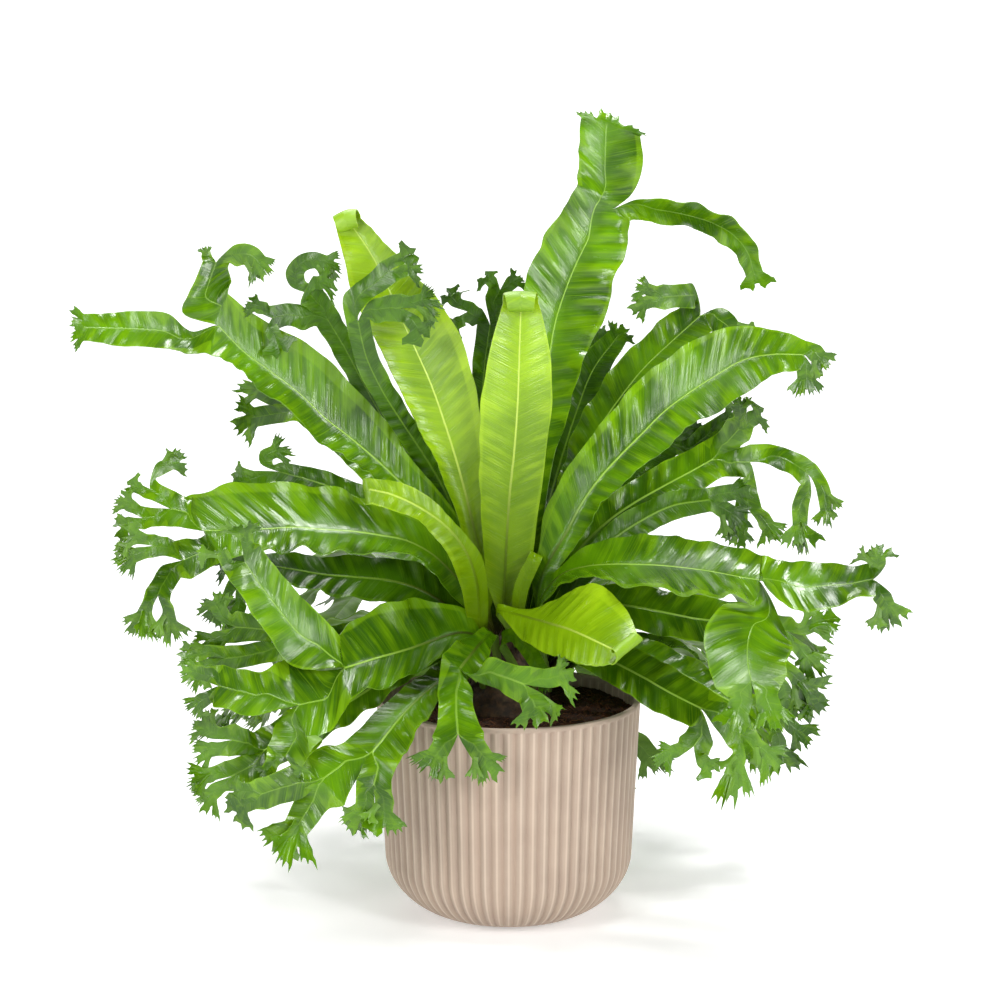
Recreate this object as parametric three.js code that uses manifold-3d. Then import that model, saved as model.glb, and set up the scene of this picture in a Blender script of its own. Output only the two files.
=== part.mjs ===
// Potted fern: a crested bird's-nest type fern in a fluted pot. Millimetres, +Z up, the pot stands on Z = 0 and its axis is the Z axis.
// The front, as seen in the picture, looks along +Y; +X is to the right.
import * as THREE from "three";
import { mergeVertices } from "three/addons/utils/BufferGeometryUtils.js";
import Module from "manifold-3d";

// ---- driving dimensions
const POT_RIM_R = 92; // outside radius of the lip
const POT_H = 152; // height over the floor
const POT_FOOT_R = 86.5; // radius where the wall turns into the rounded foot
const POT_FOOT_Z = 42; // height of that turn
const POT_BASE_R = 40; // radius of the flat underside
const POT_WALL = 4.2; // wall thickness
const POT_FLOOR = 5; // thickness of the floor
const FLUTES = 68; // number of upright flutes
const FLUTE_DEPTH = 1.7; // from ridge to groove
const LIP_H = 4; // plain lip over the flutes
const SOIL_Z = 143; // top of the soil at the wall
const SOIL_RISE = 2; // the soil stands this much higher in the middle
const GAP = 0.3; // between pieces that touch
const BLADE_T = 1.2; // thickness of the leaf solids
const STALK_T = 2.6; // thickness at the foot of a stalk
const CROWN = [
  [0, SOIL_Z + SOIL_RISE + GAP],
  [31.5, SOIL_Z + SOIL_RISE + GAP],
  [31, 147],
  [28, 160],
  [24.5, 172],
  [20, 182],
  [13.5, 190],
  [7, 195],
  [0, 197],
]; // [radius, height] of the rootstock

// ---- fronds
// Each frond is a tree of stretches [rows, left child, right child]. A row is nine numbers: the left margin, the midrib and the right margin, as x, y, z.
// A child grows out of its half of its parent's last row.
const FRONDS = [
  ["frond_top","mature",[[[3.3,17.5,186.8,5.5,16.8,186.8,7.6,16.1,186.7],[5.6,19.8,208.4,8.5,19.4,208.0,11.2,18.4,207.6],[5.0,6.2,277.5,16.1,8.2,277.1,24.4,6.2,277.5],[5.4,16.0,324.3,20.4,19.2,320.6,31.4,16.7,318.7],[6.5,35.0,394.5,28.6,40.2,386.0,50.4,36.4,378.7],[12.1,49.0,441.2,39.3,55.0,429.1,69.0,49.7,416.9],[34.6,60.9,483.2,58.8,65.9,469.8,81.9,58.9,457.7],[48.0,66.0,502.9,73.4,70.0,486.0,85.0,62.0,478.7]],[[[48.0,66.0,502.9,60.7,68.0,494.5,73.4,70.0,486.0],[49.5,70.3,514.2,66.8,73.3,504.8,80.7,71.8,497.3],[49.5,75.2,537.5,68.2,78.2,531.2,94.7,75.4,522.6],[51.7,77.0,548.9,68.9,80.0,543.9,92.1,78.0,537.2]],[[[51.7,77.0,548.9,68.9,80.0,543.9,92.1,78.0,537.2],[56.6,80.9,553.7,70.7,81.2,549.6,84.9,81.6,545.5],[63.2,81.4,553.3,71.3,81.6,551.0,79.4,81.8,548.6]]]],[[[73.4,70.0,486.0,79.2,66.0,482.4,85.0,62.0,478.7],[92.2,59.7,492.1,92.8,63.4,487.0,93.5,68.8,479.6],[159.4,40.3,476.8,155.3,46.7,470.6,151.2,53.2,464.4],[175.0,39.1,445.2,170.5,42.0,443.4,166.0,44.9,441.7]],[[[175.0,39.1,445.2,170.5,42.0,443.4,166.0,44.9,441.7],[173.5,40.5,438.0,172.1,41.3,437.4,170.8,42.2,436.9]]]]]],
  ["frond_centre_young","young",[[[-3.1,8.8,194.9,-0.8,9.0,195.0,1.5,9.2,195.0],[-8.1,-0.6,213.3,-3.2,0.4,213.1,1.7,-0.6,213.3],[-15.1,-3.9,234.5,-2.6,-1.1,233.4,11.8,-3.9,233.3],[-19.9,-12.3,344.9,5.2,-7.3,343.7,27.8,-12.3,344.0],[-14.8,-12.9,387.5,7.1,-8.6,386.9,28.8,-12.9,387.4],[-3.9,-8.0,428.2,8.4,-6.0,428.4,19.9,-8.0,428.9]]]],
  ["frond_left_young","young",[[[-12.3,4.5,191.9,-11.2,6.5,192.0,-10.1,8.5,192.0],[-26.2,1.1,220.2,-18.6,3.1,219.8,-11.0,2.1,220.0],[-28.2,0.3,246.2,-18.7,3.6,246.4,-11.8,0.6,247.6],[-32.7,-0.2,271.7,-24.4,4.1,272.2,-12.7,-0.6,274.9],[-62.3,1.4,342.4,-44.9,6.2,346.8,-19.7,0.2,355.0],[-84.2,5.5,387.7,-63.9,9.7,394.5,-33.4,3.7,406.0],[-106.3,8.9,431.3,-83.9,12.1,439.5,-64.9,6.9,447.1],[-118.0,16.0,478.6,-109.2,18.0,481.3,-100.8,15.0,484.1]]]],
  ["fiddlehead","young",[[[10.6,-0.5,194.0,10.0,-2.7,194.0,9.4,-4.9,193.9],[3.5,-8.0,215.5,7.3,-8.4,216.0,10.8,-10.1,216.1],[4.1,-11.5,234.3,9.0,-11.5,232.7,13.9,-11.5,231.2],[12.5,-13.0,252.5,16.8,-13.0,250.3,21.1,-13.0,248.2]]]],
  ["frond_left_long","mature",[[[-19.4,0.4,184.8,-19.1,2.7,184.8,-18.8,5.0,184.7],[-22.2,2.0,201.5,-22.0,4.6,201.1,-21.3,7.2,200.6],[-23.3,6.8,238.3,-20.5,11.3,237.6,-16.3,14.7,237.4],[-26.7,9.8,246.4,-25.6,12.8,251.6,-24.0,15.8,259.5],[-113.4,2.1,321.3,-108.3,13.5,331.8,-96.4,19.5,357.0],[-148.9,-2.5,352.1,-143.9,9.5,364.2,-131.8,15.5,392.7],[-183.2,-9.2,382.7,-180.5,1.8,393.4,-173.3,6.7,417.7],[-202.7,-12.8,393.5,-197.6,-2.8,412.0,-191.2,1.2,433.6]],[[[-202.7,-12.8,393.5,-200.1,-7.8,402.8,-197.6,-2.8,412.0],[-219.3,-15.5,396.9,-218.2,-7.6,402.2,-217.0,-5.9,406.3],[-235.8,-19.3,399.6,-233.5,-13.1,409.5,-230.9,-9.6,419.7],[-284.7,-35.2,406.9,-285.0,-32.0,414.1,-285.3,-28.8,421.3]],[[[-284.7,-35.2,406.9,-285.0,-32.0,414.1,-285.3,-28.8,421.3],[-290.6,-36.2,409.0,-290.8,-34.0,414.0,-291.0,-31.8,419.1],[-292.2,-35.8,410.9,-292.3,-34.5,413.8,-292.4,-33.2,416.7]]]],[[[-197.6,-2.8,412.0,-194.4,-0.8,422.8,-191.2,1.2,433.6],[-207.3,-4.4,418.8,-200.7,-0.8,426.3,-190.8,0.8,437.4],[-222.2,-4.2,421.1,-206.7,1.7,431.3,-190.8,3.6,441.9],[-206.8,6.3,454.9,-199.8,9.0,454.2,-192.6,10.3,453.7]],[[[-206.8,6.3,454.9,-203.3,7.7,454.6,-199.8,9.0,454.2],[-208.7,10.0,460.8,-206.6,10.0,461.3,-204.4,10.0,461.9]],[[[-208.7,10.0,460.8,-206.6,10.0,461.3,-204.4,10.0,461.9],[-207.8,10.0,463.2,-207.2,10.0,463.3,-206.5,10.0,463.5]]]],[[[-199.8,9.0,454.2,-196.2,9.7,454.0,-192.6,10.3,453.7],[-178.3,6.4,464.3,-179.2,8.0,460.0,-180.6,10.2,453.9],[-167.4,4.3,458.3,-170.9,6.0,454.8,-174.3,7.7,451.4]],[[[-167.4,4.3,458.3,-170.9,6.0,454.8,-174.3,7.7,451.4],[-165.0,4.2,450.1,-166.4,4.8,448.7,-167.8,5.5,447.3]]]]]]],
  ["frond_left_forked_dark","dark",[[[-18.1,14.2,178.5,-16.5,15.9,178.5,-14.9,17.6,178.5],[-35.1,26.3,227.6,-29.8,27.6,228.8,-24.5,27.1,230.6],[-54.5,45.6,258.0,-46.6,47.6,262.0,-38.7,49.5,265.9],[-66.7,52.3,278.0,-58.3,56.0,282.0,-50.0,59.7,286.0],[-89.1,56.7,320.6,-80.6,62.0,324.5,-72.0,67.3,328.5],[-100.1,49.3,342.9,-92.2,54.6,346.7,-84.2,59.9,350.6],[-131.9,16.7,409.5,-124.4,20.0,413.7,-116.8,23.3,417.9]],[[[-131.9,16.7,409.5,-128.1,18.4,411.6,-124.4,20.0,413.7],[-140.9,13.8,408.9,-139.5,15.1,415.6,-138.6,15.9,420.3],[-150.7,9.0,412.0,-150.7,10.1,418.4,-150.7,11.3,424.8],[-160.5,4.7,410.2,-161.8,5.9,416.5,-163.1,7.1,422.9]],[[[-160.5,4.7,410.2,-161.1,5.3,413.4,-161.8,5.9,416.5],[-156.1,2.9,404.9,-159.1,2.9,403.1,-162.1,2.9,401.2]],[[[-156.1,2.9,404.9,-159.1,2.9,403.1,-162.1,2.9,401.2],[-155.4,2.2,398.1,-156.3,2.2,397.5,-157.2,2.2,397.0]]]],[[[-161.8,5.9,416.5,-162.5,6.5,419.7,-163.1,7.1,422.9],[-172.9,2.5,422.1,-171.7,2.5,424.9,-170.4,2.5,427.8]],[[[-172.9,2.5,422.1,-171.7,2.5,424.9,-170.4,2.5,427.8],[-176.5,1.6,425.3,-176.1,1.6,426.2,-175.7,1.6,427.0]]]]],[[[-124.4,20.0,413.7,-120.6,21.6,415.8,-116.8,23.3,417.9],[-141.1,10.6,426.8,-135.4,12.0,431.7,-129.6,13.4,436.7]],[[[-141.1,10.6,426.8,-138.3,11.3,429.2,-135.4,12.0,431.7],[-134.0,10.0,443.3,-133.1,10.0,439.5,-132.5,10.0,436.8],[-128.1,4.0,444.8,-127.2,4.0,441.4,-126.4,4.0,438.0]],[[[-128.1,4.0,444.8,-127.2,4.0,441.4,-126.4,4.0,438.0],[-121.3,-1.4,443.0,-121.0,-1.4,441.6,-120.7,-1.4,440.3]]]],[[[-135.4,12.0,431.7,-132.5,12.7,434.2,-129.6,13.4,436.7],[-149.5,11.0,448.1,-146.0,11.0,447.4,-141.1,11.0,446.4],[-124.1,8.0,458.1,-124.6,8.0,454.7,-125.2,8.0,451.2]],[[[-124.1,8.0,458.1,-124.6,8.0,454.7,-125.2,8.0,451.2],[-118.0,7.7,453.7,-118.2,7.7,452.6,-118.3,7.7,451.6]]]]]]],
  ["frond_over_young","dark",[[[-19.5,5.4,183.8,-18.7,7.5,183.8,-17.8,9.7,183.8],[-34.2,13.6,237.6,-30.1,15.0,237.9,-25.8,14.8,238.5],[-45.6,28.8,276.4,-38.9,29.6,278.5,-32.1,30.3,280.6],[-56.2,30.7,297.7,-49.2,32.1,301.2,-42.1,33.4,304.8],[-69.1,21.9,319.8,-62.1,23.4,324.2,-55.1,24.8,328.5],[-94.3,-4.9,365.4,-87.2,-3.4,369.2,-80.0,-1.9,373.0],[-109.5,-21.5,414.8,-101.7,-20.0,416.6,-93.9,-18.5,418.4]],[[[-109.5,-21.5,414.8,-105.6,-20.7,415.7,-101.7,-20.0,416.6],[-110.6,-17.7,431.8,-105.7,-20.0,428.1,-102.3,-21.6,425.5],[-85.3,-23.6,455.6,-81.0,-26.0,450.9,-76.8,-28.4,446.2]],[[[-85.3,-23.6,455.6,-83.2,-24.8,453.2,-81.0,-26.0,450.9],[-72.9,-27.0,463.0,-71.6,-27.0,460.3,-70.2,-27.0,457.6]],[[[-72.9,-27.0,463.0,-71.6,-27.0,460.3,-70.2,-27.0,457.6],[-66.0,-26.5,463.1,-65.6,-26.5,462.3,-65.2,-26.5,461.5]]]],[[[-81.0,-26.0,450.9,-78.9,-27.2,448.5,-76.8,-28.4,446.2],[-69.1,-27.0,455.2,-68.3,-27.0,452.3,-67.4,-27.0,449.4]],[[[-69.1,-27.0,455.2,-68.3,-27.0,452.3,-67.4,-27.0,449.4],[-62.3,-27.0,453.9,-62.1,-27.0,453.1,-61.8,-27.0,452.2]]]]],[[[-101.7,-20.0,416.6,-97.8,-19.3,417.5,-93.9,-18.5,418.4],[-93.4,-21.8,428.0,-92.2,-20.0,423.3,-90.6,-17.5,416.6],[-73.0,-28.9,434.6,-73.1,-26.0,426.6,-73.2,-23.1,418.6]],[[[-73.0,-28.9,434.6,-73.1,-27.4,430.6,-73.1,-26.0,426.6],[-59.2,-28.0,435.5,-58.3,-28.0,432.2,-57.3,-28.0,428.9]],[[[-59.2,-28.0,435.5,-58.3,-28.0,432.2,-57.3,-28.0,428.9],[-50.5,-28.0,434.7,-50.1,-28.0,433.4,-49.7,-28.0,432.0]]]],[[[-73.1,-26.0,426.6,-73.2,-24.6,422.6,-73.2,-23.1,418.6],[-64.0,-28.0,421.9,-66.4,-28.0,420.1,-69.8,-28.0,417.6],[-59.3,-28.0,417.0,-62.4,-28.0,414.7,-65.5,-28.0,412.4]],[[[-59.3,-28.0,417.0,-62.4,-28.0,414.7,-65.5,-28.0,412.4],[-58.1,-28.0,410.1,-59.0,-28.0,409.4,-60.0,-28.0,408.7]]]]]]],
  ["frond_left_inner_crest","mature",[[[-26.8,2.4,168.3,-26.4,4.7,168.3,-26.0,6.9,168.3],[-31.4,3.2,183.8,-30.8,5.9,183.7,-29.8,8.3,183.7],[-36.7,6.2,221.3,-32.1,8.6,221.6,-27.0,9.2,222.2],[-42.8,10.6,232.3,-37.2,11.9,236.3,-31.6,13.1,240.3],[-103.0,36.4,299.5,-95.4,42.4,305.7,-87.8,48.4,312.0],[-123.9,40.6,320.8,-117.6,46.4,327.7,-111.3,52.1,334.6],[-147.5,43.2,339.7,-142.8,48.0,345.9,-138.2,52.8,352.1]],[[[-147.5,43.2,339.7,-145.2,45.6,342.8,-142.8,48.0,345.9],[-158.3,48.0,339.7,-159.0,48.0,345.2,-159.5,48.0,349.0],[-176.1,44.0,337.4,-177.0,44.0,342.9,-177.8,44.0,348.4]],[[[-176.1,44.0,337.4,-177.0,44.0,342.9,-177.8,44.0,348.4],[-185.3,42.0,336.6,-185.9,42.0,340.5,-186.5,42.0,344.3],[-187.7,41.5,337.3,-188.0,41.5,339.5,-188.3,41.5,341.7]]]],[[[-142.8,48.0,345.9,-140.5,50.4,349.0,-138.2,52.8,352.1],[-158.8,48.0,351.0,-157.5,48.0,354.4,-155.7,48.0,359.3],[-176.0,42.0,357.6,-173.7,42.0,362.2,-171.4,42.0,366.9]],[[[-176.0,42.0,357.6,-173.7,42.0,362.2,-171.4,42.0,366.9],[-182.9,39.2,361.6,-181.3,39.2,364.9,-179.7,39.2,368.2],[-184.2,38.5,363.4,-183.3,38.5,365.2,-182.4,38.5,367.1]]]]]],
  ["frond_right_long","mature",[[[17.0,0.8,187.8,16.8,-1.5,187.8,16.6,-3.8,187.7],[16.5,-1.1,238.1,22.8,-3.3,236.8,28.0,-7.7,235.7],[35.0,5.3,303.9,49.7,-1.2,287.7,57.2,-9.9,280.1],[95.7,9.8,378.1,106.5,-2.1,353.1,113.8,-14.9,336.0],[114.0,6.4,393.5,123.1,-4.9,366.4,128.8,-16.7,349.0],[157.0,-4.1,412.0,159.4,-13.0,390.0,161.7,-21.7,369.6],[179.8,-11.4,411.0,178.7,-18.1,394.4,177.7,-24.7,380.4],[200.9,-20.0,403.7,198.7,-24.0,394.8,196.3,-28.0,384.9]],[[[200.9,-20.0,403.7,199.8,-22.0,399.2,198.7,-24.0,394.8],[209.2,-26.0,400.5,205.7,-26.0,396.9,203.3,-26.0,394.4],[212.8,-26.0,395.9,209.9,-26.0,392.8,206.9,-26.0,389.8]],[[[212.8,-26.0,395.9,209.9,-26.0,392.8,206.9,-26.0,389.8],[214.0,-24.7,389.9,213.1,-24.7,389.0,212.2,-24.7,388.1]]]],[[[198.7,-24.0,394.8,197.5,-26.0,389.8,196.3,-28.0,384.9],[204.0,-27.0,384.8,200.5,-27.0,384.8,195.5,-27.0,384.8],[205.2,-27.0,379.4,200.6,-27.0,379.4,195.9,-27.0,379.4]],[[[205.2,-27.0,379.4,200.6,-27.0,379.4,195.9,-27.0,379.4],[202.4,-25.8,371.8,200.6,-25.8,371.8,198.7,-25.8,371.8]]]]]],
  ["frond_right_back","mature",[[[16.3,12.1,183.8,17.4,10.1,183.8,18.6,8.1,183.7],[19.9,12.2,196.9,21.6,10.3,196.5,23.0,8.2,196.2],[19.2,7.2,226.5,23.5,7.4,226.0,27.6,6.1,225.7],[25.5,26.6,263.7,33.2,25.0,261.5,40.9,23.3,259.3],[50.4,60.7,339.3,63.3,52.0,332.7,76.1,43.4,326.3],[84.2,73.2,385.1,95.7,62.0,375.4,107.1,50.8,365.7],[126.1,67.6,421.5,134.6,60.0,412.3,143.0,52.4,403.1]],[[[126.1,67.6,421.5,130.4,63.8,416.9,134.6,60.0,412.3],[130.0,56.0,419.7,130.0,56.0,426.8,129.9,56.0,431.7],[109.1,50.0,419.5,108.6,50.0,426.6,108.1,50.0,433.8]],[[[109.1,50.0,419.5,108.9,50.0,423.1,108.6,50.0,426.6],[96.3,48.0,419.2,95.3,48.0,422.6,94.3,48.0,426.1]],[[[96.3,48.0,419.2,95.3,48.0,422.6,94.3,48.0,426.1],[89.2,48.0,418.4,88.8,48.0,419.7,88.4,48.0,421.1]]]],[[[108.6,50.0,426.6,108.4,50.0,430.2,108.1,50.0,433.8],[95.4,48.0,429.5,96.6,48.0,432.4,97.8,48.0,435.3]],[[[95.4,48.0,429.5,96.6,48.0,432.4,97.8,48.0,435.3],[91.2,48.0,432.9,91.6,48.0,433.7,91.9,48.0,434.6]]]]],[[[134.6,60.0,412.3,138.8,56.2,407.7,143.0,52.4,403.1],[157.0,64.9,409.5,153.4,62.0,406.0,148.3,57.9,401.1],[164.3,65.6,401.1,158.9,62.0,398.0,153.4,58.4,394.9]],[[[164.3,65.6,401.1,158.9,62.0,398.0,153.4,58.4,394.9],[162.6,62.9,394.7,161.0,61.9,393.8,159.3,60.8,392.8]]]]]],
  ["frond_behind_top","dark",[[[4.6,21.6,180.5,6.8,20.9,180.5,9.0,20.2,180.5],[7.6,25.3,199.4,10.1,24.8,198.9,12.5,23.9,198.5],[14.1,22.6,242.7,18.3,23.2,241.7,22.4,22.2,240.9],[16.7,30.0,259.1,22.1,30.0,257.8,27.6,30.0,256.5],[21.3,57.1,286.1,29.8,56.5,283.9,38.2,55.9,281.7],[29.3,76.9,314.7,38.9,75.5,311.9,48.6,74.1,309.1],[51.2,100.2,375.0,61.0,97.1,369.9,70.8,94.0,364.9],[73.1,104.5,397.5,78.8,102.0,393.5,84.5,99.5,389.5]],[[[73.1,104.5,397.5,78.8,102.0,393.5,84.5,99.5,389.5],[78.7,104.7,400.4,82.6,103.0,397.6,86.6,101.2,394.8],[81.4,104.2,400.1,83.7,103.2,398.5,86.0,102.2,396.9]]]]],
  ["frond_back_crest","dark",[[[-9.4,17.0,184.8,-7.2,17.9,184.8,-5.1,18.8,184.8],[-14.7,22.0,230.7,-10.5,22.9,230.8,-6.2,22.4,231.1],[-22.6,48.4,272.9,-14.8,48.4,273.6,-7.0,48.4,274.3],[-27.7,79.3,336.5,-18.7,79.3,336.5,-9.7,79.3,336.5],[-22.2,88.0,404.2,-13.0,88.0,402.9,-3.8,88.0,401.7]],[[[-22.2,88.0,404.2,-17.6,88.0,403.5,-13.0,88.0,402.9],[-24.6,86.0,403.0,-21.6,86.0,408.2,-19.4,86.0,411.7],[-31.7,80.0,407.9,-28.6,80.0,413.1,-25.5,80.0,418.2]],[[[-31.7,80.0,407.9,-30.1,80.0,410.5,-28.6,80.0,413.1],[-30.8,78.0,404.5,-32.8,78.0,407.6,-34.2,78.0,409.7],[-35.3,78.0,402.1,-37.1,78.0,404.7,-38.9,78.0,407.4]],[[[-35.3,78.0,402.1,-37.1,78.0,404.7,-38.9,78.0,407.4],[-41.0,78.0,400.2,-41.5,78.0,401.0,-42.0,78.0,401.8]]]],[[[-28.6,80.0,413.1,-27.1,80.0,415.6,-25.5,80.0,418.2],[-42.1,78.0,420.9,-39.9,78.0,423.2,-37.6,78.0,425.5]],[[[-42.1,78.0,420.9,-39.9,78.0,423.2,-37.6,78.0,425.5],[-44.7,78.0,425.8,-44.0,78.0,426.4,-43.3,78.0,427.1]]]]],[[[-13.0,88.0,402.9,-8.4,88.0,402.3,-3.8,88.0,401.7],[-14.3,86.0,421.6,-10.2,86.0,419.6,-4.3,86.0,416.6],[-12.0,82.0,431.5,-5.9,82.0,428.5,0.2,82.0,425.4]],[[[-12.0,82.0,431.5,-8.9,82.0,430.0,-5.9,82.0,428.5],[-15.2,80.0,433.5,-13.0,80.0,435.8,-10.7,80.0,438.0]],[[[-15.2,80.0,433.5,-13.0,80.0,435.8,-10.7,80.0,438.0],[-17.3,80.0,438.0,-16.7,80.0,438.7,-16.0,80.0,439.4]]]],[[[-5.9,82.0,428.5,-2.9,82.0,427.0,0.2,82.0,425.4],[2.0,80.0,438.1,4.0,80.0,435.1,6.0,80.0,432.1]],[[[2.0,80.0,438.1,4.0,80.0,435.1,6.0,80.0,432.1],[8.1,80.0,438.3,8.7,80.0,437.4,9.3,80.0,436.4]]]]]]],
  ["frond_back_strap","dark",[[[-7.4,20.3,181.5,-5.2,20.9,181.5,-3.0,21.5,181.5],[-11.4,31.4,229.8,-7.6,32.3,229.5,-3.7,31.8,229.7],[-12.3,40.1,241.8,-7.4,40.1,241.6,-2.4,40.1,241.4],[-13.6,77.7,272.6,-6.1,77.7,271.9,1.3,77.7,271.1],[-8.5,103.2,307.1,0.2,103.2,304.8,8.8,103.2,302.5],[4.9,119.9,342.6,13.0,119.9,337.8,21.2,119.9,332.9],[31.1,131.0,370.7,37.3,131.0,364.0,43.5,131.0,357.4],[62.2,138.0,392.9,67.2,138.0,386.6,72.2,138.0,380.2]],[[[62.2,138.0,392.9,67.2,138.0,386.6,72.2,138.0,380.2],[69.2,139.3,394.5,72.7,139.3,390.0,76.2,139.3,385.6],[72.2,139.7,393.2,74.1,139.7,390.7,76.1,139.7,388.1]]]]],
  ["frond_right_middle","mature",[[[23.4,4.8,176.5,23.7,2.5,176.5,23.9,0.2,176.5],[25.8,4.0,190.4,26.7,1.6,190.2,27.1,-1.0,190.0],[22.8,1.1,222.5,27.4,0.6,221.8,31.7,-1.4,221.3],[27.2,4.5,237.8,32.2,3.9,234.1,37.2,3.4,230.4],[50.1,18.1,269.8,57.4,15.4,262.8,64.7,12.7,255.9],[81.6,30.3,297.0,88.9,24.8,285.8,96.1,19.3,274.7],[135.6,35.4,326.2,141.9,28.0,314.9,148.2,20.6,303.7]],[[[135.6,35.4,326.2,138.8,31.7,320.5,141.9,28.0,314.9],[145.6,29.4,332.2,151.5,28.0,326.9,155.6,27.0,323.1],[153.2,27.5,342.1,159.6,26.0,336.3,166.0,24.5,330.5]],[[[153.2,27.5,342.1,156.4,26.8,339.2,159.6,26.0,336.3],[157.6,25.0,346.0,161.4,25.0,347.0,164.1,25.0,347.6],[156.5,25.0,351.7,160.0,25.0,352.6,163.4,25.0,353.4]],[[[156.5,25.0,351.7,160.0,25.0,352.6,163.4,25.0,353.4],[157.3,25.0,357.8,158.3,25.0,358.1,159.4,25.0,358.3]]]],[[[159.6,26.0,336.3,162.8,25.2,333.4,166.0,24.5,330.5],[170.1,25.0,349.1,171.9,25.0,345.6,173.7,25.0,342.0]],[[[170.1,25.0,349.1,171.9,25.0,345.6,173.7,25.0,342.0],[176.3,25.0,348.3,176.8,25.0,347.2,177.4,25.0,346.2]]]]],[[[141.9,28.0,314.9,145.0,24.3,309.3,148.2,20.6,303.7],[157.8,27.1,320.0,157.8,26.0,313.8,157.8,24.4,304.9],[167.9,23.8,324.7,167.9,22.0,314.4,167.9,20.2,304.1]],[[[167.9,23.8,324.7,167.9,22.9,319.5,167.9,22.0,314.4],[191.0,16.3,324.0,188.8,14.1,318.6,187.3,12.6,314.8],[211.2,10.6,313.5,206.9,8.0,308.2,202.5,5.4,302.9]],[[[211.2,10.6,313.5,209.0,9.3,310.8,206.9,8.0,308.2],[218.7,6.0,302.9,215.1,6.0,301.5,212.5,6.0,300.5],[222.2,2.0,284.3,219.1,2.0,284.0,216.0,2.0,283.7]],[[[222.2,2.0,284.3,219.1,2.0,284.0,216.0,2.0,283.7],[220.4,1.1,279.5,219.5,1.1,279.4,218.5,1.1,279.3]]]],[[[206.9,8.0,308.2,204.7,6.7,305.6,202.5,5.4,302.9],[208.4,6.0,296.3,205.5,6.0,297.3,201.3,6.0,298.7],[205.5,4.0,273.1,201.5,4.0,273.1,197.6,4.0,273.2]],[[[205.5,4.0,273.1,201.5,4.0,273.1,197.6,4.0,273.2],[203.0,3.3,262.5,201.4,3.3,262.5,199.8,3.3,262.6]]]]],[[[167.9,22.0,314.4,167.9,21.1,309.3,167.9,20.2,304.1],[169.2,20.0,302.3,165.1,20.0,302.0,159.3,20.0,301.7],[173.7,14.0,283.9,166.3,14.0,283.3,158.9,14.0,282.7]],[[[173.7,14.0,283.9,170.0,14.0,283.6,166.3,14.0,283.3],[183.3,12.0,273.4,180.2,12.0,271.0,177.0,12.0,268.6]],[[[183.3,12.0,273.4,180.2,12.0,271.0,177.0,12.0,268.6],[185.3,12.0,266.0,184.0,12.0,265.0,182.8,12.0,264.1]]]],[[[166.3,14.0,283.3,162.6,14.0,283.0,158.9,14.0,282.7],[164.7,12.0,267.4,160.8,12.0,268.2,156.9,12.0,269.0]],[[[164.7,12.0,267.4,160.8,12.0,268.2,156.9,12.0,269.0],[161.1,12.0,260.9,159.6,12.0,261.2,158.0,12.0,261.5]]]]]]]],
  ["frond_right_middle_low","dark",[[[27.5,0.4,166.3,27.3,-1.9,166.3,27.2,-4.2,166.3],[33.9,1.0,178.6,34.4,-1.6,178.6,34.4,-4.2,178.7],[30.7,1.6,209.3,34.9,1.1,208.8,38.8,-0.8,208.4],[34.0,1.2,224.5,38.5,0.7,221.3,42.9,0.2,218.0],[63.1,2.9,268.5,69.5,-1.6,261.7,75.8,-6.0,254.9],[109.9,1.6,296.6,112.7,-2.8,287.8,115.5,-7.2,279.1],[135.9,-1.0,299.8,137.1,-4.0,292.0,138.3,-7.0,284.3]],[[[135.9,-1.0,299.8,136.5,-2.5,295.9,137.1,-4.0,292.0],[154.1,-5.0,302.1,154.8,-5.0,297.7,155.6,-5.0,293.4]],[[[154.1,-5.0,302.1,154.8,-5.0,297.7,155.6,-5.0,293.4],[162.8,-5.0,299.7,163.1,-5.0,298.0,163.4,-5.0,296.2]]]],[[[137.1,-4.0,292.0,137.7,-5.5,288.1,138.3,-7.0,284.3],[155.9,-5.0,286.2,153.7,-5.0,282.4,151.5,-5.0,278.6]],[[[155.9,-5.0,286.2,153.7,-5.0,282.4,151.5,-5.0,278.6],[161.1,-4.5,279.0,160.3,-4.5,277.5,159.4,-4.5,275.9]]]]]],
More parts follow.
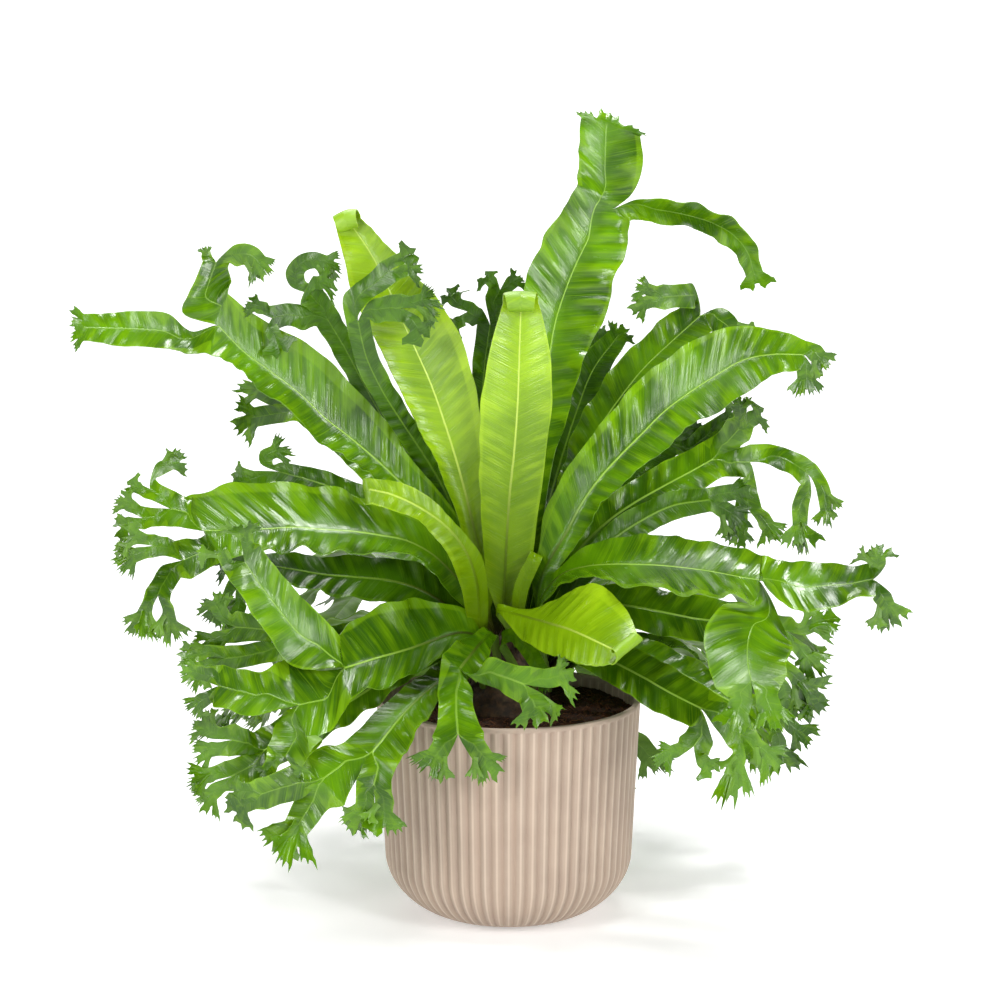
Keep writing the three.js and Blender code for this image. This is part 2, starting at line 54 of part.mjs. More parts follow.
  ["frond_right_back_crest","dark",[[[23.3,10.9,172.4,24.1,8.8,172.4,24.9,6.6,172.4],[26.4,12.4,185.3,27.8,10.3,185.0,28.8,8.0,184.9],[24.3,11.5,214.8,28.2,11.8,214.5,32.0,10.7,214.4],[26.3,16.6,227.3,30.6,16.6,225.0,35.0,16.6,222.7],[36.8,38.4,248.0,42.9,37.0,244.8,49.0,35.6,241.6],[65.7,68.1,290.8,73.2,64.6,284.7,80.7,61.0,278.6],[107.6,75.5,327.0,113.7,72.0,319.6,119.8,68.5,312.2]],[[[107.6,75.5,327.0,110.7,73.8,323.3,113.7,72.0,319.6],[128.5,72.0,334.8,130.7,72.0,330.4,132.9,72.0,326.0]],[[[128.5,72.0,334.8,130.7,72.0,330.4,132.9,72.0,326.0],[137.1,72.0,334.6,138.0,72.0,332.8,138.8,72.0,331.1]]]],[[[113.7,72.0,319.6,116.8,70.2,315.9,119.8,68.5,312.2],[126.8,70.0,320.4,129.3,70.0,317.0,132.9,70.0,312.2],[136.6,66.0,331.1,140.3,66.0,326.2,143.9,66.0,321.4]],[[[136.6,66.0,331.1,138.5,66.0,328.6,140.3,66.0,326.2],[153.7,64.0,342.5,155.6,64.0,339.4,157.5,64.0,336.3]],[[[153.7,64.0,342.5,155.6,64.0,339.4,157.5,64.0,336.3],[160.7,64.0,342.8,161.3,64.0,341.9,161.9,64.0,340.9]]]],[[[140.3,66.0,326.2,142.1,66.0,323.8,143.9,66.0,321.4],[154.2,64.0,331.6,154.3,64.0,328.0,154.3,64.0,324.3]],[[[154.2,64.0,331.6,154.3,64.0,328.0,154.3,64.0,324.3],[159.4,64.0,328.3,159.5,64.0,327.2,159.5,64.0,326.1]]]]]]],
  ["frond_left_small_young","young",[[[-13.8,-4.3,190.8,-14.2,-2.0,190.9,-14.5,0.3,190.9],[-23.0,-17.1,199.7,-19.3,-15.5,202.6,-14.8,-15.0,204.5],[-32.2,-35.0,234.7,-22.1,-30.5,239.9,-15.4,-26.8,243.2],[-35.8,-40.6,248.6,-26.2,-35.6,255.4,-19.6,-31.6,260.0],[-40.9,-45.7,261.6,-33.3,-40.7,269.7,-29.2,-36.7,273.8],[-67.4,-55.4,290.1,-65.9,-50.7,298.1,-64.1,-47.0,307.6],[-91.6,-55.0,297.9,-93.2,-52.0,307.3,-94.4,-50.0,314.7]]]],
  ["frond_left_middle","mature",[[[-21.7,-7.8,178.5,-22.2,-5.5,178.5,-22.8,-3.3,178.5],[-25.8,-17.9,217.9,-24.1,-9.7,218.5,-19.6,-2.6,219.5],[-30.7,-15.7,219.5,-28.1,-10.9,229.4,-25.2,-3.7,240.3],[-53.8,-30.4,249.8,-53.3,-15.4,256.9,-51.8,-0.6,275.5],[-68.7,-37.5,260.1,-70.1,-19.1,266.5,-72.6,-2.5,284.5],[-103.3,-52.9,264.5,-107.4,-30.4,275.1,-114.1,-13.6,301.0],[-154.7,-64.2,267.9,-163.4,-41.0,278.6,-179.5,-25.7,308.0],[-189.0,-65.6,261.8,-204.8,-46.4,278.1,-220.9,-36.8,298.2]],[[[-189.0,-65.6,261.8,-196.9,-56.0,269.9,-204.8,-46.4,278.1],[-196.9,-55.7,258.3,-201.3,-48.8,266.1,-204.4,-43.9,271.6],[-213.2,-64.0,251.0,-218.2,-56.0,259.9,-223.2,-48.0,268.9]],[[[-213.2,-64.0,251.0,-215.7,-60.0,255.5,-218.2,-56.0,259.9],[-221.2,-61.0,249.8,-226.1,-58.4,252.9,-229.5,-56.6,255.0],[-228.5,-70.9,236.5,-234.6,-68.0,238.4,-240.8,-65.1,240.3]],[[[-228.5,-70.9,236.5,-231.6,-69.4,237.4,-234.6,-68.0,238.4],[-223.7,-70.4,221.1,-226.7,-70.4,220.5,-229.7,-70.4,219.8]],[[[-223.7,-70.4,221.1,-226.7,-70.4,220.5,-229.7,-70.4,219.8],[-223.5,-70.4,210.3,-224.7,-70.4,210.0,-225.9,-70.4,209.7]]]],[[[-234.6,-68.0,238.4,-237.7,-66.6,239.3,-240.8,-65.1,240.3],[-238.6,-70.4,232.4,-240.5,-70.4,233.4,-243.2,-70.4,234.8],[-241.9,-70.4,223.8,-244.7,-70.4,225.2,-247.4,-70.4,226.6]],[[[-241.9,-70.4,223.8,-244.7,-70.4,225.2,-247.4,-70.4,226.6],[-247.4,-70.4,216.0,-248.5,-70.4,216.6,-249.6,-70.4,217.2]]]]],[[[-218.2,-56.0,259.9,-220.7,-52.0,264.4,-223.2,-48.0,268.9],[-237.2,-68.1,266.2,-236.9,-65.6,271.3,-236.7,-63.1,276.3]],[[[-237.2,-68.1,266.2,-237.1,-66.8,268.7,-236.9,-65.6,271.3],[-248.9,-68.0,262.1,-250.1,-68.0,264.9,-251.3,-68.0,267.8]],[[[-248.9,-68.0,262.1,-250.1,-68.0,264.9,-251.3,-68.0,267.8],[-257.3,-68.0,259.4,-257.8,-68.0,260.5,-258.3,-68.0,261.6]]]],[[[-236.9,-65.6,271.3,-236.8,-64.4,273.8,-236.7,-63.1,276.3],[-249.9,-68.0,275.7,-248.5,-68.0,278.5,-247.1,-68.0,281.3]],[[[-249.9,-68.0,275.7,-248.5,-68.0,278.5,-247.1,-68.0,281.3],[-255.3,-68.0,279.9,-254.9,-68.0,280.7,-254.5,-68.0,281.5]]]]]],[[[-204.8,-46.4,278.1,-212.8,-41.6,288.2,-220.9,-36.8,298.2],[-228.0,-54.3,285.1,-226.5,-47.6,293.2,-225.1,-40.9,301.4]],[[[-228.0,-54.3,285.1,-227.2,-51.0,289.2,-226.5,-47.6,293.2],[-236.7,-51.0,283.5,-237.3,-48.8,288.0,-237.6,-47.3,291.1],[-244.4,-53.7,282.6,-245.0,-51.2,287.7,-245.7,-48.7,292.8]],[[[-244.4,-53.7,282.6,-244.7,-52.4,285.2,-245.0,-51.2,287.7],[-255.4,-53.6,281.0,-256.2,-53.6,284.1,-257.0,-53.6,287.1]],[[[-255.4,-53.6,281.0,-256.2,-53.6,284.1,-257.0,-53.6,287.1],[-260.8,-53.6,281.2,-261.0,-53.6,282.1,-261.3,-53.6,283.0]]]],[[[-245.0,-51.2,287.7,-245.4,-50.0,290.3,-245.7,-48.7,292.8],[-257.3,-53.6,295.3,-255.3,-53.6,297.7,-253.2,-53.6,300.1]],[[[-257.3,-53.6,295.3,-255.3,-53.6,297.7,-253.2,-53.6,300.1],[-262.5,-53.6,300.9,-261.7,-53.6,301.8,-260.9,-53.6,302.8]]]]],[[[-226.5,-47.6,293.2,-225.8,-44.2,297.3,-225.1,-40.9,301.4],[-236.0,-47.8,300.1,-234.6,-46.4,302.6,-232.4,-44.4,306.1],[-243.9,-46.3,302.2,-241.5,-44.0,306.3,-239.0,-41.7,310.4]],[[[-243.9,-46.3,302.2,-242.7,-45.2,304.2,-241.5,-44.0,306.3],[-252.0,-44.0,305.1,-250.9,-44.0,307.6,-249.8,-44.0,310.2]],[[[-252.0,-44.0,305.1,-250.9,-44.0,307.6,-249.8,-44.0,310.2],[-255.8,-44.0,308.0,-255.4,-44.0,308.8,-255.1,-44.0,309.6]]]],[[[-241.5,-44.0,306.3,-240.3,-42.8,308.3,-239.0,-41.7,310.4],[-237.5,-38.0,320.7,-236.2,-38.0,318.7,-234.4,-38.0,315.9],[-229.2,-34.4,324.4,-228.1,-34.4,321.8,-227.1,-34.4,319.3]],[[[-229.2,-34.4,324.4,-228.1,-34.4,321.8,-227.1,-34.4,319.3],[-221.0,-31.1,324.3,-220.7,-31.1,323.5,-220.4,-31.1,322.8]]]]]]]],
  ["frond_left_middle_under","dark",[[[-25.7,-5.9,170.3,-26.0,-3.7,170.3,-26.3,-1.4,170.3],[-28.5,-11.8,198.3,-26.5,-5.2,198.9,-22.3,0.3,199.7],[-32.4,-10.4,197.8,-29.6,-6.4,206.5,-26.9,-2.4,215.2],[-67.5,-25.4,219.7,-63.7,-12.1,232.2,-59.8,-2.6,245.6],[-86.8,-29.9,225.6,-84.1,-15.0,238.2,-81.2,-4.2,251.7],[-125.8,-37.2,233.4,-125.7,-21.4,243.2,-125.3,-9.5,253.9],[-163.5,-36.0,245.7,-166.3,-26.0,251.1,-168.9,-18.0,256.9]],[[[-163.5,-36.0,245.7,-164.9,-31.0,248.4,-166.3,-26.0,251.1],[-174.4,-28.0,233.9,-177.9,-28.0,239.3,-180.3,-28.0,243.1],[-182.6,-28.0,228.1,-186.2,-28.0,233.7,-189.7,-28.0,239.3]],[[[-182.6,-28.0,228.1,-184.4,-28.0,230.9,-186.2,-28.0,233.7],[-181.6,-28.0,217.5,-185.0,-28.0,218.4,-188.4,-28.0,219.3]],[[[-181.6,-28.0,217.5,-185.0,-28.0,218.4,-188.4,-28.0,219.3],[-185.4,-28.0,212.0,-186.4,-28.0,212.3,-187.4,-28.0,212.6]]]],[[[-186.2,-28.0,233.7,-187.9,-28.0,236.5,-189.7,-28.0,239.3],[-196.6,-28.0,219.7,-198.6,-28.0,222.6,-200.7,-28.0,225.4]],[[[-196.6,-28.0,219.7,-198.6,-28.0,222.6,-200.7,-28.0,225.4],[-203.9,-28.0,215.9,-204.8,-28.0,217.1,-205.6,-28.0,218.2]]]]],[[[-166.3,-26.0,251.1,-167.6,-22.0,254.0,-168.9,-18.0,256.9],[-181.1,-28.0,248.7,-180.4,-28.0,253.2,-179.4,-28.0,259.6],[-190.8,-28.0,248.8,-189.9,-28.0,254.6,-189.0,-28.0,260.4]],[[[-190.8,-28.0,248.8,-189.9,-28.0,254.6,-189.0,-28.0,260.4],[-198.1,-28.0,250.8,-197.5,-28.0,254.8,-196.8,-28.0,258.9],[-199.7,-28.0,252.3,-199.4,-28.0,254.6,-199.0,-28.0,256.9]]]]]],
  ["frond_left_back_dark","dark",[[[-23.9,-0.6,176.5,-23.7,1.7,176.5,-23.6,4.0,176.5],[-38.4,3.8,224.8,-34.4,5.1,225.7,-30.2,4.8,227.0],[-45.3,8.2,235.0,-41.2,8.2,238.8,-37.1,8.2,242.7],[-65.8,14.4,252.4,-60.2,16.5,258.0,-54.7,18.6,263.6],[-110.3,19.3,280.9,-106.3,23.8,289.1,-102.3,28.3,297.3],[-160.5,17.5,301.3,-158.8,20.0,307.7,-157.0,22.5,314.1]],[[[-160.5,17.5,301.3,-159.7,18.7,304.5,-158.8,20.0,307.7],[-169.8,18.0,301.0,-171.2,18.0,305.2,-172.1,18.0,308.1],[-178.3,18.0,298.6,-179.5,18.0,302.4,-180.7,18.0,306.2]],[[[-178.3,18.0,298.6,-179.5,18.0,302.4,-180.7,18.0,306.2],[-185.8,18.0,298.1,-186.1,18.0,299.3,-186.5,18.0,300.4]]]],[[[-158.8,20.0,307.7,-157.9,21.3,310.9,-157.0,22.5,314.1],[-171.0,18.0,313.8,-168.3,18.0,313.6,-164.3,18.0,313.4],[-171.1,18.0,321.6,-167.9,18.0,319.4,-164.6,18.0,317.2],[-164.2,18.0,325.2,-162.6,18.0,322.0,-161.1,18.0,318.8]],[[[-164.2,18.0,325.2,-162.6,18.0,322.0,-161.1,18.0,318.8],[-154.2,18.7,326.2,-153.6,18.7,324.9,-153.0,18.7,323.6]]]]]],
  ["frond_left_low","mature",[[[-21.0,-14.8,172.4,-22.2,-12.8,172.4,-23.4,-10.8,172.5],[-17.0,-29.5,194.0,-18.4,-25.0,197.0,-17.8,-20.5,200.2],[-33.1,-44.8,198.0,-31.7,-33.9,205.2,-29.2,-23.3,218.5],[-43.2,-57.4,194.1,-43.0,-41.0,204.5,-42.3,-26.4,223.6],[-63.8,-82.5,188.2,-65.8,-59.9,200.2,-68.8,-41.8,230.8],[-83.4,-103.6,181.9,-87.9,-79.6,198.0,-93.9,-61.1,226.0],[-94.6,-110.1,184.6,-98.7,-87.9,196.3,-104.6,-71.3,220.7],[-103.1,-114.4,177.5,-108.5,-95.5,194.7,-113.7,-82.0,213.4]],[[[-103.1,-114.4,177.5,-105.8,-105.0,186.1,-108.5,-95.5,194.7],[-115.9,-124.9,160.9,-120.9,-111.7,177.5,-124.5,-102.4,189.3],[-129.8,-144.2,153.3,-137.1,-125.2,176.8,-144.6,-106.2,200.7]],[[[-129.8,-144.2,153.3,-133.4,-134.7,165.0,-137.1,-125.2,176.8],[-132.1,-141.1,145.7,-142.6,-135.0,150.2,-150.0,-130.6,153.5],[-135.7,-143.3,140.9,-145.6,-137.5,145.4,-155.5,-131.6,149.9]],[[[-135.7,-143.3,140.9,-140.7,-140.4,143.1,-145.6,-137.5,145.4],[-131.8,-138.2,137.0,-135.0,-138.2,137.0,-138.2,-138.2,137.0]],[[[-131.8,-138.2,137.0,-135.0,-138.2,137.0,-138.2,-138.2,137.0],[-134.0,-137.6,134.0,-135.0,-137.6,134.0,-135.9,-137.6,134.0]]]],[[[-145.6,-137.5,145.4,-150.6,-134.5,147.6,-155.5,-131.6,149.9],[-151.4,-138.5,139.4,-153.6,-138.5,140.9,-156.8,-138.5,143.2],[-154.3,-137.2,134.5,-156.9,-137.2,136.3,-159.5,-137.2,138.1]],[[[-154.3,-137.2,134.5,-156.9,-137.2,136.3,-159.5,-137.2,138.1],[-157.7,-136.7,133.1,-158.5,-136.7,133.6,-159.3,-136.7,134.2]]]]],[[[-137.1,-125.2,176.8,-140.8,-115.7,188.7,-144.6,-106.2,200.7],[-165.4,-131.8,175.2,-163.8,-125.2,183.5,-161.5,-115.8,195.4],[-191.0,-137.4,180.4,-188.7,-129.2,190.4,-186.4,-121.1,200.6]],[[[-191.0,-137.4,180.4,-189.9,-133.3,185.4,-188.7,-129.2,190.4],[-194.4,-129.2,179.9,-196.7,-129.2,183.1,-198.3,-129.2,185.4],[-199.9,-129.2,176.2,-201.9,-129.2,179.1,-204.0,-129.2,182.0]],[[[-199.9,-129.2,176.2,-201.9,-129.2,179.1,-204.0,-129.2,182.0],[-204.6,-129.2,174.8,-205.5,-129.2,175.9,-206.3,-129.2,177.1]]]],[[[-188.7,-129.2,190.4,-187.6,-125.2,195.5,-186.4,-121.1,200.6],[-198.6,-129.2,195.1,-197.7,-129.2,197.8,-196.4,-129.2,201.6],[-206.5,-129.2,197.4,-205.5,-129.2,200.4,-204.4,-129.2,203.5]],[[[-206.5,-129.2,197.4,-205.5,-129.2,200.4,-204.4,-129.2,203.5],[-209.9,-129.2,200.3,-209.6,-129.2,201.2,-209.3,-129.2,202.1]]]]]],[[[-108.5,-95.5,194.7,-111.1,-88.8,204.0,-113.7,-82.0,213.4],[-111.6,-103.3,200.5,-112.2,-98.2,206.1,-113.0,-93.3,214.8],[-143.2,-112.1,202.7,-137.1,-102.2,218.5,-130.7,-94.8,234.9],[-181.1,-111.9,259.0,-172.7,-106.3,267.9,-164.2,-100.7,276.8]],[[[-181.1,-111.9,259.0,-176.9,-109.1,263.4,-172.7,-106.3,267.9],[-187.0,-106.3,265.8,-183.8,-106.3,267.5,-181.6,-106.3,268.7],[-190.1,-106.3,273.5,-187.6,-106.3,274.8,-185.1,-106.3,276.2]],[[[-190.1,-106.3,273.5,-187.6,-106.3,274.8,-185.1,-106.3,276.2],[-189.2,-106.3,275.7,-188.5,-106.3,276.1,-187.7,-106.3,276.5]]]],[[[-172.7,-106.3,267.9,-168.5,-103.5,272.3,-164.2,-100.7,276.8],[-173.7,-106.3,279.9,-171.2,-106.3,280.2,-167.6,-106.3,280.5],[-174.9,-106.3,286.5,-171.7,-106.3,286.8,-168.6,-106.3,287.1]],[[[-174.9,-106.3,286.5,-171.7,-106.3,286.8,-168.6,-106.3,287.1],[-173.4,-106.3,292.9,-172.5,-106.3,293.0,-171.5,-106.3,293.1]]]]]]],
  ["frond_left_side_crest","mature",[[[-28.6,-4.3,161.3,-28.8,-2.0,161.3,-29.0,0.3,161.3],[-30.8,-4.7,184.8,-31.5,-1.7,185.3,-31.0,1.3,185.7],[-32.9,-6.2,195.3,-31.2,-2.8,196.3,-28.4,-0.2,197.3],[-35.3,-4.8,197.0,-34.5,-4.8,201.9,-33.6,-4.8,206.7],[-57.4,-12.3,199.4,-57.0,-9.9,206.7,-56.6,-7.5,214.0],[-78.9,-22.7,198.3,-80.3,-18.0,206.3,-81.7,-13.2,214.4],[-124.1,-45.5,192.1,-125.4,-40.3,200.6,-126.7,-35.2,209.2],[-147.2,-55.7,191.8,-148.0,-51.2,201.2,-148.8,-46.7,210.5]],[[[-147.2,-55.7,191.8,-147.6,-53.5,196.5,-148.0,-51.2,201.2],[-189.9,-60.8,187.0,-190.5,-60.8,193.6,-191.2,-60.8,200.2]],[[[-189.9,-60.8,187.0,-190.2,-60.8,190.3,-190.5,-60.8,193.6],[-206.8,-62.0,183.7,-208.1,-62.0,187.0,-209.3,-62.0,190.3]],[[[-206.8,-62.0,183.7,-208.1,-62.0,187.0,-209.3,-62.0,190.3],[-214.9,-62.0,181.8,-215.4,-62.0,183.1,-215.8,-62.0,184.4]]]],[[[-190.5,-60.8,193.6,-190.9,-60.8,196.9,-191.2,-60.8,200.2],[-210.1,-62.0,193.2,-210.6,-62.0,196.7,-211.1,-62.0,200.1]],[[[-210.1,-62.0,193.2,-210.6,-62.0,196.7,-211.1,-62.0,200.1],[-218.3,-62.0,192.9,-218.5,-62.0,194.3,-218.7,-62.0,195.7]]]]],[[[-148.0,-51.2,201.2,-148.4,-48.9,205.8,-148.8,-46.7,210.5],[-164.6,-53.6,206.1,-163.9,-53.6,211.4,-162.9,-53.6,218.8],[-184.8,-56.0,204.7,-183.9,-56.0,213.9,-183.1,-56.0,223.2]],[[[-184.8,-56.0,204.7,-184.3,-56.0,209.3,-183.9,-56.0,213.9],[-197.1,-57.2,201.7,-198.8,-57.2,205.2,-200.5,-57.2,208.8]],[[[-197.1,-57.2,201.7,-198.8,-57.2,205.2,-200.5,-57.2,208.8],[-205.1,-57.2,199.4,-205.8,-57.2,200.8,-206.4,-57.2,202.2]]]],[[[-183.9,-56.0,213.9,-183.5,-56.0,218.6,-183.1,-56.0,223.2],[-194.4,-57.2,218.9,-191.8,-57.2,220.4,-188.1,-57.2,222.6],[-199.7,-57.2,226.7,-196.4,-57.2,228.6,-193.0,-57.2,230.6]],[[[-199.7,-57.2,226.7,-196.4,-57.2,228.6,-193.0,-57.2,230.6],[-201.6,-57.2,234.0,-200.6,-57.2,234.6,-199.6,-57.2,235.2]]]]]]],
  ["frond_left_lowest","mature",[[[-26.6,-13.2,158.2,-27.4,-11.1,158.3,-28.3,-9.0,158.3],[-26.4,-23.5,189.4,-28.1,-20.2,190.8,-28.6,-16.7,192.4],[-31.0,-24.0,189.6,-32.3,-24.0,194.3,-33.6,-24.0,199.0],[-53.2,-38.1,183.2,-56.2,-35.9,190.2,-59.2,-33.6,197.3],[-92.1,-70.1,161.5,-98.5,-63.0,169.6,-105.0,-55.9,177.8],[-154.3,-105.6,129.2,-162.1,-96.8,139.2,-170.0,-88.0,149.2]],[[[-154.3,-105.6,129.2,-158.2,-101.2,134.2,-162.1,-96.8,139.2],[-179.1,-106.8,115.6,-183.6,-104.6,123.4,-188.0,-102.4,131.3]],[[[-179.1,-106.8,115.6,-181.3,-105.7,119.5,-183.6,-104.6,123.4],[-194.3,-105.9,108.7,-196.9,-105.9,111.5,-199.5,-105.9,114.3]],[[[-194.3,-105.9,108.7,-196.9,-105.9,111.5,-199.5,-105.9,114.3],[-201.2,-105.9,104.1,-202.3,-105.9,105.2,-203.4,-105.9,106.3]]]],[[[-183.6,-104.6,123.4,-185.8,-103.5,127.4,-188.0,-102.4,131.3],[-200.0,-105.9,120.0,-200.7,-105.9,123.8,-201.4,-105.9,127.6]],[[[-200.0,-105.9,120.0,-200.7,-105.9,123.8,-201.4,-105.9,127.6],[-208.8,-105.9,119.5,-209.1,-105.9,121.0,-209.4,-105.9,122.6]]]]],[[[-162.1,-96.8,139.2,-166.0,-92.4,144.2,-170.0,-88.0,149.2],[-174.9,-100.8,139.0,-173.8,-99.4,144.6,-172.2,-97.4,152.7],[-185.2,-104.2,138.5,-183.4,-102.0,147.3,-181.7,-99.8,156.2]],[[[-185.2,-104.2,138.5,-184.3,-103.1,142.9,-183.4,-102.0,147.3],[-197.1,-103.3,137.1,-198.0,-103.3,140.8,-198.9,-103.3,144.6]],[[[-197.1,-103.3,137.1,-198.0,-103.3,140.8,-198.9,-103.3,144.6],[-204.8,-103.3,136.6,-205.2,-103.3,138.1,-205.5,-103.3,139.6]]]],[[[-183.4,-102.0,147.3,-182.6,-100.9,151.7,-181.7,-99.8,156.2],[-195.4,-103.3,149.2,-193.8,-103.3,151.7,-191.6,-103.3,155.4],[-202.4,-103.3,152.5,-200.4,-103.3,155.8,-198.4,-103.3,159.2]],[[[-202.4,-103.3,152.5,-200.4,-103.3,155.8,-198.4,-103.3,159.2],[-208.3,-103.3,157.5,-207.5,-103.3,158.8,-206.7,-103.3,160.2]]]]]]],
  ["frond_front_left","mature",[[[-15.4,-23.5,164.3,-17.2,-22.1,164.3,-19.1,-20.6,164.4],[-18.2,-36.1,180.3,-20.9,-32.0,183.1,-21.8,-27.8,186.8],[-21.6,-39.9,178.8,-23.7,-36.0,184.9,-25.8,-30.8,190.7],[-42.7,-77.6,171.0,-50.0,-64.6,175.8,-57.5,-51.6,180.8],[-58.7,-111.4,158.3,-71.5,-95.8,161.8,-84.3,-82.8,166.1],[-71.1,-134.8,141.0,-89.4,-124.4,145.0,-107.8,-116.6,149.7]],[[[-71.1,-134.8,141.0,-80.2,-129.6,143.0,-89.4,-124.4,145.0],[-78.1,-139.9,124.8,-88.0,-137.4,126.9,-97.9,-134.9,129.0]],[[[-78.1,-139.9,124.8,-83.1,-138.6,125.8,-88.0,-137.4,126.9],[-77.0,-140.0,108.8,-81.5,-140.0,108.8,-86.0,-140.0,108.8]],[[[-77.0,-140.0,108.8,-81.5,-140.0,108.8,-86.0,-140.0,108.8],[-80.1,-140.0,99.9,-81.5,-140.0,99.9,-82.8,-140.0,99.9]]]],[[[-88.0,-137.4,126.9,-92.9,-136.2,128.0,-97.9,-134.9,129.0],[-90.9,-140.0,107.5,-95.2,-140.0,108.8,-99.5,-140.0,110.1]],[[[-90.9,-140.0,107.5,-95.2,-140.0,108.8,-99.5,-140.0,110.1],[-96.1,-140.0,98.6,-97.8,-140.0,99.1,-99.5,-140.0,99.6]]]]],[[[-89.4,-124.4,145.0,-98.6,-120.5,147.3,-107.8,-116.6,149.7],[-103.7,-133.7,128.9,-110.5,-129.6,136.9,-120.2,-123.8,148.4],[-107.8,-142.6,115.1,-120.7,-134.8,130.2,-133.6,-127.0,145.5]],[[[-107.8,-142.6,115.1,-114.3,-138.7,122.7,-120.7,-134.8,130.2],[-117.7,-137.4,111.6,-125.9,-137.4,117.5,-131.6,-137.4,121.6],[-132.6,-145.2,95.5,-138.6,-145.2,99.5,-144.6,-145.2,103.6]],[[[-132.6,-145.2,95.5,-138.6,-145.2,99.5,-144.6,-145.2,103.6],[-139.8,-148.7,87.4,-144.0,-148.7,90.2,-148.2,-148.7,93.0],[-142.8,-149.5,86.1,-145.2,-149.5,87.7,-147.6,-149.5,89.4]]]],[[[-120.7,-134.8,130.2,-127.2,-130.9,137.8,-133.6,-127.0,145.5],[-135.4,-138.5,121.0,-137.5,-138.5,128.3,-140.4,-138.5,138.7],[-158.3,-145.2,113.7,-161.0,-145.2,122.3,-163.8,-145.2,130.9]],[[[-158.3,-145.2,113.7,-159.6,-145.2,118.0,-161.0,-145.2,122.3],[-170.3,-146.5,111.3,-172.1,-146.5,114.6,-173.9,-146.5,118.0]],[[[-170.3,-146.5,111.3,-172.1,-146.5,114.6,-173.9,-146.5,118.0],[-177.1,-146.5,109.7,-177.6,-146.5,110.7,-178.1,-146.5,111.7]]]],[[[-161.0,-145.2,122.3,-162.4,-145.2,126.6,-163.8,-145.2,130.9],[-173.3,-146.5,120.9,-173.2,-146.5,124.7,-173.2,-146.5,128.5]],[[[-173.3,-146.5,120.9,-173.2,-146.5,124.7,-173.2,-146.5,128.5],[-179.4,-146.5,122.7,-179.4,-146.5,123.9,-179.4,-146.5,125.0]]]]]]]],
  ["frond_front_fork","mature",[[[-3.3,-22.8,178.5,-5.5,-22.2,178.5,-7.8,-21.6,178.5],[-7.2,-28.5,202.2,-11.1,-26.9,201.6,-14.4,-24.1,201.8],[-8.8,-30.8,200.4,-12.6,-30.8,204.3,-16.5,-30.8,208.3],[-15.9,-65.1,194.4,-22.7,-63.2,200.0,-29.6,-61.3,205.6],[-23.8,-85.2,184.9,-32.5,-85.2,192.3,-41.2,-85.2,199.7]],[[[-23.8,-85.2,184.9,-28.2,-85.2,188.6,-32.5,-85.2,192.3],[-14.4,-93.1,196.9,-15.8,-92.1,191.9,-16.8,-91.4,188.3],[12.1,-105.0,192.2,9.9,-103.6,185.7,7.7,-102.2,179.2]],[[[12.1,-105.0,192.2,11.0,-104.3,189.0,9.9,-103.6,185.7],[31.6,-104.8,194.5,32.3,-104.8,191.4,33.1,-104.8,188.3]],[[[31.6,-104.8,194.5,32.3,-104.8,191.4,33.1,-104.8,188.3],[41.4,-103.7,193.5,41.7,-103.7,192.3,42.0,-103.7,191.1]]]],[[[9.9,-103.6,185.7,8.8,-102.9,182.5,7.7,-102.2,179.2],[21.3,-105.9,173.2,17.2,-105.9,171.4,13.0,-105.9,169.6]],[[[21.3,-105.9,173.2,17.2,-105.9,171.4,13.0,-105.9,169.6],[22.0,-106.4,163.9,20.3,-106.4,163.1,18.7,-106.4,162.4]]]]],[[[-32.5,-85.2,192.3,-36.9,-85.2,196.0,-41.2,-85.2,199.7],[-30.6,-94.4,179.5,-35.1,-94.4,179.5,-41.5,-94.4,179.5],[-24.3,-111.7,154.7,-33.6,-111.7,153.9,-42.9,-111.7,153.1]],[[[-24.3,-111.7,154.7,-28.9,-111.7,154.3,-33.6,-111.7,153.9],[-13.6,-115.1,140.4,-15.8,-115.1,138.5,-18.0,-115.1,136.6]],[[[-13.6,-115.1,140.4,-15.8,-115.1,138.5,-18.0,-115.1,136.6],[-9.8,-115.1,132.0,-10.7,-115.1,131.2,-11.6,-115.1,130.5]]]],[[[-33.6,-111.7,153.9,-38.2,-111.7,153.5,-42.9,-111.7,153.1],[-45.6,-115.1,138.6,-48.0,-115.1,140.5,-50.5,-115.1,142.4]],[[[-45.6,-115.1,138.6,-48.0,-115.1,140.5,-50.5,-115.1,142.4],[-52.2,-115.1,131.8,-53.2,-115.1,132.6,-54.2,-115.1,133.4]]]]]]],
  ["frond_front_arch","mature",[[[9.6,-25.2,168.4,7.4,-25.8,168.3,5.2,-26.4,168.3],[-2.7,-26.3,196.9,-4.0,-29.2,195.5,-6.2,-31.3,193.9],[-4.5,-32.2,205.3,-3.2,-32.2,201.3,-2.0,-32.2,197.3],[3.5,-39.5,209.9,2.9,-39.5,204.9,2.3,-39.5,199.9],[17.5,-54.9,202.5,13.2,-54.9,198.7,8.8,-54.9,194.9],[27.5,-73.6,186.6,24.3,-73.6,184.2,21.0,-73.6,181.7]],[[[27.5,-73.6,186.6,24.3,-73.6,184.2,21.0,-73.6,181.7],[28.8,-77.2,180.0,27.5,-77.2,179.0,26.2,-77.2,178.0]]]]],
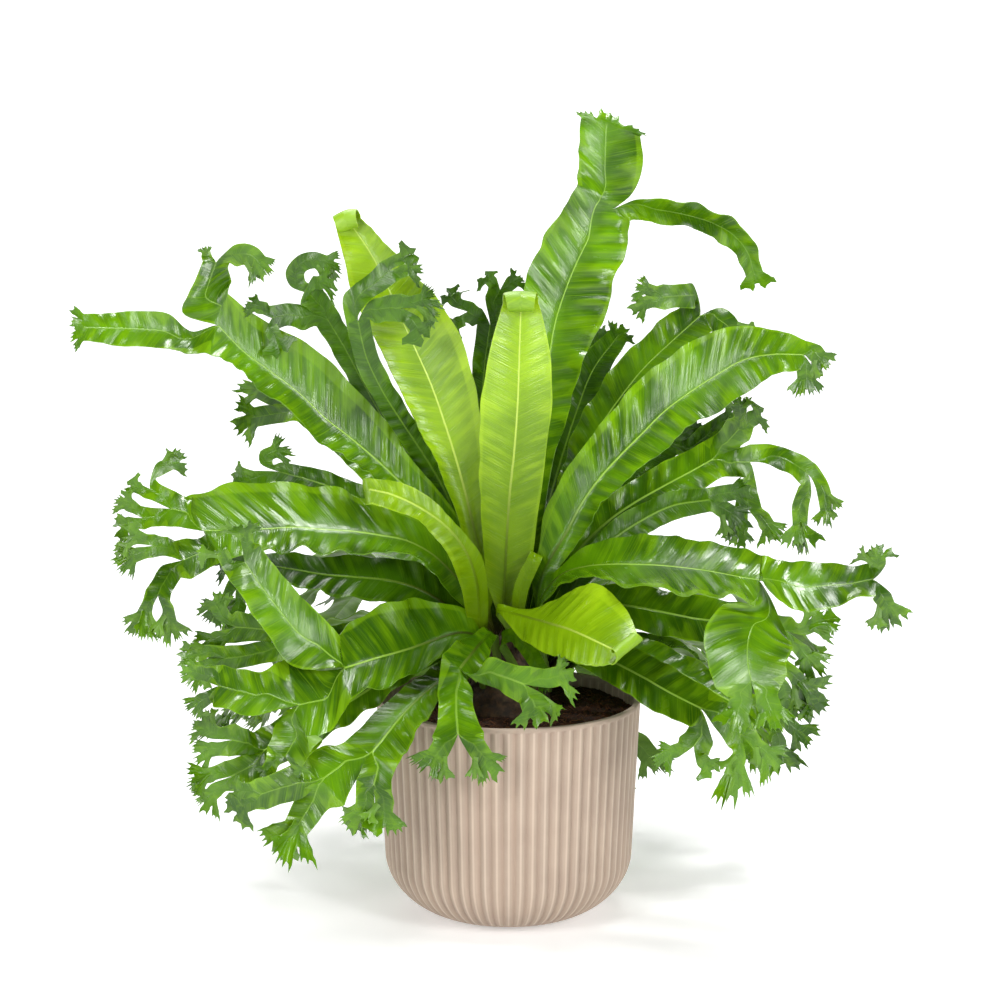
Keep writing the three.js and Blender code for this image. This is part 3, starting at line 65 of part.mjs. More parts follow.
  ["frond_front_young","young",[[[7.9,-12.2,191.0,5.8,-13.1,190.9,3.7,-14.0,190.8],[-7.5,-17.5,218.6,-7.5,-20.2,217.0,-8.5,-22.6,215.3],[-7.0,-22.2,222.8,-6.7,-24.6,219.8,-6.4,-27.0,217.5],[19.4,-34.1,222.2,14.5,-45.6,217.8,6.2,-55.5,208.1],[55.4,-61.3,243.8,40.2,-79.7,217.5,31.0,-93.8,202.4],[67.3,-71.8,241.9,49.5,-91.0,215.7,39.7,-105.4,202.3],[81.8,-91.5,225.1,67.1,-107.3,210.4,57.1,-118.2,200.4],[85.7,-100.8,214.8,74.1,-112.8,208.0,65.9,-120.0,203.0]]]],
  ["frond_right_low","mature",[[[21.3,-8.7,178.5,20.2,-10.7,178.5,19.1,-12.8,178.5],[20.6,-5.7,220.7,22.1,-11.2,220.0,21.5,-16.8,219.6],[25.4,-8.5,234.6,26.3,-13.9,230.7,27.2,-22.0,226.8],[50.9,-18.0,260.9,53.1,-33.5,251.3,53.8,-58.0,249.3],[67.1,-25.2,268.5,68.3,-44.1,254.7,68.6,-73.8,247.9],[118.7,-51.1,273.8,117.0,-75.4,258.4,114.5,-113.2,248.4],[152.2,-69.5,271.0,149.3,-90.0,255.8,145.6,-124.2,249.1],[167.9,-78.8,267.0,164.4,-95.0,253.8,159.6,-124.7,242.6]],[[[167.9,-78.8,267.0,166.2,-86.9,260.4,164.4,-95.0,253.8],[167.2,-87.3,268.2,167.3,-97.7,260.9,166.9,-110.4,256.8],[195.5,-88.7,265.0,193.7,-102.0,250.8,191.6,-118.8,237.6],[236.6,-100.9,264.8,237.7,-108.5,257.0,238.5,-117.6,249.5]],[[[236.6,-100.9,264.8,237.2,-104.7,260.9,237.7,-108.5,257.0],[236.2,-111.2,265.1,240.7,-111.2,265.1,243.9,-111.2,265.1],[236.9,-111.2,271.8,240.6,-111.2,271.8,244.3,-111.2,271.8]],[[[236.9,-111.2,271.8,240.6,-111.2,271.8,244.3,-111.2,271.8],[239.5,-111.2,277.5,240.6,-111.2,277.5,241.7,-111.2,277.5]]]],[[[237.7,-108.5,257.0,238.1,-113.0,253.2,238.5,-117.6,249.5],[245.9,-116.6,249.4,243.0,-116.6,247.6,238.9,-116.6,245.1],[250.3,-116.6,242.9,247.1,-116.6,241.0,243.9,-116.6,239.0]],[[[250.3,-116.6,242.9,247.1,-116.6,241.0,243.9,-116.6,239.0],[251.9,-116.6,234.2,251.0,-116.6,233.6,250.0,-116.6,233.0]]]]],[[[164.4,-95.0,253.8,162.0,-109.9,248.2,159.6,-124.7,242.6],[175.9,-115.5,228.2,161.5,-119.3,234.9,141.2,-124.7,244.3],[182.4,-134.4,215.2,153.7,-141.6,219.5,125.3,-148.8,223.7],[177.5,-146.0,202.8,155.4,-151.7,199.7,133.3,-157.4,196.6]],[[[177.5,-146.0,202.8,166.4,-148.9,201.3,155.4,-151.7,199.7],[171.3,-153.0,191.0,165.0,-153.0,188.8,160.6,-153.0,187.3],[173.3,-154.4,183.2,167.6,-154.4,181.2,161.8,-154.4,179.3]],[[[173.3,-154.4,183.2,167.6,-154.4,181.2,161.8,-154.4,179.3],[173.5,-155.4,176.4,169.5,-155.4,175.0,165.5,-155.4,173.6],[172.2,-155.6,174.2,169.9,-155.6,173.4,167.6,-155.6,172.6]]]],[[[155.4,-151.7,199.7,144.3,-154.5,198.2,133.3,-157.4,196.6],[153.7,-153.0,186.1,149.6,-153.0,187.5,143.8,-153.0,189.5],[152.6,-154.4,178.0,147.1,-154.4,179.9,141.5,-154.4,181.8]],[[[152.6,-154.4,178.0,147.1,-154.4,179.9,141.5,-154.4,181.8],[149.2,-155.3,172.8,145.3,-155.3,174.1,141.4,-155.3,175.4],[147.1,-155.5,171.9,144.9,-155.5,172.6,142.7,-155.5,173.4]]]]]]],
  ["frond_right_under","mature",[[[22.1,-14.3,170.3,20.7,-16.2,170.3,19.3,-18.0,170.3],[24.0,-15.0,196.6,22.8,-18.0,197.0,20.7,-20.5,197.2],[20.0,-16.6,210.8,23.7,-18.6,210.0,26.6,-21.7,209.4],[26.7,-22.0,222.3,27.9,-22.6,217.0,29.1,-23.3,211.6],[50.2,-30.0,234.7,51.2,-34.1,224.8,52.2,-38.3,214.8],[78.2,-35.2,239.5,76.6,-43.6,226.6,75.0,-52.0,213.8],[130.7,-51.1,234.1,128.1,-60.8,220.4,125.4,-70.5,206.9],[155.2,-59.6,231.8,153.5,-68.0,219.9,151.9,-76.4,208.1]],[[[155.2,-59.6,231.8,154.3,-63.8,225.9,153.5,-68.0,219.9],[187.3,-78.4,224.2,184.7,-78.4,216.0,182.2,-78.4,207.8]],[[[187.3,-78.4,224.2,186.0,-78.4,220.1,184.7,-78.4,216.0],[192.7,-79.7,220.7,193.9,-79.7,217.0,194.8,-79.7,214.4],[200.7,-79.7,223.0,201.9,-79.7,219.7,203.0,-79.7,216.4]],[[[200.7,-79.7,223.0,201.9,-79.7,219.7,203.0,-79.7,216.4],[211.9,-79.7,223.0,212.3,-79.7,221.7,212.8,-79.7,220.3]]]],[[[184.7,-78.4,216.0,183.5,-78.4,211.9,182.2,-78.4,207.8],[201.2,-79.7,201.7,198.2,-79.7,199.3,195.3,-79.7,196.8]],[[[201.2,-79.7,201.7,198.2,-79.7,199.3,195.3,-79.7,196.8],[205.5,-79.7,191.5,204.3,-79.7,190.5,203.1,-79.7,189.6]]]]],[[[153.5,-68.0,219.9,152.7,-72.2,214.0,151.9,-76.4,208.1],[173.6,-73.2,204.7,169.4,-73.2,201.9,163.5,-73.2,198.0],[183.3,-81.0,196.8,176.2,-81.0,192.0,169.1,-81.0,187.3]],[[[183.3,-81.0,196.8,179.7,-81.0,194.4,176.2,-81.0,192.0],[198.1,-83.6,183.8,195.5,-83.6,181.0,192.8,-83.6,178.3]],[[[198.1,-83.6,183.8,195.5,-83.6,181.0,192.8,-83.6,178.3],[205.0,-83.6,172.3,203.9,-83.6,171.2,202.9,-83.6,170.1]]]],[[[176.2,-81.0,192.0,172.7,-81.0,189.7,169.1,-81.0,187.3],[185.0,-83.6,181.9,182.1,-83.6,181.0,178.1,-83.6,179.8],[188.6,-83.6,172.5,185.0,-83.6,171.5,181.3,-83.6,170.4]],[[[188.6,-83.6,172.5,185.0,-83.6,171.5,181.3,-83.6,170.4],[189.6,-83.6,159.3,188.2,-83.6,158.9,186.7,-83.6,158.4]]]]]]],
  ["frond_right_lowest","mature",[[[19.0,-20.6,164.3,17.2,-22.1,164.3,15.4,-23.5,164.3],[24.4,-21.0,195.3,24.2,-25.1,194.4,22.6,-29.1,194.0],[29.7,-27.7,203.4,28.2,-28.4,198.1,26.8,-29.1,192.9],[73.9,-58.2,203.9,68.4,-65.5,192.9,63.0,-72.7,182.0],[95.4,-71.2,197.7,87.9,-79.9,185.8,80.5,-88.5,174.1],[133.4,-89.0,178.7,126.7,-97.0,167.9,120.0,-105.0,157.1]],[[[133.4,-89.0,178.7,130.1,-93.0,173.3,126.7,-97.0,167.9],[159.3,-106.0,159.4,152.7,-106.0,152.4,146.0,-106.0,145.5]],[[[159.3,-106.0,159.4,156.0,-106.0,155.9,152.7,-106.0,152.4],[171.9,-109.0,143.7,169.8,-109.0,141.0,167.7,-109.0,138.2]],[[[171.9,-109.0,143.7,169.8,-109.0,141.0,167.7,-109.0,138.2],[178.3,-109.0,134.7,177.5,-109.0,133.6,176.7,-109.0,132.6]]]],[[[152.7,-106.0,152.4,149.4,-106.0,149.0,146.0,-106.0,145.5],[155.2,-109.0,140.5,152.6,-109.0,141.0,148.9,-109.0,141.6],[154.7,-109.0,132.2,151.4,-109.0,132.8,148.1,-109.0,133.4]],[[[154.7,-109.0,132.2,151.4,-109.0,132.8,148.1,-109.0,133.4],[150.1,-109.0,117.2,149.1,-109.0,117.3,148.1,-109.0,117.5]]]]],[[[126.7,-97.0,167.9,123.4,-101.0,162.5,120.0,-105.0,157.1],[132.9,-103.0,148.2,127.8,-103.0,151.7,120.5,-103.0,156.6],[130.4,-106.0,138.8,122.4,-106.0,144.3,114.4,-106.0,149.7]],[[[130.4,-106.0,138.8,126.4,-106.0,141.6,122.4,-106.0,144.3],[128.9,-109.0,139.6,126.2,-109.0,136.9,124.4,-109.0,135.0],[132.6,-109.0,135.3,130.2,-109.0,132.8,127.9,-109.0,130.3]],[[[132.6,-109.0,135.3,130.2,-109.0,132.8,127.9,-109.0,130.3],[134.3,-109.0,129.6,133.6,-109.0,128.8,132.9,-109.0,128.1]]]],[[[122.4,-106.0,144.3,118.4,-106.0,147.0,114.4,-106.0,149.7],[108.6,-109.0,137.6,107.7,-109.0,141.0,106.8,-109.0,144.3]],[[[108.6,-109.0,137.6,107.7,-109.0,141.0,106.8,-109.0,144.3],[99.8,-109.0,136.3,99.5,-109.0,137.6,99.2,-109.0,139.0]]]]]]],
  ["frond_right_side","mature",[[[28.7,-7.5,158.2,28.0,-9.6,158.3,27.2,-11.8,158.3],[27.0,-6.0,179.3,25.8,-8.9,179.6,23.8,-11.2,179.6],[22.4,-3.7,189.6,24.2,-7.1,189.9,24.7,-10.9,190.3],[27.5,-6.5,199.4,27.5,-7.1,194.6,27.4,-7.6,189.8],[55.3,-9.8,203.9,54.2,-13.0,196.1,53.1,-16.2,188.4],[85.0,-13.3,200.5,81.0,-19.7,191.4,77.2,-26.1,182.2],[160.5,-35.7,165.3,154.4,-42.4,157.3,148.4,-49.1,149.4]],[[[160.5,-35.7,165.3,157.5,-39.0,161.3,154.4,-42.4,157.3],[182.8,-52.8,155.9,178.8,-52.8,150.1,174.9,-52.8,144.3]],[[[182.8,-52.8,155.9,180.8,-52.8,153.0,178.8,-52.8,150.1],[197.1,-55.4,145.2,195.0,-55.4,142.4,192.9,-55.4,139.6]],[[[197.1,-55.4,145.2,195.0,-55.4,142.4,192.9,-55.4,139.6],[203.5,-55.4,136.2,202.7,-55.4,135.1,201.9,-55.4,133.9]]]],[[[178.8,-52.8,150.1,176.9,-52.8,147.2,174.9,-52.8,144.3],[185.5,-55.4,138.7,182.8,-55.4,138.2,179.0,-55.4,137.5],[187.8,-55.4,130.4,184.3,-55.4,129.8,180.9,-55.4,129.2]],[[[187.8,-55.4,130.4,184.3,-55.4,129.8,180.9,-55.4,129.2],[186.9,-55.4,119.7,185.9,-55.4,119.5,184.9,-55.4,119.3]]]]],[[[154.4,-42.4,157.3,151.4,-45.8,153.4,148.4,-49.1,149.4],[167.1,-50.2,145.0,162.8,-50.2,143.9,156.7,-50.2,142.3],[171.0,-52.8,134.8,165.5,-52.8,133.3,159.9,-52.8,131.9]],[[[171.0,-52.8,134.8,165.5,-52.8,133.3,159.9,-52.8,131.9],[171.8,-55.2,123.5,168.0,-55.2,122.5,164.1,-55.2,121.5],[170.7,-55.7,120.4,168.5,-55.7,119.8,166.3,-55.7,119.2]]]]]],
  ["frond_back_mid_right","mature",[[[16.8,19.7,170.6,18.9,18.2,170.3,20.3,16.1,170.6],[19.5,34.9,192.5,28.6,28.1,191.1,35.3,18.8,192.5],[40.6,68.4,224.2,56.1,56.0,220.8,68.8,40.8,224.2],[54.9,87.5,233.2,72.3,72.8,228.9,87.6,56.0,233.2],[70.9,107.1,236.9,89.2,90.6,232.0,106.7,73.1,236.9],[88.1,125.9,234.9,106.2,108.6,229.9,124.7,91.8,234.9],[119.0,162.6,216.1,137.5,142.7,211.2,159.3,126.4,216.1]],[[[119.0,162.6,216.1,128.3,152.7,213.7,137.5,142.7,211.2],[134.9,196.7,186.4,144.8,191.4,184.0,151.7,187.7,182.3],[136.1,210.0,175.7,148.0,203.7,172.3,159.8,197.4,168.9]],[[[136.1,210.0,175.7,142.0,206.8,174.0,148.0,203.7,172.3],[134.4,213.9,174.4,140.0,213.6,170.1,143.9,213.5,167.2],[129.5,227.9,164.9,135.5,226.6,160.7,141.4,225.2,156.5]],[[[129.5,227.9,164.9,135.5,226.6,160.7,141.4,225.2,156.5],[129.0,234.2,157.2,133.2,233.2,154.2,137.3,232.3,151.3],[130.3,235.3,154.1,132.7,234.7,152.4,135.0,234.2,150.8]]]],[[[148.0,203.7,172.3,153.9,200.5,170.6,159.8,197.4,168.9],[155.2,206.7,163.5,158.3,203.1,164.5,162.8,197.8,166.1],[161.8,212.1,149.4,167.0,207.1,151.0,172.1,202.1,152.7]],[[[161.8,212.1,149.4,167.0,207.1,151.0,172.1,202.1,152.7],[169.0,213.2,139.2,172.6,209.7,140.4,176.2,206.2,141.5],[171.8,212.3,136.9,173.8,210.3,137.6,175.9,208.3,138.2]]]]],[[[137.5,142.7,211.2,148.4,134.6,213.7,159.3,126.4,216.1],[180.8,161.5,182.3,185.2,155.0,184.0,191.5,145.8,186.4],[189.5,170.6,168.9,197.0,159.5,172.3,204.5,148.3,175.7]],[[[189.5,170.6,168.9,193.3,165.0,170.6,197.0,159.5,172.3],[194.2,182.8,152.2,199.6,178.0,150.8,205.1,173.2,149.5]],[[[194.2,182.8,152.2,199.6,178.0,150.8,205.1,173.2,149.5],[197.3,184.8,145.1,201.2,181.4,144.2,205.0,178.1,143.2],[199.3,184.1,143.0,201.5,182.2,142.5,203.7,180.3,141.9]]]],[[[197.0,159.5,172.3,200.8,153.9,174.0,204.5,148.3,175.7],[216.5,156.9,154.4,219.1,151.0,157.9,221.6,145.1,161.4]],[[[216.5,156.9,154.4,219.1,151.0,157.9,221.6,145.1,161.4],[223.6,154.0,147.9,225.4,149.9,150.4,227.2,145.8,152.9],[225.8,152.0,146.9,226.8,149.6,148.4,227.8,147.3,149.8]]]]]]],
  ["frond_back_low_right","mature",[[[22.4,18.1,160.5,24.2,16.3,160.3,25.2,14.0,160.5],[26.2,30.8,175.2,33.6,22.6,173.7,38.2,12.7,175.2],[47.6,54.2,194.6,59.1,39.0,191.1,68.0,22.2,194.6],[76.3,77.5,199.4,88.7,57.3,194.6,101.1,37.1,199.4],[92.0,87.3,195.6,103.5,66.2,190.9,116.7,46.1,195.6],[119.4,105.6,177.5,129.7,81.5,173.3,145.4,60.5,177.5]],[[[119.4,105.6,177.5,124.6,93.5,175.4,129.7,81.5,173.3],[124.8,109.8,168.2,131.9,101.0,166.7,136.9,94.8,165.6],[139.2,133.8,140.5,147.8,124.2,137.0,156.3,114.6,133.6]],[[[139.2,133.8,140.5,143.5,129.0,138.8,147.8,124.2,137.0],[136.9,147.2,130.8,141.6,143.9,126.5,146.3,140.5,122.3]],[[[136.9,147.2,130.8,141.6,143.9,126.5,146.3,140.5,122.3],[138.6,152.7,119.5,140.5,151.4,117.8,142.4,150.1,116.1]]]],[[[147.8,124.2,137.0,152.0,119.4,135.3,156.3,114.6,133.6],[157.1,129.3,117.7,160.8,123.2,118.4,164.5,117.1,119.1]],[[[157.1,129.3,117.7,160.8,123.2,118.4,164.5,117.1,119.1],[161.6,128.7,109.9,164.2,124.4,110.4,166.8,120.1,110.9],[163.4,127.1,108.1,164.9,124.7,108.3,166.4,122.2,108.6]]]]],[[[129.7,81.5,173.3,137.6,71.0,175.4,145.4,60.5,177.5],[144.8,81.0,165.6,147.7,73.6,166.7,151.8,63.0,168.2],[171.7,87.9,133.6,175.8,75.7,137.0,179.8,63.5,140.5]],[[[171.7,87.9,133.6,173.8,81.8,135.3,175.8,75.7,137.0],[177.5,94.3,119.4,181.0,88.1,118.5,184.5,82.0,117.5]],[[[177.5,94.3,119.4,181.0,88.1,118.5,184.5,82.0,117.5],[181.4,95.2,110.3,183.9,90.9,109.7,186.3,86.6,109.0],[183.1,94.0,107.8,184.5,91.5,107.4,185.9,89.0,107.1]]]],[[[175.8,75.7,137.0,177.8,69.6,138.8,179.8,63.5,140.5],[189.2,65.7,122.5,189.7,60.0,126.9,190.1,54.4,131.3]],[[[189.2,65.7,122.5,189.7,60.0,126.9,190.1,54.4,131.3],[193.3,60.7,118.5,193.6,56.8,121.5,193.9,52.8,124.6],[194.3,58.3,118.3,194.4,56.0,120.1,194.6,53.8,121.8]]]]]]],
  ["frond_back_low_far_right","dark",[[[7.6,28.3,158.5,10.1,27.8,158.3,12.3,26.6,158.5],[4.2,44.8,173.6,15.0,42.7,172.1,24.7,37.7,173.6],[5.8,63.7,184.6,20.7,60.3,182.0,34.8,54.0,184.6],[8.6,84.7,190.7,27.0,79.8,187.0,44.7,73.1,190.7],[12.3,106.3,191.3,33.2,99.8,186.9,54.0,93.5,191.3],[16.5,127.1,185.9,38.9,119.2,181.3,62.0,113.8,185.9],[24.2,160.2,159.1,47.5,150.2,155.6,72.7,147.4,159.1],[25.8,170.5,139.8,49.9,159.7,137.3,76.3,157.9,139.8]],[[[25.8,170.5,139.8,37.9,165.1,138.6,49.9,159.7,137.3],[25.2,174.3,126.0,36.4,172.5,124.0,44.2,171.3,122.5],[14.3,194.0,83.6,27.0,192.2,79.7,39.6,190.4,75.9]],[[[14.3,194.0,83.6,20.7,193.1,81.6,27.0,192.2,79.7],[10.9,194.7,81.8,15.4,195.2,76.7,18.5,195.5,73.1],[-0.5,199.1,70.1,4.9,199.0,65.5,10.3,198.9,60.8]],[[[-0.5,199.1,70.1,4.9,199.0,65.5,10.3,198.9,60.8],[-3.8,200.9,62.1,0.0,200.8,58.8,3.8,200.7,55.5],[-3.3,201.2,58.9,-1.1,201.2,57.0,1.1,201.2,55.2]]]],[[[27.0,192.2,79.7,33.3,191.3,77.8,39.6,190.4,75.9],[30.6,194.4,69.5,35.1,193.0,70.6,41.4,191.0,72.2],[32.3,197.7,54.2,39.1,195.9,55.6,45.9,194.1,57.0]],[[[32.3,197.7,54.2,39.1,195.9,55.6,45.9,194.1,57.0],[36.9,199.0,43.1,41.7,197.7,44.0,46.5,196.5,45.0],[39.6,198.8,40.6,42.3,198.1,41.1,45.0,197.4,41.7]]]]],[[[49.9,159.7,137.3,63.1,158.8,138.6,76.3,157.9,139.8],[60.5,167.2,122.5,67.9,164.7,124.0,78.6,161.0,126.0],[73.5,181.9,75.9,85.5,177.6,79.7,97.5,173.2,83.6]],[[[73.5,181.9,75.9,79.5,179.7,77.8,85.5,177.6,79.7],[72.2,183.4,72.1,78.7,182.1,70.6,83.3,181.2,69.5],[69.8,188.2,56.9,76.6,186.5,55.6,83.5,184.9,54.2]],[[[69.8,188.2,56.9,76.6,186.5,55.6,83.5,184.9,54.2],[70.6,190.3,45.7,75.4,189.2,44.8,80.1,188.0,43.8],[72.3,190.4,42.6,75.1,189.8,42.1,77.8,189.1,41.5]]]],[[[85.5,177.6,79.7,91.5,175.4,81.6,97.5,173.2,83.6],[102.5,178.0,60.3,107.6,175.5,64.7,112.7,173.0,69.0]],[[[102.5,178.0,60.3,107.6,175.5,64.7,112.7,173.0,69.0],[109.7,177.2,53.8,113.3,175.5,56.8,116.9,173.7,59.9],[112.5,176.5,53.0,114.6,175.5,54.8,116.6,174.5,56.5]]]]]]],
  ["frond_back_mid_far_right","mature",[[[8.4,25.1,168.5,10.9,24.5,168.3,13.0,23.1,168.5],[6.3,42.5,189.7,18.1,39.4,188.2,28.3,32.8,189.7],[15.2,85.6,220.8,35.5,79.1,217.0,54.3,68.8,220.8],[22.2,110.6,228.9,45.3,102.3,224.2,67.3,91.5,228.9],[30.5,136.4,231.5,55.2,126.4,226.2,79.7,115.8,231.5],[40.3,161.4,228.0,64.9,150.3,222.7,90.2,140.8,228.0],[48.6,185.5,219.0,73.9,172.9,213.8,100.8,164.1,219.0],[55.9,207.0,204.6,81.8,193.0,199.8,110.2,185.1,204.6]],[[[55.9,207.0,204.6,68.9,200.0,202.2,81.8,193.0,199.8],[58.1,217.3,192.4,70.6,214.5,190.7,79.4,212.5,189.6],[58.2,243.4,168.0,70.1,241.3,165.3,81.9,239.2,162.5],[54.2,256.1,155.3,68.5,253.6,151.5,82.7,251.1,147.6]],[[[54.2,256.1,155.3,61.4,254.8,153.4,68.5,253.6,151.5],[42.0,269.7,140.0,48.5,269.8,135.9,55.1,269.9,131.7]],[[[42.0,269.7,140.0,48.5,269.8,135.9,55.1,269.9,131.7],[40.0,274.1,131.7,44.6,274.2,128.8,49.2,274.3,125.9],[41.1,275.1,128.6,43.7,275.2,126.9,46.4,275.2,125.3]]]],[[[68.5,253.6,151.5,75.6,252.4,149.6,82.7,251.1,147.6],[73.9,258.6,141.5,78.5,256.3,142.5,85.0,253.0,143.8],[77.5,265.9,125.7,84.5,262.9,127.1,91.5,260.0,128.5]],[[[77.5,265.9,125.7,84.5,262.9,127.1,91.5,260.0,128.5],[82.3,268.0,117.9,87.2,265.9,118.9,92.1,263.8,119.8],[84.9,267.7,116.2,87.8,266.6,116.7,90.6,265.4,117.3]]]]],[[[81.8,193.0,199.8,96.0,189.0,202.2,110.2,185.1,204.6],[96.9,205.1,189.4,104.6,200.4,190.5,115.6,193.8,192.2],[121.0,234.5,146.9,133.0,226.4,150.7,144.9,218.3,154.6]],[[[121.0,234.5,146.9,127.0,230.4,148.8,133.0,226.4,150.7],[120.2,237.5,143.9,127.2,235.7,142.1,132.0,234.5,140.8],[119.6,248.2,129.3,126.7,245.6,127.5,133.7,243.1,125.6]],[[[119.6,248.2,129.3,126.7,245.6,127.5,133.7,243.1,125.6],[121.5,251.7,121.0,126.4,249.9,119.7,131.4,248.2,118.4],[123.6,251.9,118.4,126.4,250.9,117.7,129.2,249.9,116.9]]]],[[[133.0,226.4,150.7,139.0,222.3,152.7,144.9,218.3,154.6],[154.8,229.4,131.9,159.4,224.7,136.2,163.9,220.1,140.4]],[[[154.8,229.4,131.9,159.4,224.7,136.2,163.9,220.1,140.4],[164.7,227.4,126.3,166.5,225.5,128.0,168.3,223.7,129.7]]]]]]],
  ["frond_back_low","mature",[[[-1.5,28.8,160.5,1.0,29.1,160.3,3.5,28.6,160.5],[-10.1,43.6,179.2,1.6,44.8,177.5,13.2,42.8,179.2],[-14.1,63.6,192.2,2.4,64.6,189.3,18.8,62.4,192.2],[-17.3,86.6,199.1,3.2,86.9,195.1,23.7,85.2,199.1],[-19.6,110.9,199.2,4.0,110.0,194.5,27.6,109.3,199.2],[-20.9,134.5,192.7,4.7,132.2,187.8,30.4,132.7,192.7],[-21.1,172.6,162.0,5.9,167.7,158.3,33.2,170.7,162.0],[-21.8,184.6,140.3,6.2,178.6,137.6,34.6,182.6,140.3]],[[[-21.8,184.6,140.3,-7.8,181.6,138.9,6.2,178.6,137.6],[-23.2,188.5,125.3,-11.0,189.2,123.1,-2.5,189.6,121.5],[-39.2,206.9,79.2,-25.4,207.9,75.1,-11.7,208.8,70.9]],[[[-39.2,206.9,79.2,-32.3,207.4,77.1,-25.4,207.9,75.1],[-53.8,211.8,61.7,-47.6,212.7,57.5,-41.4,213.7,53.3]],[[[-53.8,211.8,61.7,-47.6,212.7,57.5,-41.4,213.7,53.3],[-57.5,213.9,51.4,-53.1,214.5,48.5,-48.7,215.2,45.6],[-56.8,214.6,47.8,-54.3,214.9,46.2,-51.8,215.3,44.5]]]],[[[-25.4,207.9,75.1,-18.6,208.3,73.0,-11.7,208.8,70.9],[-21.9,214.9,47.5,-14.5,214.6,48.7,-7.0,214.4,49.9]],[[[-21.9,214.9,47.5,-14.5,214.6,48.7,-7.0,214.4,49.9],[-18.3,216.8,38.5,-13.1,216.6,39.3,-7.9,216.4,40.2],[-15.7,217.1,36.5,-12.8,217.0,37.0,-9.8,216.9,37.5]]]]],[[[6.2,178.6,137.6,20.4,180.6,138.9,34.6,182.6,140.3],[15.7,189.0,121.5,24.2,187.9,123.1,36.3,186.5,125.3],[26.2,207.5,70.9,39.9,205.6,75.1,53.5,203.7,79.2]],[[[26.2,207.5,70.9,33.1,206.5,73.0,39.9,205.6,75.1],[24.9,208.8,66.5,32.0,208.9,65.1,36.9,209.0,64.1],[21.7,213.3,50.0,29.2,213.1,48.8,36.6,212.9,47.5]],[[[21.7,213.3,50.0,29.2,213.1,48.8,36.6,212.9,47.5],[22.3,215.8,38.0,27.5,215.6,37.2,32.7,215.5,36.3],[24.1,216.2,34.7,27.1,216.2,34.2,30.1,216.1,33.7]]]],[[[39.9,205.6,75.1,46.7,204.6,77.1,53.5,203.7,79.2],[55.1,210.5,52.9,61.5,209.1,56.9,67.8,207.8,60.8]],[[[55.1,210.5,52.9,61.5,209.1,56.9,67.8,207.8,60.8],[62.5,211.7,44.6,67.0,210.7,47.3,71.4,209.8,50.1],[65.7,211.6,43.3,68.2,211.1,44.8,70.7,210.5,46.4]]]]]]],
  ["frond_back_mid","mature",[[[-1.7,24.3,174.6,0.9,24.7,174.5,3.3,24.1,174.6],[-10.8,34.9,199.5,1.4,36.6,198.4,13.3,33.9,199.5],[-18.1,72.8,239.1,3.3,74.3,235.8,24.4,70.5,239.1],[-19.8,97.6,251.9,4.8,98.2,247.5,29.1,94.6,251.9],[-20.2,124.7,258.9,6.5,124.2,253.8,33.0,121.1,258.9],[-18.4,152.7,259.6,8.5,150.8,254.2,35.4,148.7,259.6],[-17.4,180.3,254.4,10.6,176.9,248.9,38.8,175.7,254.4],[-16.2,206.1,243.4,12.7,201.2,238.0,42.1,201.0,243.4]],[[[-16.2,206.1,243.4,-1.7,203.7,240.7,12.7,201.2,238.0],[-16.9,217.9,233.4,-4.1,219.1,232.1,4.9,219.9,231.1],[-24.1,244.9,213.8,-12.2,246.8,211.3,-0.3,248.8,208.8],[-31.5,256.8,203.1,-17.2,259.2,199.5,-2.9,261.6,195.9]],[[[-31.5,256.8,203.1,-24.4,258.0,201.3,-17.2,259.2,199.5],[-46.5,267.1,189.3,-40.3,269.6,185.4,-34.1,272.1,181.5]],[[[-46.5,267.1,189.3,-40.3,269.6,185.4,-34.1,272.1,181.5],[-50.4,272.0,180.3,-46.1,273.7,177.6,-41.8,275.4,174.8],[-49.9,273.6,177.0,-47.4,274.6,175.4,-44.9,275.6,173.9]]]],[[[-17.2,259.2,199.5,-10.1,260.4,197.7,-2.9,261.6,195.9],[-13.5,266.5,190.6,-8.4,265.5,191.5,-1.3,264.2,192.8],[-12.2,275.5,176.1,-4.6,274.7,177.6,2.9,273.9,179.0]],[[[-12.2,275.5,176.1,-4.6,274.7,177.6,2.9,273.9,179.0],[-8.1,279.7,168.4,-2.8,279.1,169.5,2.5,278.6,170.5],[-5.4,280.4,166.8,-2.4,280.1,167.3,0.7,279.8,167.9]]]]],[[[12.7,201.2,238.0,27.4,201.1,240.7,42.1,201.0,243.4],[23.7,218.3,231.1,32.4,215.9,232.1,44.8,212.5,233.4],[38.6,258.0,195.9,52.3,253.1,199.5,66.0,248.3,203.1]],[[[38.6,258.0,195.9,45.5,255.5,197.7,52.3,253.1,199.5],[37.7,271.5,178.1,45.3,270.6,177.3,53.0,269.7,176.5]],[[[37.7,271.5,178.1,45.3,270.6,177.3,53.0,269.7,176.5],[39.7,276.7,168.4,45.1,276.0,167.8,50.4,275.4,167.2],[42.0,277.6,165.7,45.0,277.2,165.3,48.1,276.9,165.0]]]],[[[52.3,253.1,199.5,59.1,250.7,201.3,66.0,248.3,203.1],[71.7,262.6,181.7,77.3,259.0,185.7,82.8,255.4,189.7]],[[[71.7,262.6,181.7,77.3,259.0,185.7,82.8,255.4,189.7],[80.2,264.5,174.9,84.1,262.0,177.7,88.0,259.5,180.6],[83.4,264.1,174.0,85.6,262.6,175.6,87.8,261.2,177.2]]]]]]],
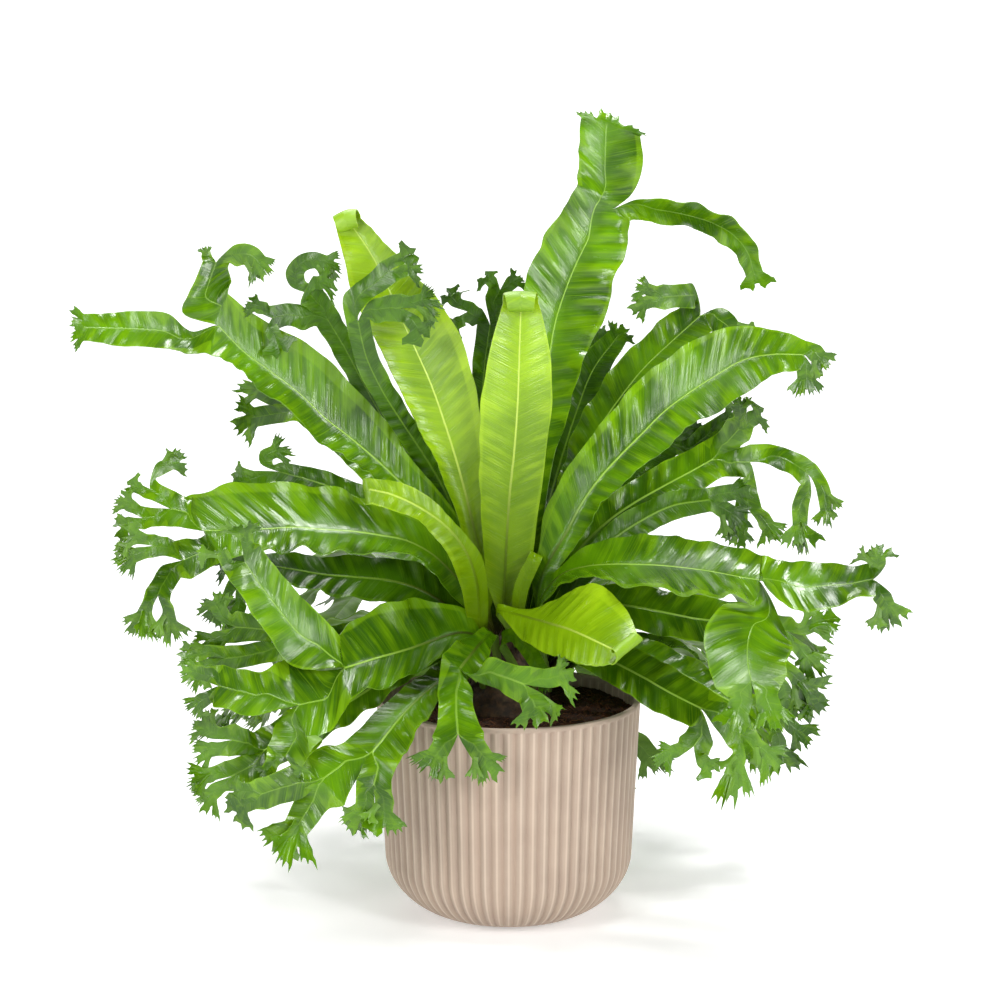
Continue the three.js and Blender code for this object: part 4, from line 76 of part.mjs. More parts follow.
  ["frond_back_low_far_left","dark",[[[-11.4,27.0,158.5,-9.1,28.2,158.3,-6.6,28.5,158.5],[-23.5,38.8,173.9,-13.6,43.5,172.4,-2.8,45.3,173.9],[-33.3,55.8,185.2,-19.1,61.7,182.5,-4.0,64.7,185.2],[-42.9,75.4,191.6,-25.0,81.7,187.9,-6.6,86.2,191.6],[-52.0,96.3,192.1,-31.0,102.2,187.8,-10.1,108.3,192.1],[-59.8,117.0,186.6,-36.6,122.1,182.0,-14.1,129.7,186.6],[-70.3,151.1,159.1,-45.1,153.9,155.7,-21.8,163.7,159.1],[-74.0,161.7,139.3,-47.6,163.5,136.9,-23.5,174.3,139.3]],[[[-74.0,161.7,139.3,-60.8,162.6,138.1,-47.6,163.5,136.9],[-76.4,165.0,125.3,-65.7,168.6,123.2,-58.2,171.2,121.8],[-95.6,177.5,81.9,-83.6,181.8,78.0,-71.6,186.1,74.2]],[[[-95.6,177.5,81.9,-89.6,179.6,79.9,-83.6,181.8,78.0],[-111.2,177.2,67.0,-106.1,179.7,62.7,-101.0,182.2,58.3]],[[[-111.2,177.2,67.0,-106.1,179.7,62.7,-101.0,182.2,58.3],[-114.2,177.9,59.6,-110.6,179.6,56.6,-107.0,181.4,53.5],[-113.7,178.6,56.7,-111.6,179.6,55.0,-109.6,180.6,53.2]]]],[[[-83.6,181.8,78.0,-77.6,184.0,76.1,-71.6,186.1,74.2],[-82.8,189.0,52.1,-75.9,190.7,53.2,-69.0,192.4,54.2]],[[[-82.8,189.0,52.1,-75.9,190.7,53.2,-69.0,192.4,54.2],[-80.0,191.9,42.4,-75.1,193.1,43.1,-70.3,194.2,43.9],[-77.7,192.9,40.2,-75.0,193.6,40.6,-72.2,194.2,41.0]]]]],[[[-47.6,163.5,136.9,-35.6,168.9,138.1,-23.5,174.3,139.3],[-41.8,175.3,121.8,-34.0,176.5,123.2,-22.9,178.3,125.3],[-37.0,194.8,74.2,-24.4,196.6,78.0,-11.8,198.4,81.9]],[[[-37.0,194.8,74.2,-30.7,195.7,76.1,-24.4,196.6,78.0],[-39.5,195.1,71.3,-33.4,197.1,69.0,-29.1,198.6,67.4],[-45.5,197.7,56.0,-38.9,199.6,54.0,-32.3,201.4,52.0]],[[[-45.5,197.7,56.0,-38.9,199.6,54.0,-32.3,201.4,52.0],[-47.1,199.9,43.9,-42.4,201.2,42.5,-37.8,202.5,41.1],[-45.9,200.8,40.4,-43.2,201.5,39.6,-40.6,202.3,38.8]]]],[[[-24.4,196.6,78.0,-18.1,197.5,79.9,-11.8,198.4,81.9],[-16.1,200.5,71.3,-12.9,200.2,74.8,-8.3,199.8,79.9],[-8.3,205.1,58.8,-2.8,205.3,63.3,2.7,205.4,67.9]],[[[-8.3,205.1,58.8,-2.8,205.3,63.3,2.7,205.4,67.9],[-1.3,207.9,52.5,2.6,207.9,55.7,6.5,208.0,58.9],[1.6,208.5,51.8,3.8,208.5,53.7,6.0,208.6,55.5]]]]]]],
  ["frond_back_mid_far_left","mature",[[[-13.0,23.1,168.5,-10.9,24.5,168.3,-8.4,25.1,168.5],[-27.2,31.0,191.6,-17.0,37.7,190.2,-5.2,40.9,191.6],[-39.9,46.4,209.7,-25.3,55.5,207.2,-8.9,60.6,209.7],[-67.9,88.8,230.1,-46.3,100.4,225.4,-23.5,109.5,230.1],[-81.4,112.7,232.6,-57.5,124.3,227.3,-33.2,135.4,232.6],[-93.3,137.1,228.8,-68.6,148.0,223.5,-44.6,160.3,228.8],[-105.5,159.8,219.4,-79.2,170.2,214.2,-54.7,184.3,219.4],[-116.4,180.1,204.6,-88.7,189.9,199.8,-63.8,205.7,204.6]],[[[-116.4,180.1,204.6,-102.6,185.0,202.2,-88.7,189.9,199.8],[-122.6,188.6,192.4,-112.1,196.0,190.7,-104.8,201.2,189.6],[-154.0,211.7,155.3,-142.6,220.6,151.5,-131.3,229.5,147.6]],[[[-154.0,211.7,155.3,-148.3,216.1,153.4,-142.6,220.6,151.5],[-171.5,213.4,138.3,-166.8,218.3,134.7,-162.1,223.2,131.0]],[[[-171.5,213.4,138.3,-166.8,218.3,134.7,-162.1,223.2,131.0],[-175.2,217.0,127.1,-173.3,219.0,125.7,-171.4,220.9,124.2]]]],[[[-142.6,220.6,151.5,-137.0,225.0,149.6,-131.3,229.5,147.6],[-142.8,228.0,141.5,-138.0,229.8,142.5,-131.2,232.4,143.8],[-145.9,235.4,125.7,-139.0,238.7,127.1,-132.1,242.0,128.5]],[[[-145.9,235.4,125.7,-139.0,238.7,127.1,-132.1,242.0,128.5],[-144.3,241.2,116.1,-139.5,243.5,117.1,-134.7,245.8,118.0],[-142.4,243.3,114.0,-139.6,244.6,114.5,-136.8,245.9,115.1]]]]],[[[-88.7,189.9,199.8,-76.2,197.8,202.2,-63.8,205.7,204.6],[-87.6,209.5,189.6,-79.0,212.1,190.7,-66.8,215.8,192.4],[-92.0,236.1,162.5,-80.3,239.0,165.3,-68.7,241.8,168.0],[-93.6,247.9,147.6,-79.6,251.3,151.5,-65.6,254.8,155.3]],[[[-93.6,247.9,147.6,-86.6,249.6,149.6,-79.6,251.3,151.5],[-101.3,257.4,127.7,-94.3,260.7,126.9,-87.4,263.9,126.0]],[[[-101.3,257.4,127.7,-94.3,260.7,126.9,-87.4,263.9,126.0],[-101.5,261.5,119.3,-96.6,263.7,118.7,-91.8,266.0,118.1],[-99.9,263.1,116.9,-97.2,264.4,116.6,-94.4,265.7,116.2]]]],[[[-79.6,251.3,151.5,-72.6,253.1,153.4,-65.6,254.8,155.3],[-68.5,268.4,131.4,-61.8,268.9,135.3,-55.2,269.4,139.2]],[[[-68.5,268.4,131.4,-61.8,268.9,135.3,-55.2,269.4,139.2],[-63.3,273.1,125.6,-58.6,273.4,128.4,-54.0,273.8,131.1],[-60.6,274.2,125.0,-57.9,274.4,126.5,-55.3,274.6,128.1]]]]]]],
  ["frond_back_low_left","mature",[[[-23.6,16.6,160.5,-22.3,18.7,160.3,-20.4,20.4,160.5],[-37.2,17.0,175.9,-31.6,26.4,174.5,-23.4,33.8,175.9],[-66.9,30.6,196.6,-56.2,46.4,193.1,-43.1,60.2,196.6],[-99.6,50.4,201.6,-85.0,69.1,196.9,-70.4,87.7,201.6],[-114.8,61.8,197.5,-99.3,80.2,192.8,-85.4,99.8,197.5],[-142.9,80.6,178.2,-124.8,99.5,174.0,-111.5,122.2,178.2]],[[[-142.9,80.6,178.2,-133.8,90.1,176.1,-124.8,99.5,174.0],[-148.4,83.7,167.8,-143.1,93.7,166.2,-139.3,100.7,165.2],[-173.4,86.1,135.6,-167.9,97.7,132.1,-162.4,109.3,128.6]],[[[-173.4,86.1,135.6,-170.7,91.9,133.8,-167.9,97.7,132.1],[-178.7,85.8,135.9,-178.0,91.2,131.9,-177.4,95.1,129.0],[-191.2,82.1,127.5,-189.6,88.0,123.7,-188.0,93.9,119.9]],[[[-191.2,82.1,127.5,-189.6,88.0,123.7,-188.0,93.9,119.9],[-197.4,82.1,119.7,-196.3,86.2,117.0,-195.2,90.3,114.4],[-198.5,83.5,116.7,-197.8,85.8,115.2,-197.2,88.2,113.7]]]],[[[-167.9,97.7,132.1,-165.1,103.5,130.3,-162.4,109.3,128.6],[-170.8,103.5,123.9,-167.5,106.8,125.1,-162.9,111.5,126.8],[-179.5,109.9,115.0,-175.1,115.3,116.7,-170.7,120.7,118.4]],[[[-179.5,109.9,115.0,-175.1,115.3,116.7,-170.7,120.7,118.4],[-183.9,118.1,108.1,-180.8,121.9,109.3,-177.7,125.6,110.5],[-183.8,121.2,106.5,-182.1,123.3,107.2,-180.3,125.5,107.9]]]]],[[[-124.8,99.5,174.0,-118.1,110.8,176.1,-111.5,122.2,178.2],[-130.6,114.0,165.8,-124.9,119.5,166.9,-116.7,127.5,168.4],[-148.1,137.4,132.3,-138.4,145.9,135.7,-128.8,154.3,139.2]],[[[-148.1,137.4,132.3,-143.3,141.6,134.0,-138.4,145.9,135.7],[-157.2,139.3,117.7,-153.0,145.0,116.4,-148.9,150.6,115.2]],[[[-157.2,139.3,117.7,-153.0,145.0,116.4,-148.9,150.6,115.2],[-160.5,142.3,107.0,-157.6,146.3,106.2,-154.7,150.3,105.3],[-160.3,144.3,104.0,-158.6,146.6,103.5,-156.9,148.9,103.0]]]],[[[-138.4,145.9,135.7,-133.6,150.1,137.5,-128.8,154.3,139.2],[-135.8,154.3,130.5,-132.3,155.4,133.7,-127.5,156.9,138.3],[-134.4,162.8,120.5,-129.4,165.5,124.9,-124.3,168.1,129.2]],[[[-134.4,162.8,120.5,-129.4,165.5,124.9,-124.3,168.1,129.2],[-128.8,173.1,113.1,-126.8,174.1,114.8,-124.8,175.2,116.6]]]]]]],
  ["frond_back_mid_left","mature",[[[-20.7,17.8,165.5,-19.2,19.9,165.3,-17.1,21.3,165.5],[-34.4,20.3,184.7,-27.6,29.5,183.5,-18.2,35.9,184.7],[-62.1,37.2,218.3,-49.5,52.7,215.2,-33.7,64.6,218.3],[-77.7,48.9,230.6,-62.8,66.2,226.5,-45.1,80.4,230.6],[-94.4,63.0,237.6,-77.6,81.2,232.8,-58.9,97.3,237.6],[-127.7,94.9,236.9,-108.6,112.8,231.7,-90.1,131.2,236.9],[-144.2,110.2,230.1,-123.6,128.0,224.9,-105.1,147.9,230.1]],[[[-144.2,110.2,230.1,-133.9,119.1,227.5,-123.6,128.0,224.9],[-152.8,117.3,222.7,-146.0,127.0,221.8,-141.3,133.9,221.1],[-189.1,131.4,200.5,-182.4,143.2,197.4,-175.8,154.9,194.4]],[[[-189.1,131.4,200.5,-185.8,137.3,199.0,-182.4,143.2,197.4],[-191.7,129.7,199.7,-191.9,135.4,195.7,-191.9,139.4,192.9],[-204.6,125.2,191.5,-203.5,131.1,187.3,-202.4,137.1,183.2]],[[[-204.6,125.2,191.5,-203.5,131.1,187.3,-202.4,137.1,183.2],[-209.5,125.0,185.2,-208.8,129.2,182.3,-208.0,133.4,179.4],[-210.4,126.4,182.6,-209.9,128.8,181.0,-209.5,131.2,179.3]]]],[[[-182.4,143.2,197.4,-179.1,149.0,195.9,-175.8,154.9,194.4],[-190.4,158.2,177.8,-185.0,162.8,179.7,-179.6,167.5,181.6]],[[[-190.4,158.2,177.8,-185.0,162.8,179.7,-179.6,167.5,181.6],[-190.6,164.2,171.2,-186.8,167.5,172.5,-183.0,170.7,173.9],[-189.4,166.7,169.9,-187.2,168.5,170.7,-185.0,170.4,171.4]]]]],[[[-123.6,128.0,224.9,-114.4,138.0,227.5,-105.1,147.9,230.1],[-128.9,145.9,221.1,-121.9,150.4,221.8,-111.8,156.8,222.7],[-142.7,170.0,204.5,-132.8,175.3,206.6,-122.8,180.6,208.6],[-148.7,181.1,194.4,-136.7,187.3,197.4,-124.7,193.6,200.5]],[[[-148.7,181.1,194.4,-142.7,184.2,195.9,-136.7,187.3,197.4],[-160.9,185.7,181.4,-156.0,190.9,179.6,-151.2,196.1,177.8]],[[[-160.9,185.7,181.4,-156.0,190.9,179.6,-151.2,196.1,177.8],[-165.1,189.9,171.8,-161.7,193.6,170.6,-158.3,197.2,169.3],[-164.9,192.1,168.9,-163.0,194.2,168.2,-161.0,196.2,167.5]]]],[[[-136.7,187.3,197.4,-130.7,190.4,199.0,-124.7,193.6,200.5],[-134.5,205.9,182.1,-128.1,207.7,185.3,-121.7,209.6,188.5]],[[[-134.5,205.9,182.1,-128.1,207.7,185.3,-121.7,209.6,188.5],[-131.3,213.6,175.2,-126.8,214.9,177.4,-122.4,216.2,179.7],[-129.1,215.8,174.0,-126.6,216.5,175.3,-124.0,217.3,176.6]]]]]]],
  ["frond_side_low_left","dark",[[[-28.7,5.6,158.5,-28.5,8.2,158.3,-27.4,10.4,158.5],[-41.3,2.3,171.5,-40.1,11.6,170.2,-36.2,20.2,171.5],[-71.3,4.1,190.1,-68.3,19.7,187.2,-62.6,34.7,190.1],[-105.7,9.9,196.3,-100.5,29.0,192.3,-94.8,47.9,196.3],[-122.7,14.5,194.1,-116.7,33.6,190.2,-111.7,52.9,194.1],[-154.4,21.7,180.3,-146.3,41.9,176.6,-142.4,63.4,180.3]],[[[-154.4,21.7,180.3,-150.3,31.8,178.5,-146.3,41.9,176.6],[-162.3,22.5,172.1,-161.3,32.1,170.9,-160.5,38.9,170.1],[-191.1,16.9,147.1,-190.5,27.9,144.2,-189.9,38.9,141.4]],[[[-191.1,16.9,147.1,-190.8,22.4,145.7,-190.5,27.9,144.2],[-200.3,7.5,136.2,-201.1,12.8,133.0,-201.8,18.2,129.8]],[[[-200.3,7.5,136.2,-201.1,12.8,133.0,-201.8,18.2,129.8],[-204.4,5.3,128.8,-204.9,9.1,126.6,-205.4,12.8,124.4],[-205.4,6.1,126.2,-205.7,8.2,124.9,-206.0,10.4,123.6]]]],[[[-190.5,27.9,144.2,-190.2,33.4,142.8,-189.9,38.9,141.4],[-200.9,32.8,126.0,-199.2,38.7,127.1,-197.4,44.6,128.1]],[[[-200.9,32.8,126.0,-199.2,38.7,127.1,-197.4,44.6,128.1],[-203.3,36.5,119.6,-202.1,40.6,120.4,-200.9,44.8,121.1],[-203.4,38.7,118.2,-202.7,41.0,118.6,-202.0,43.4,119.1]]]]],[[[-146.3,41.9,176.6,-144.3,52.7,178.5,-142.4,63.4,180.3],[-155.3,51.5,168.9,-152.4,57.7,169.7,-148.2,66.4,170.9],[-175.9,65.4,136.5,-170.5,75.1,139.4,-165.2,84.7,142.2]],[[[-175.9,65.4,136.5,-173.2,70.2,137.9,-170.5,75.1,139.4],[-191.1,65.0,128.9,-189.7,70.9,127.4,-188.3,76.8,125.8]],[[[-191.1,65.0,128.9,-189.7,70.9,127.4,-188.3,76.8,125.8],[-196.7,67.0,123.0,-195.7,71.2,121.9,-194.7,75.3,120.8],[-197.7,68.8,121.0,-197.1,71.2,120.4,-196.5,73.6,119.8]]]],[[[-170.5,75.1,139.4,-167.9,79.9,140.8,-165.2,84.7,142.2],[-179.4,87.3,122.3,-176.0,91.8,125.1,-172.7,96.2,127.9]],[[[-179.4,87.3,122.3,-176.0,91.8,125.1,-172.7,96.2,127.9],[-180.0,95.1,117.6,-178.6,96.9,118.7,-177.3,98.7,119.9]]]]]]],
  ["frond_side_low_right","dark",[[[28.0,8.5,158.5,29.0,6.2,158.3,29.1,3.6,158.5],[36.8,17.4,169.9,40.0,8.6,168.6,40.7,-0.8,169.9],[61.8,29.5,185.8,66.3,14.2,182.9,68.4,-1.6,185.8],[91.7,39.7,189.8,95.8,20.4,185.9,99.9,1.1,189.8],[107.0,43.2,186.8,110.4,23.5,182.9,115.3,4.1,186.8],[134.3,50.7,172.2,136.4,29.0,168.6,143.3,8.3,172.2]],[[[134.3,50.7,172.2,135.4,39.9,170.4,136.4,29.0,168.6],[140.2,53.2,164.3,143.7,44.1,163.0,146.2,37.8,162.2],[159.3,69.4,140.8,163.8,59.3,137.8,168.3,49.3,134.9]],[[[159.3,69.4,140.8,161.5,64.4,139.3,163.8,59.3,137.8],[163.1,79.9,129.9,166.0,75.1,127.0,169.0,70.4,124.1]],[[[163.1,79.9,129.9,166.0,75.1,127.0,169.0,70.4,124.1],[166.7,82.0,120.7,167.9,80.1,119.6,169.1,78.2,118.4]]]],[[[163.8,59.3,137.8,166.0,54.3,136.4,168.3,49.3,134.9],[173.7,59.1,120.8,174.8,53.0,122.1,175.9,47.0,123.4]],[[[173.7,59.1,120.8,174.8,53.0,122.1,175.9,47.0,123.4],[177.7,56.5,113.6,178.5,52.3,114.5,179.3,48.1,115.4],[178.8,54.5,112.1,179.3,52.1,112.6,179.7,49.7,113.1]]]]],[[[136.4,29.0,168.6,139.9,18.6,170.4,143.3,8.3,172.2],[148.9,24.9,162.2,149.2,18.2,163.0,149.7,8.4,164.3],[173.8,23.4,134.9,173.8,12.4,137.8,173.7,1.4,140.8]],[[[173.8,23.4,134.9,173.8,17.9,136.4,173.8,12.4,137.8],[180.7,26.9,122.5,181.9,20.8,121.8,183.1,14.6,121.2]],[[[180.7,26.9,122.5,181.9,20.8,121.8,183.1,14.6,121.2],[183.4,26.1,116.7,184.3,21.8,116.3,185.1,17.5,115.8],[184.3,24.5,115.1,184.8,22.0,114.8,185.3,19.6,114.6]]]],[[[173.8,12.4,137.8,173.7,6.9,139.3,173.7,1.4,140.8],[182.7,1.8,124.8,181.6,-3.2,128.4,180.4,-8.3,131.9]],[[[182.7,1.8,124.8,181.6,-3.2,128.4,180.4,-8.3,131.9],[184.7,-5.0,121.4,184.3,-7.0,122.9,183.9,-9.0,124.3]]]]]]],
];

const group = new THREE.Group();
group.name = "potted_fern";

function material(hex, roughness, metalness = 0) {
  return new THREE.MeshStandardMaterial({ color: hex, roughness, metalness });
}
function add(name, geometry, mat) {
  const m = new THREE.Mesh(geometry, mat);
  m.name = name;
  group.add(m);
}
function meshOf(verts, tris) {
  const g = new THREE.BufferGeometry();
  g.setAttribute(
    "position",
    new THREE.BufferAttribute(new Float32Array(verts.flat()), 3),
  );
  g.setIndex(tris.flat());
  g.computeVertexNormals();
  return g;
}

// ---- pot: rings of points, closed over the floor inside and out
function potRadius(z) {
  if (z >= POT_FOOT_Z)
    return (
      POT_FOOT_R +
      ((POT_RIM_R - POT_FOOT_R) * (z - POT_FOOT_Z)) / (POT_H - POT_FOOT_Z)
    );
  const a = Math.asin(Math.pow(1 - z / POT_FOOT_Z, 1 / 1.1));
  return POT_BASE_R + (POT_FOOT_R - POT_BASE_R) * Math.pow(Math.cos(a), 1.1);
}
function potGeometry() {
  const N = FLUTES * 2,
    verts = [],
    tris = [];
  const ring = (r, z, depth) => {
    const ids = [];
    for (let i = 0; i < N; i++) {
      const a = (2 * Math.PI * i) / N,
        rr = r - (i % 2 ? depth : 0);
      ids.push(verts.length);
      verts.push([rr * Math.cos(a), rr * Math.sin(a), z]);
    }
    return ids;
  };
  const inner = (r, z) => {
    const ids = [];
    for (let i = 0; i < FLUTES; i++) {
      const a = (2 * Math.PI * i * 2) / N;
      ids.push(verts.length);
      verts.push([r * Math.cos(a), r * Math.sin(a), z]);
    }
    return ids;
  };
  const quadStrip = (lo, hi) => {
    for (let i = 0; i < N; i++) {
      const j = (i + 1) % N;
      tris.push([lo[i], lo[j], hi[j]], [lo[i], hi[j], hi[i]]);
    }
  };
  const outs = [
    ring(POT_BASE_R, 0, 0),
    ring(potRadius(4), 4, FLUTE_DEPTH * 0.8),
    ring(potRadius(14), 14, FLUTE_DEPTH),
    ring(potRadius(26), 26, FLUTE_DEPTH),
    ring(potRadius(POT_FOOT_Z), POT_FOOT_Z, FLUTE_DEPTH),
    ring(potRadius(POT_H - LIP_H - 1.5), POT_H - LIP_H - 1.5, FLUTE_DEPTH),
    ring(potRadius(POT_H - LIP_H) - 0.2, POT_H - LIP_H, 0),
    ring(POT_RIM_R, POT_H - 0.8, 0),
    ring(POT_RIM_R - 0.8, POT_H, 0),
  ];
  for (let i = 0; i + 1 < outs.length; i++) quadStrip(outs[i], outs[i + 1]);
  const w = (z) => potRadius(z) - POT_WALL;
  const ins = [
    inner(w(POT_H) + 0.8, POT_H),
    inner(w(POT_H - 1), POT_H - 1),
    inner(w(POT_FOOT_Z), POT_FOOT_Z),
    inner(w(24), 24),
    inner(w(12), 12),
    inner(POT_BASE_R, POT_FLOOR),
  ];
  // over the lip, from the fine ring to the coarse one
  const top = outs[outs.length - 1],
    first = ins[0];
  for (let i = 0; i < FLUTES; i++) {
    const a = top[2 * i],
      b = top[2 * i + 1],
      c = top[(2 * i + 2) % N],
      d = first[i],
      e = first[(i + 1) % FLUTES];
    tris.push([a, b, d], [b, e, d], [b, c, e]);
  }
  for (let k = 0; k + 1 < ins.length; k++)
    for (let i = 0; i < FLUTES; i++) {
      const j = (i + 1) % FLUTES,
        lo = ins[k],
        hi = ins[k + 1];
      tris.push([lo[i], lo[j], hi[j]], [lo[i], hi[j], hi[i]]);
    }
  const cb = verts.length;
  verts.push([0, 0, 0]);
  for (let i = 0; i < N; i++) tris.push([cb, outs[0][(i + 1) % N], outs[0][i]]);
  const ct = verts.length;
  verts.push([0, 0, POT_FLOOR]);
  const last = ins[ins.length - 1];
  for (let i = 0; i < FLUTES; i++)
    tris.push([ct, last[i], last[(i + 1) % FLUTES]]);
  return meshOf(verts, tris);
}
add("pot", potGeometry(), material(0xc9b29d, 0.75));

// ---- soil: fills the pot, slightly raised in the middle
const soilWall = (z) => (potRadius(z) - POT_WALL) * Math.cos(Math.PI / FLUTES) - GAP;
add(
  "soil",
  new THREE.LatheGeometry(
    [
      [0, POT_FLOOR + GAP],
      [POT_BASE_R - 1.5, POT_FLOOR + GAP],
      [soilWall(12) - 0.8, 12],
      [soilWall(24) - 0.6, 24],
      [soilWall(POT_FOOT_Z) - 0.6, POT_FOOT_Z],
      [soilWall(SOIL_Z) - 0.1, SOIL_Z],
      [60, SOIL_Z + SOIL_RISE * 0.6],
      [34, SOIL_Z + SOIL_RISE],
      [0, SOIL_Z + SOIL_RISE],
    ].map((p) => new THREE.Vector2(p[0], p[1])),
    34,
  ).rotateX(Math.PI / 2),
  material(0x2b1a12, 0.95),
);

// ---- crown
add(
  "crown",
  new THREE.LatheGeometry(
    CROWN.map((p) => new THREE.Vector2(p[0], p[1])),
    20,
  ).rotateX(Math.PI / 2),
  material(0x33251a, 0.9),
);

// ---- leaf blades
const V = (a, i) => [a[3 * i], a[3 * i + 1], a[3 * i + 2]];
function leafGeometry(tree, extra = 0) {
  const pts = [],
    thick = [],
    faces = [];
  const put = (p, t) => {
    pts.push(p);
    thick.push(t);
    return pts.length - 1;
  };
  // joins two rows that can have different numbers of points
  const strip = (a, b) => {
    let i = 0,
      j = 0;
    while (i < a.length - 1 || j < b.length - 1) {
      const na = a.length - 1,
        nb = b.length - 1;
      if (j >= nb || (i < na && (i + 1) / na <= (j + 1) / nb + 1e-9)) {
        faces.push([a[i], a[i + 1], b[j]]);
        i++;
      } else {
        faces.push([a[i], b[j + 1], b[j]]);
        j++;
      }
    }
  };
  const grow = (node, start, depth) => {
    const rows = node[0],
      kids = node.slice(1);
    let prev = start;
    rows.forEach((row, k) => {
      if (k === 0 && start) return;
      const s = rows.length > 1 ? k / (rows.length - 1) : 0;
      const t = depth ? BLADE_T : STALK_T + (BLADE_T - STALK_T) * Math.min(1, 2.5 * s);
      const L = V(row, 0),
        M = V(row, 1),
        R = V(row, 2);
      const width = Math.hypot(L[0] - R[0], L[1] - R[1], L[2] - R[2]);
      const last = k === rows.length - 1;
      const slim = width < SLIM && !(last && kids.length);
      const ids = slim ? [put(L, t), put(R, t)] : [put(L, t), put(M, t), put(R, t)];
      if (prev) strip(prev, ids);
      prev = ids;
    });
    if (kids.length === 1) grow(kids[0], prev, depth + 1);
    if (kids.length === 2) {
      const m = prev.length >> 1;
      grow(kids[0], prev.slice(0, m + 1), depth + 1);
      grow(kids[1], prev.slice(m), depth + 1);
    }
  };
  grow(tree, null, 0);
  const v = pts.map((p) => new THREE.Vector3(...p)),
    n = pts.map(() => new THREE.Vector3());
  const e1 = new THREE.Vector3(),
    e2 = new THREE.Vector3();
  for (const [a, b, c] of faces) {
    e1.subVectors(v[b], v[a]);
    e2.subVectors(v[c], v[a]);
    e1.cross(e2).normalize();
    for (const i of [a, b, c]) n[i].add(e1);
  }
  const N = v.length,
    verts = [],
    tris = [];
  for (const side of [0.5, -0.5])
    for (let i = 0; i < N; i++) {
      n[i].normalize();
      const q = v[i].clone().addScaledVector(n[i], side * (thick[i] + extra));
      verts.push([q.x, q.y, q.z]);
    }
  const edges = new Map();
  for (const [a, b, c] of faces) {
    tris.push([a, b, c], [c + N, b + N, a + N]);
    for (const [p, q] of [
      [a, b],
      [b, c],
      [c, a],
    ])
      if (edges.has(q + "_" + p)) edges.delete(q + "_" + p);
      else edges.set(p + "_" + q, [p, q]);
  }
  for (const [p, q] of edges.values())
    tris.push([q, p, p + N], [q, p + N, q + N]);
  return meshOf(verts, tris);
}
const SLIM = 9; // narrower rows have no point on the midrib
const LEAF = {
  mature: [0x5f9a2e, 0.42],
  young: [0x97c23f, 0.4],
  dark: [0x44741f, 0.45],
};

// where two blades would still touch near the crown, the first one is cut back from the second
const wasm = await Module();
wasm.setup();
function solid(geometry) {
  const g = mergeVertices(
    new THREE.BufferGeometry()
      .setAttribute("position", geometry.getAttribute("position").clone())
      .setIndex(geometry.index.clone()),
    1e-3,
  );
  return new wasm.Manifold(
    new wasm.Mesh({
      numProp: 3,
      vertProperties: g.attributes.position.array,
      triVerts: new Uint32Array(g.index.array),
    }),
  );
}
function geometryOf(s) {
  const m = s.getMesh(),
    pos = new Float32Array(m.numVert * 3);
  for (let i = 0; i < m.numVert; i++)
    pos.set(m.vertProperties.subarray(i * m.numProp, i * m.numProp + 3), 3 * i);
  const g = new THREE.BufferGeometry();
  g.setAttribute("position", new THREE.BufferAttribute(pos, 3));
  g.setIndex(new THREE.BufferAttribute(new Uint32Array(m.triVerts), 1));
  g.computeVertexNormals();
  return g;
}
const largest = (s) =>
  s.decompose().sort((a, b) => b.volume() - a.volume())[0];
const leaves = FRONDS.map(([name, kind, tree]) => {
  const geometry = leafGeometry(tree);
  return { name, kind, tree, geometry, body: solid(geometry) };
});
const crownBody = solid(group.getObjectByName("crown").geometry);
for (const [i, a] of leaves.entries()) {
  for (const b of leaves.slice(i + 1))
    if (a.body.intersect(b.body).volume() > 1e-4) {
      let cut = a.body.subtract(solid(leafGeometry(b.tree, 2 * GAP)));
      for (const d of [-GAP, GAP])
        for (const way of [
          [d, 0, 0],
          [0, d, 0],
          [0, 0, d],
        ])
          cut = cut.subtract(b.body.translate(way));
      a.body = largest(cut);
      a.geometry = null;
    }
  if (a.body.intersect(crownBody).volume() > 1e-4) {
    a.body = largest(a.body.subtract(crownBody));
    a.body = a.body.translate([
      GAP * Math.sign(a.body.boundingBox().max[0] + a.body.boundingBox().min[0]),
      0,
      GAP,
    ]);
    a.geometry = null;
  }
}
for (const a of leaves)
  add(a.name, a.geometry ?? geometryOf(a.body), material(...LEAF[a.kind]));

export default group;
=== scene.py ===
# A potted bird's-nest type fern with forked, crested fronds in a fluted pot: the looks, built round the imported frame.
# Lengths in the tables are millimetres; objects are made in metres, +Z up, the pot stands on Z = 0.
import bpy, math
import numpy as np
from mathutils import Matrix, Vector


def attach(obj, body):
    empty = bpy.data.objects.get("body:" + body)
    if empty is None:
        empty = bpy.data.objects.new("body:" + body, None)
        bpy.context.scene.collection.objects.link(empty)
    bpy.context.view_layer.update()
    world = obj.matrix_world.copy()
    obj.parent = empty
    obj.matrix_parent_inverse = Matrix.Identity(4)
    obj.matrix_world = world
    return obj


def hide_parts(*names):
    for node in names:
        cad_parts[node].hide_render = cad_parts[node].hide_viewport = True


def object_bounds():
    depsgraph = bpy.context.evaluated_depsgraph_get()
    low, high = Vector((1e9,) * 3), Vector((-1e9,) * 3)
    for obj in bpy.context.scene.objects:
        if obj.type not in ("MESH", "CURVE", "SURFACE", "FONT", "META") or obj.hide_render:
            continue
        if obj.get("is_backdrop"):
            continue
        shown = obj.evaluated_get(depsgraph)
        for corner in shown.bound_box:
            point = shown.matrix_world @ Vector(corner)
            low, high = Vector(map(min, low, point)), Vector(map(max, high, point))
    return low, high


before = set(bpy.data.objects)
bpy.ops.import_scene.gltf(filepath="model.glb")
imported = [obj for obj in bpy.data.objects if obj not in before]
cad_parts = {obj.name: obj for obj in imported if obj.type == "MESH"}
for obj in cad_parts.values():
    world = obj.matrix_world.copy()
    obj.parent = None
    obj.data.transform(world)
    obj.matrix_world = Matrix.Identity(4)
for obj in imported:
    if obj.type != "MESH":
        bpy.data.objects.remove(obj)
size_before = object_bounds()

MM = 0.001

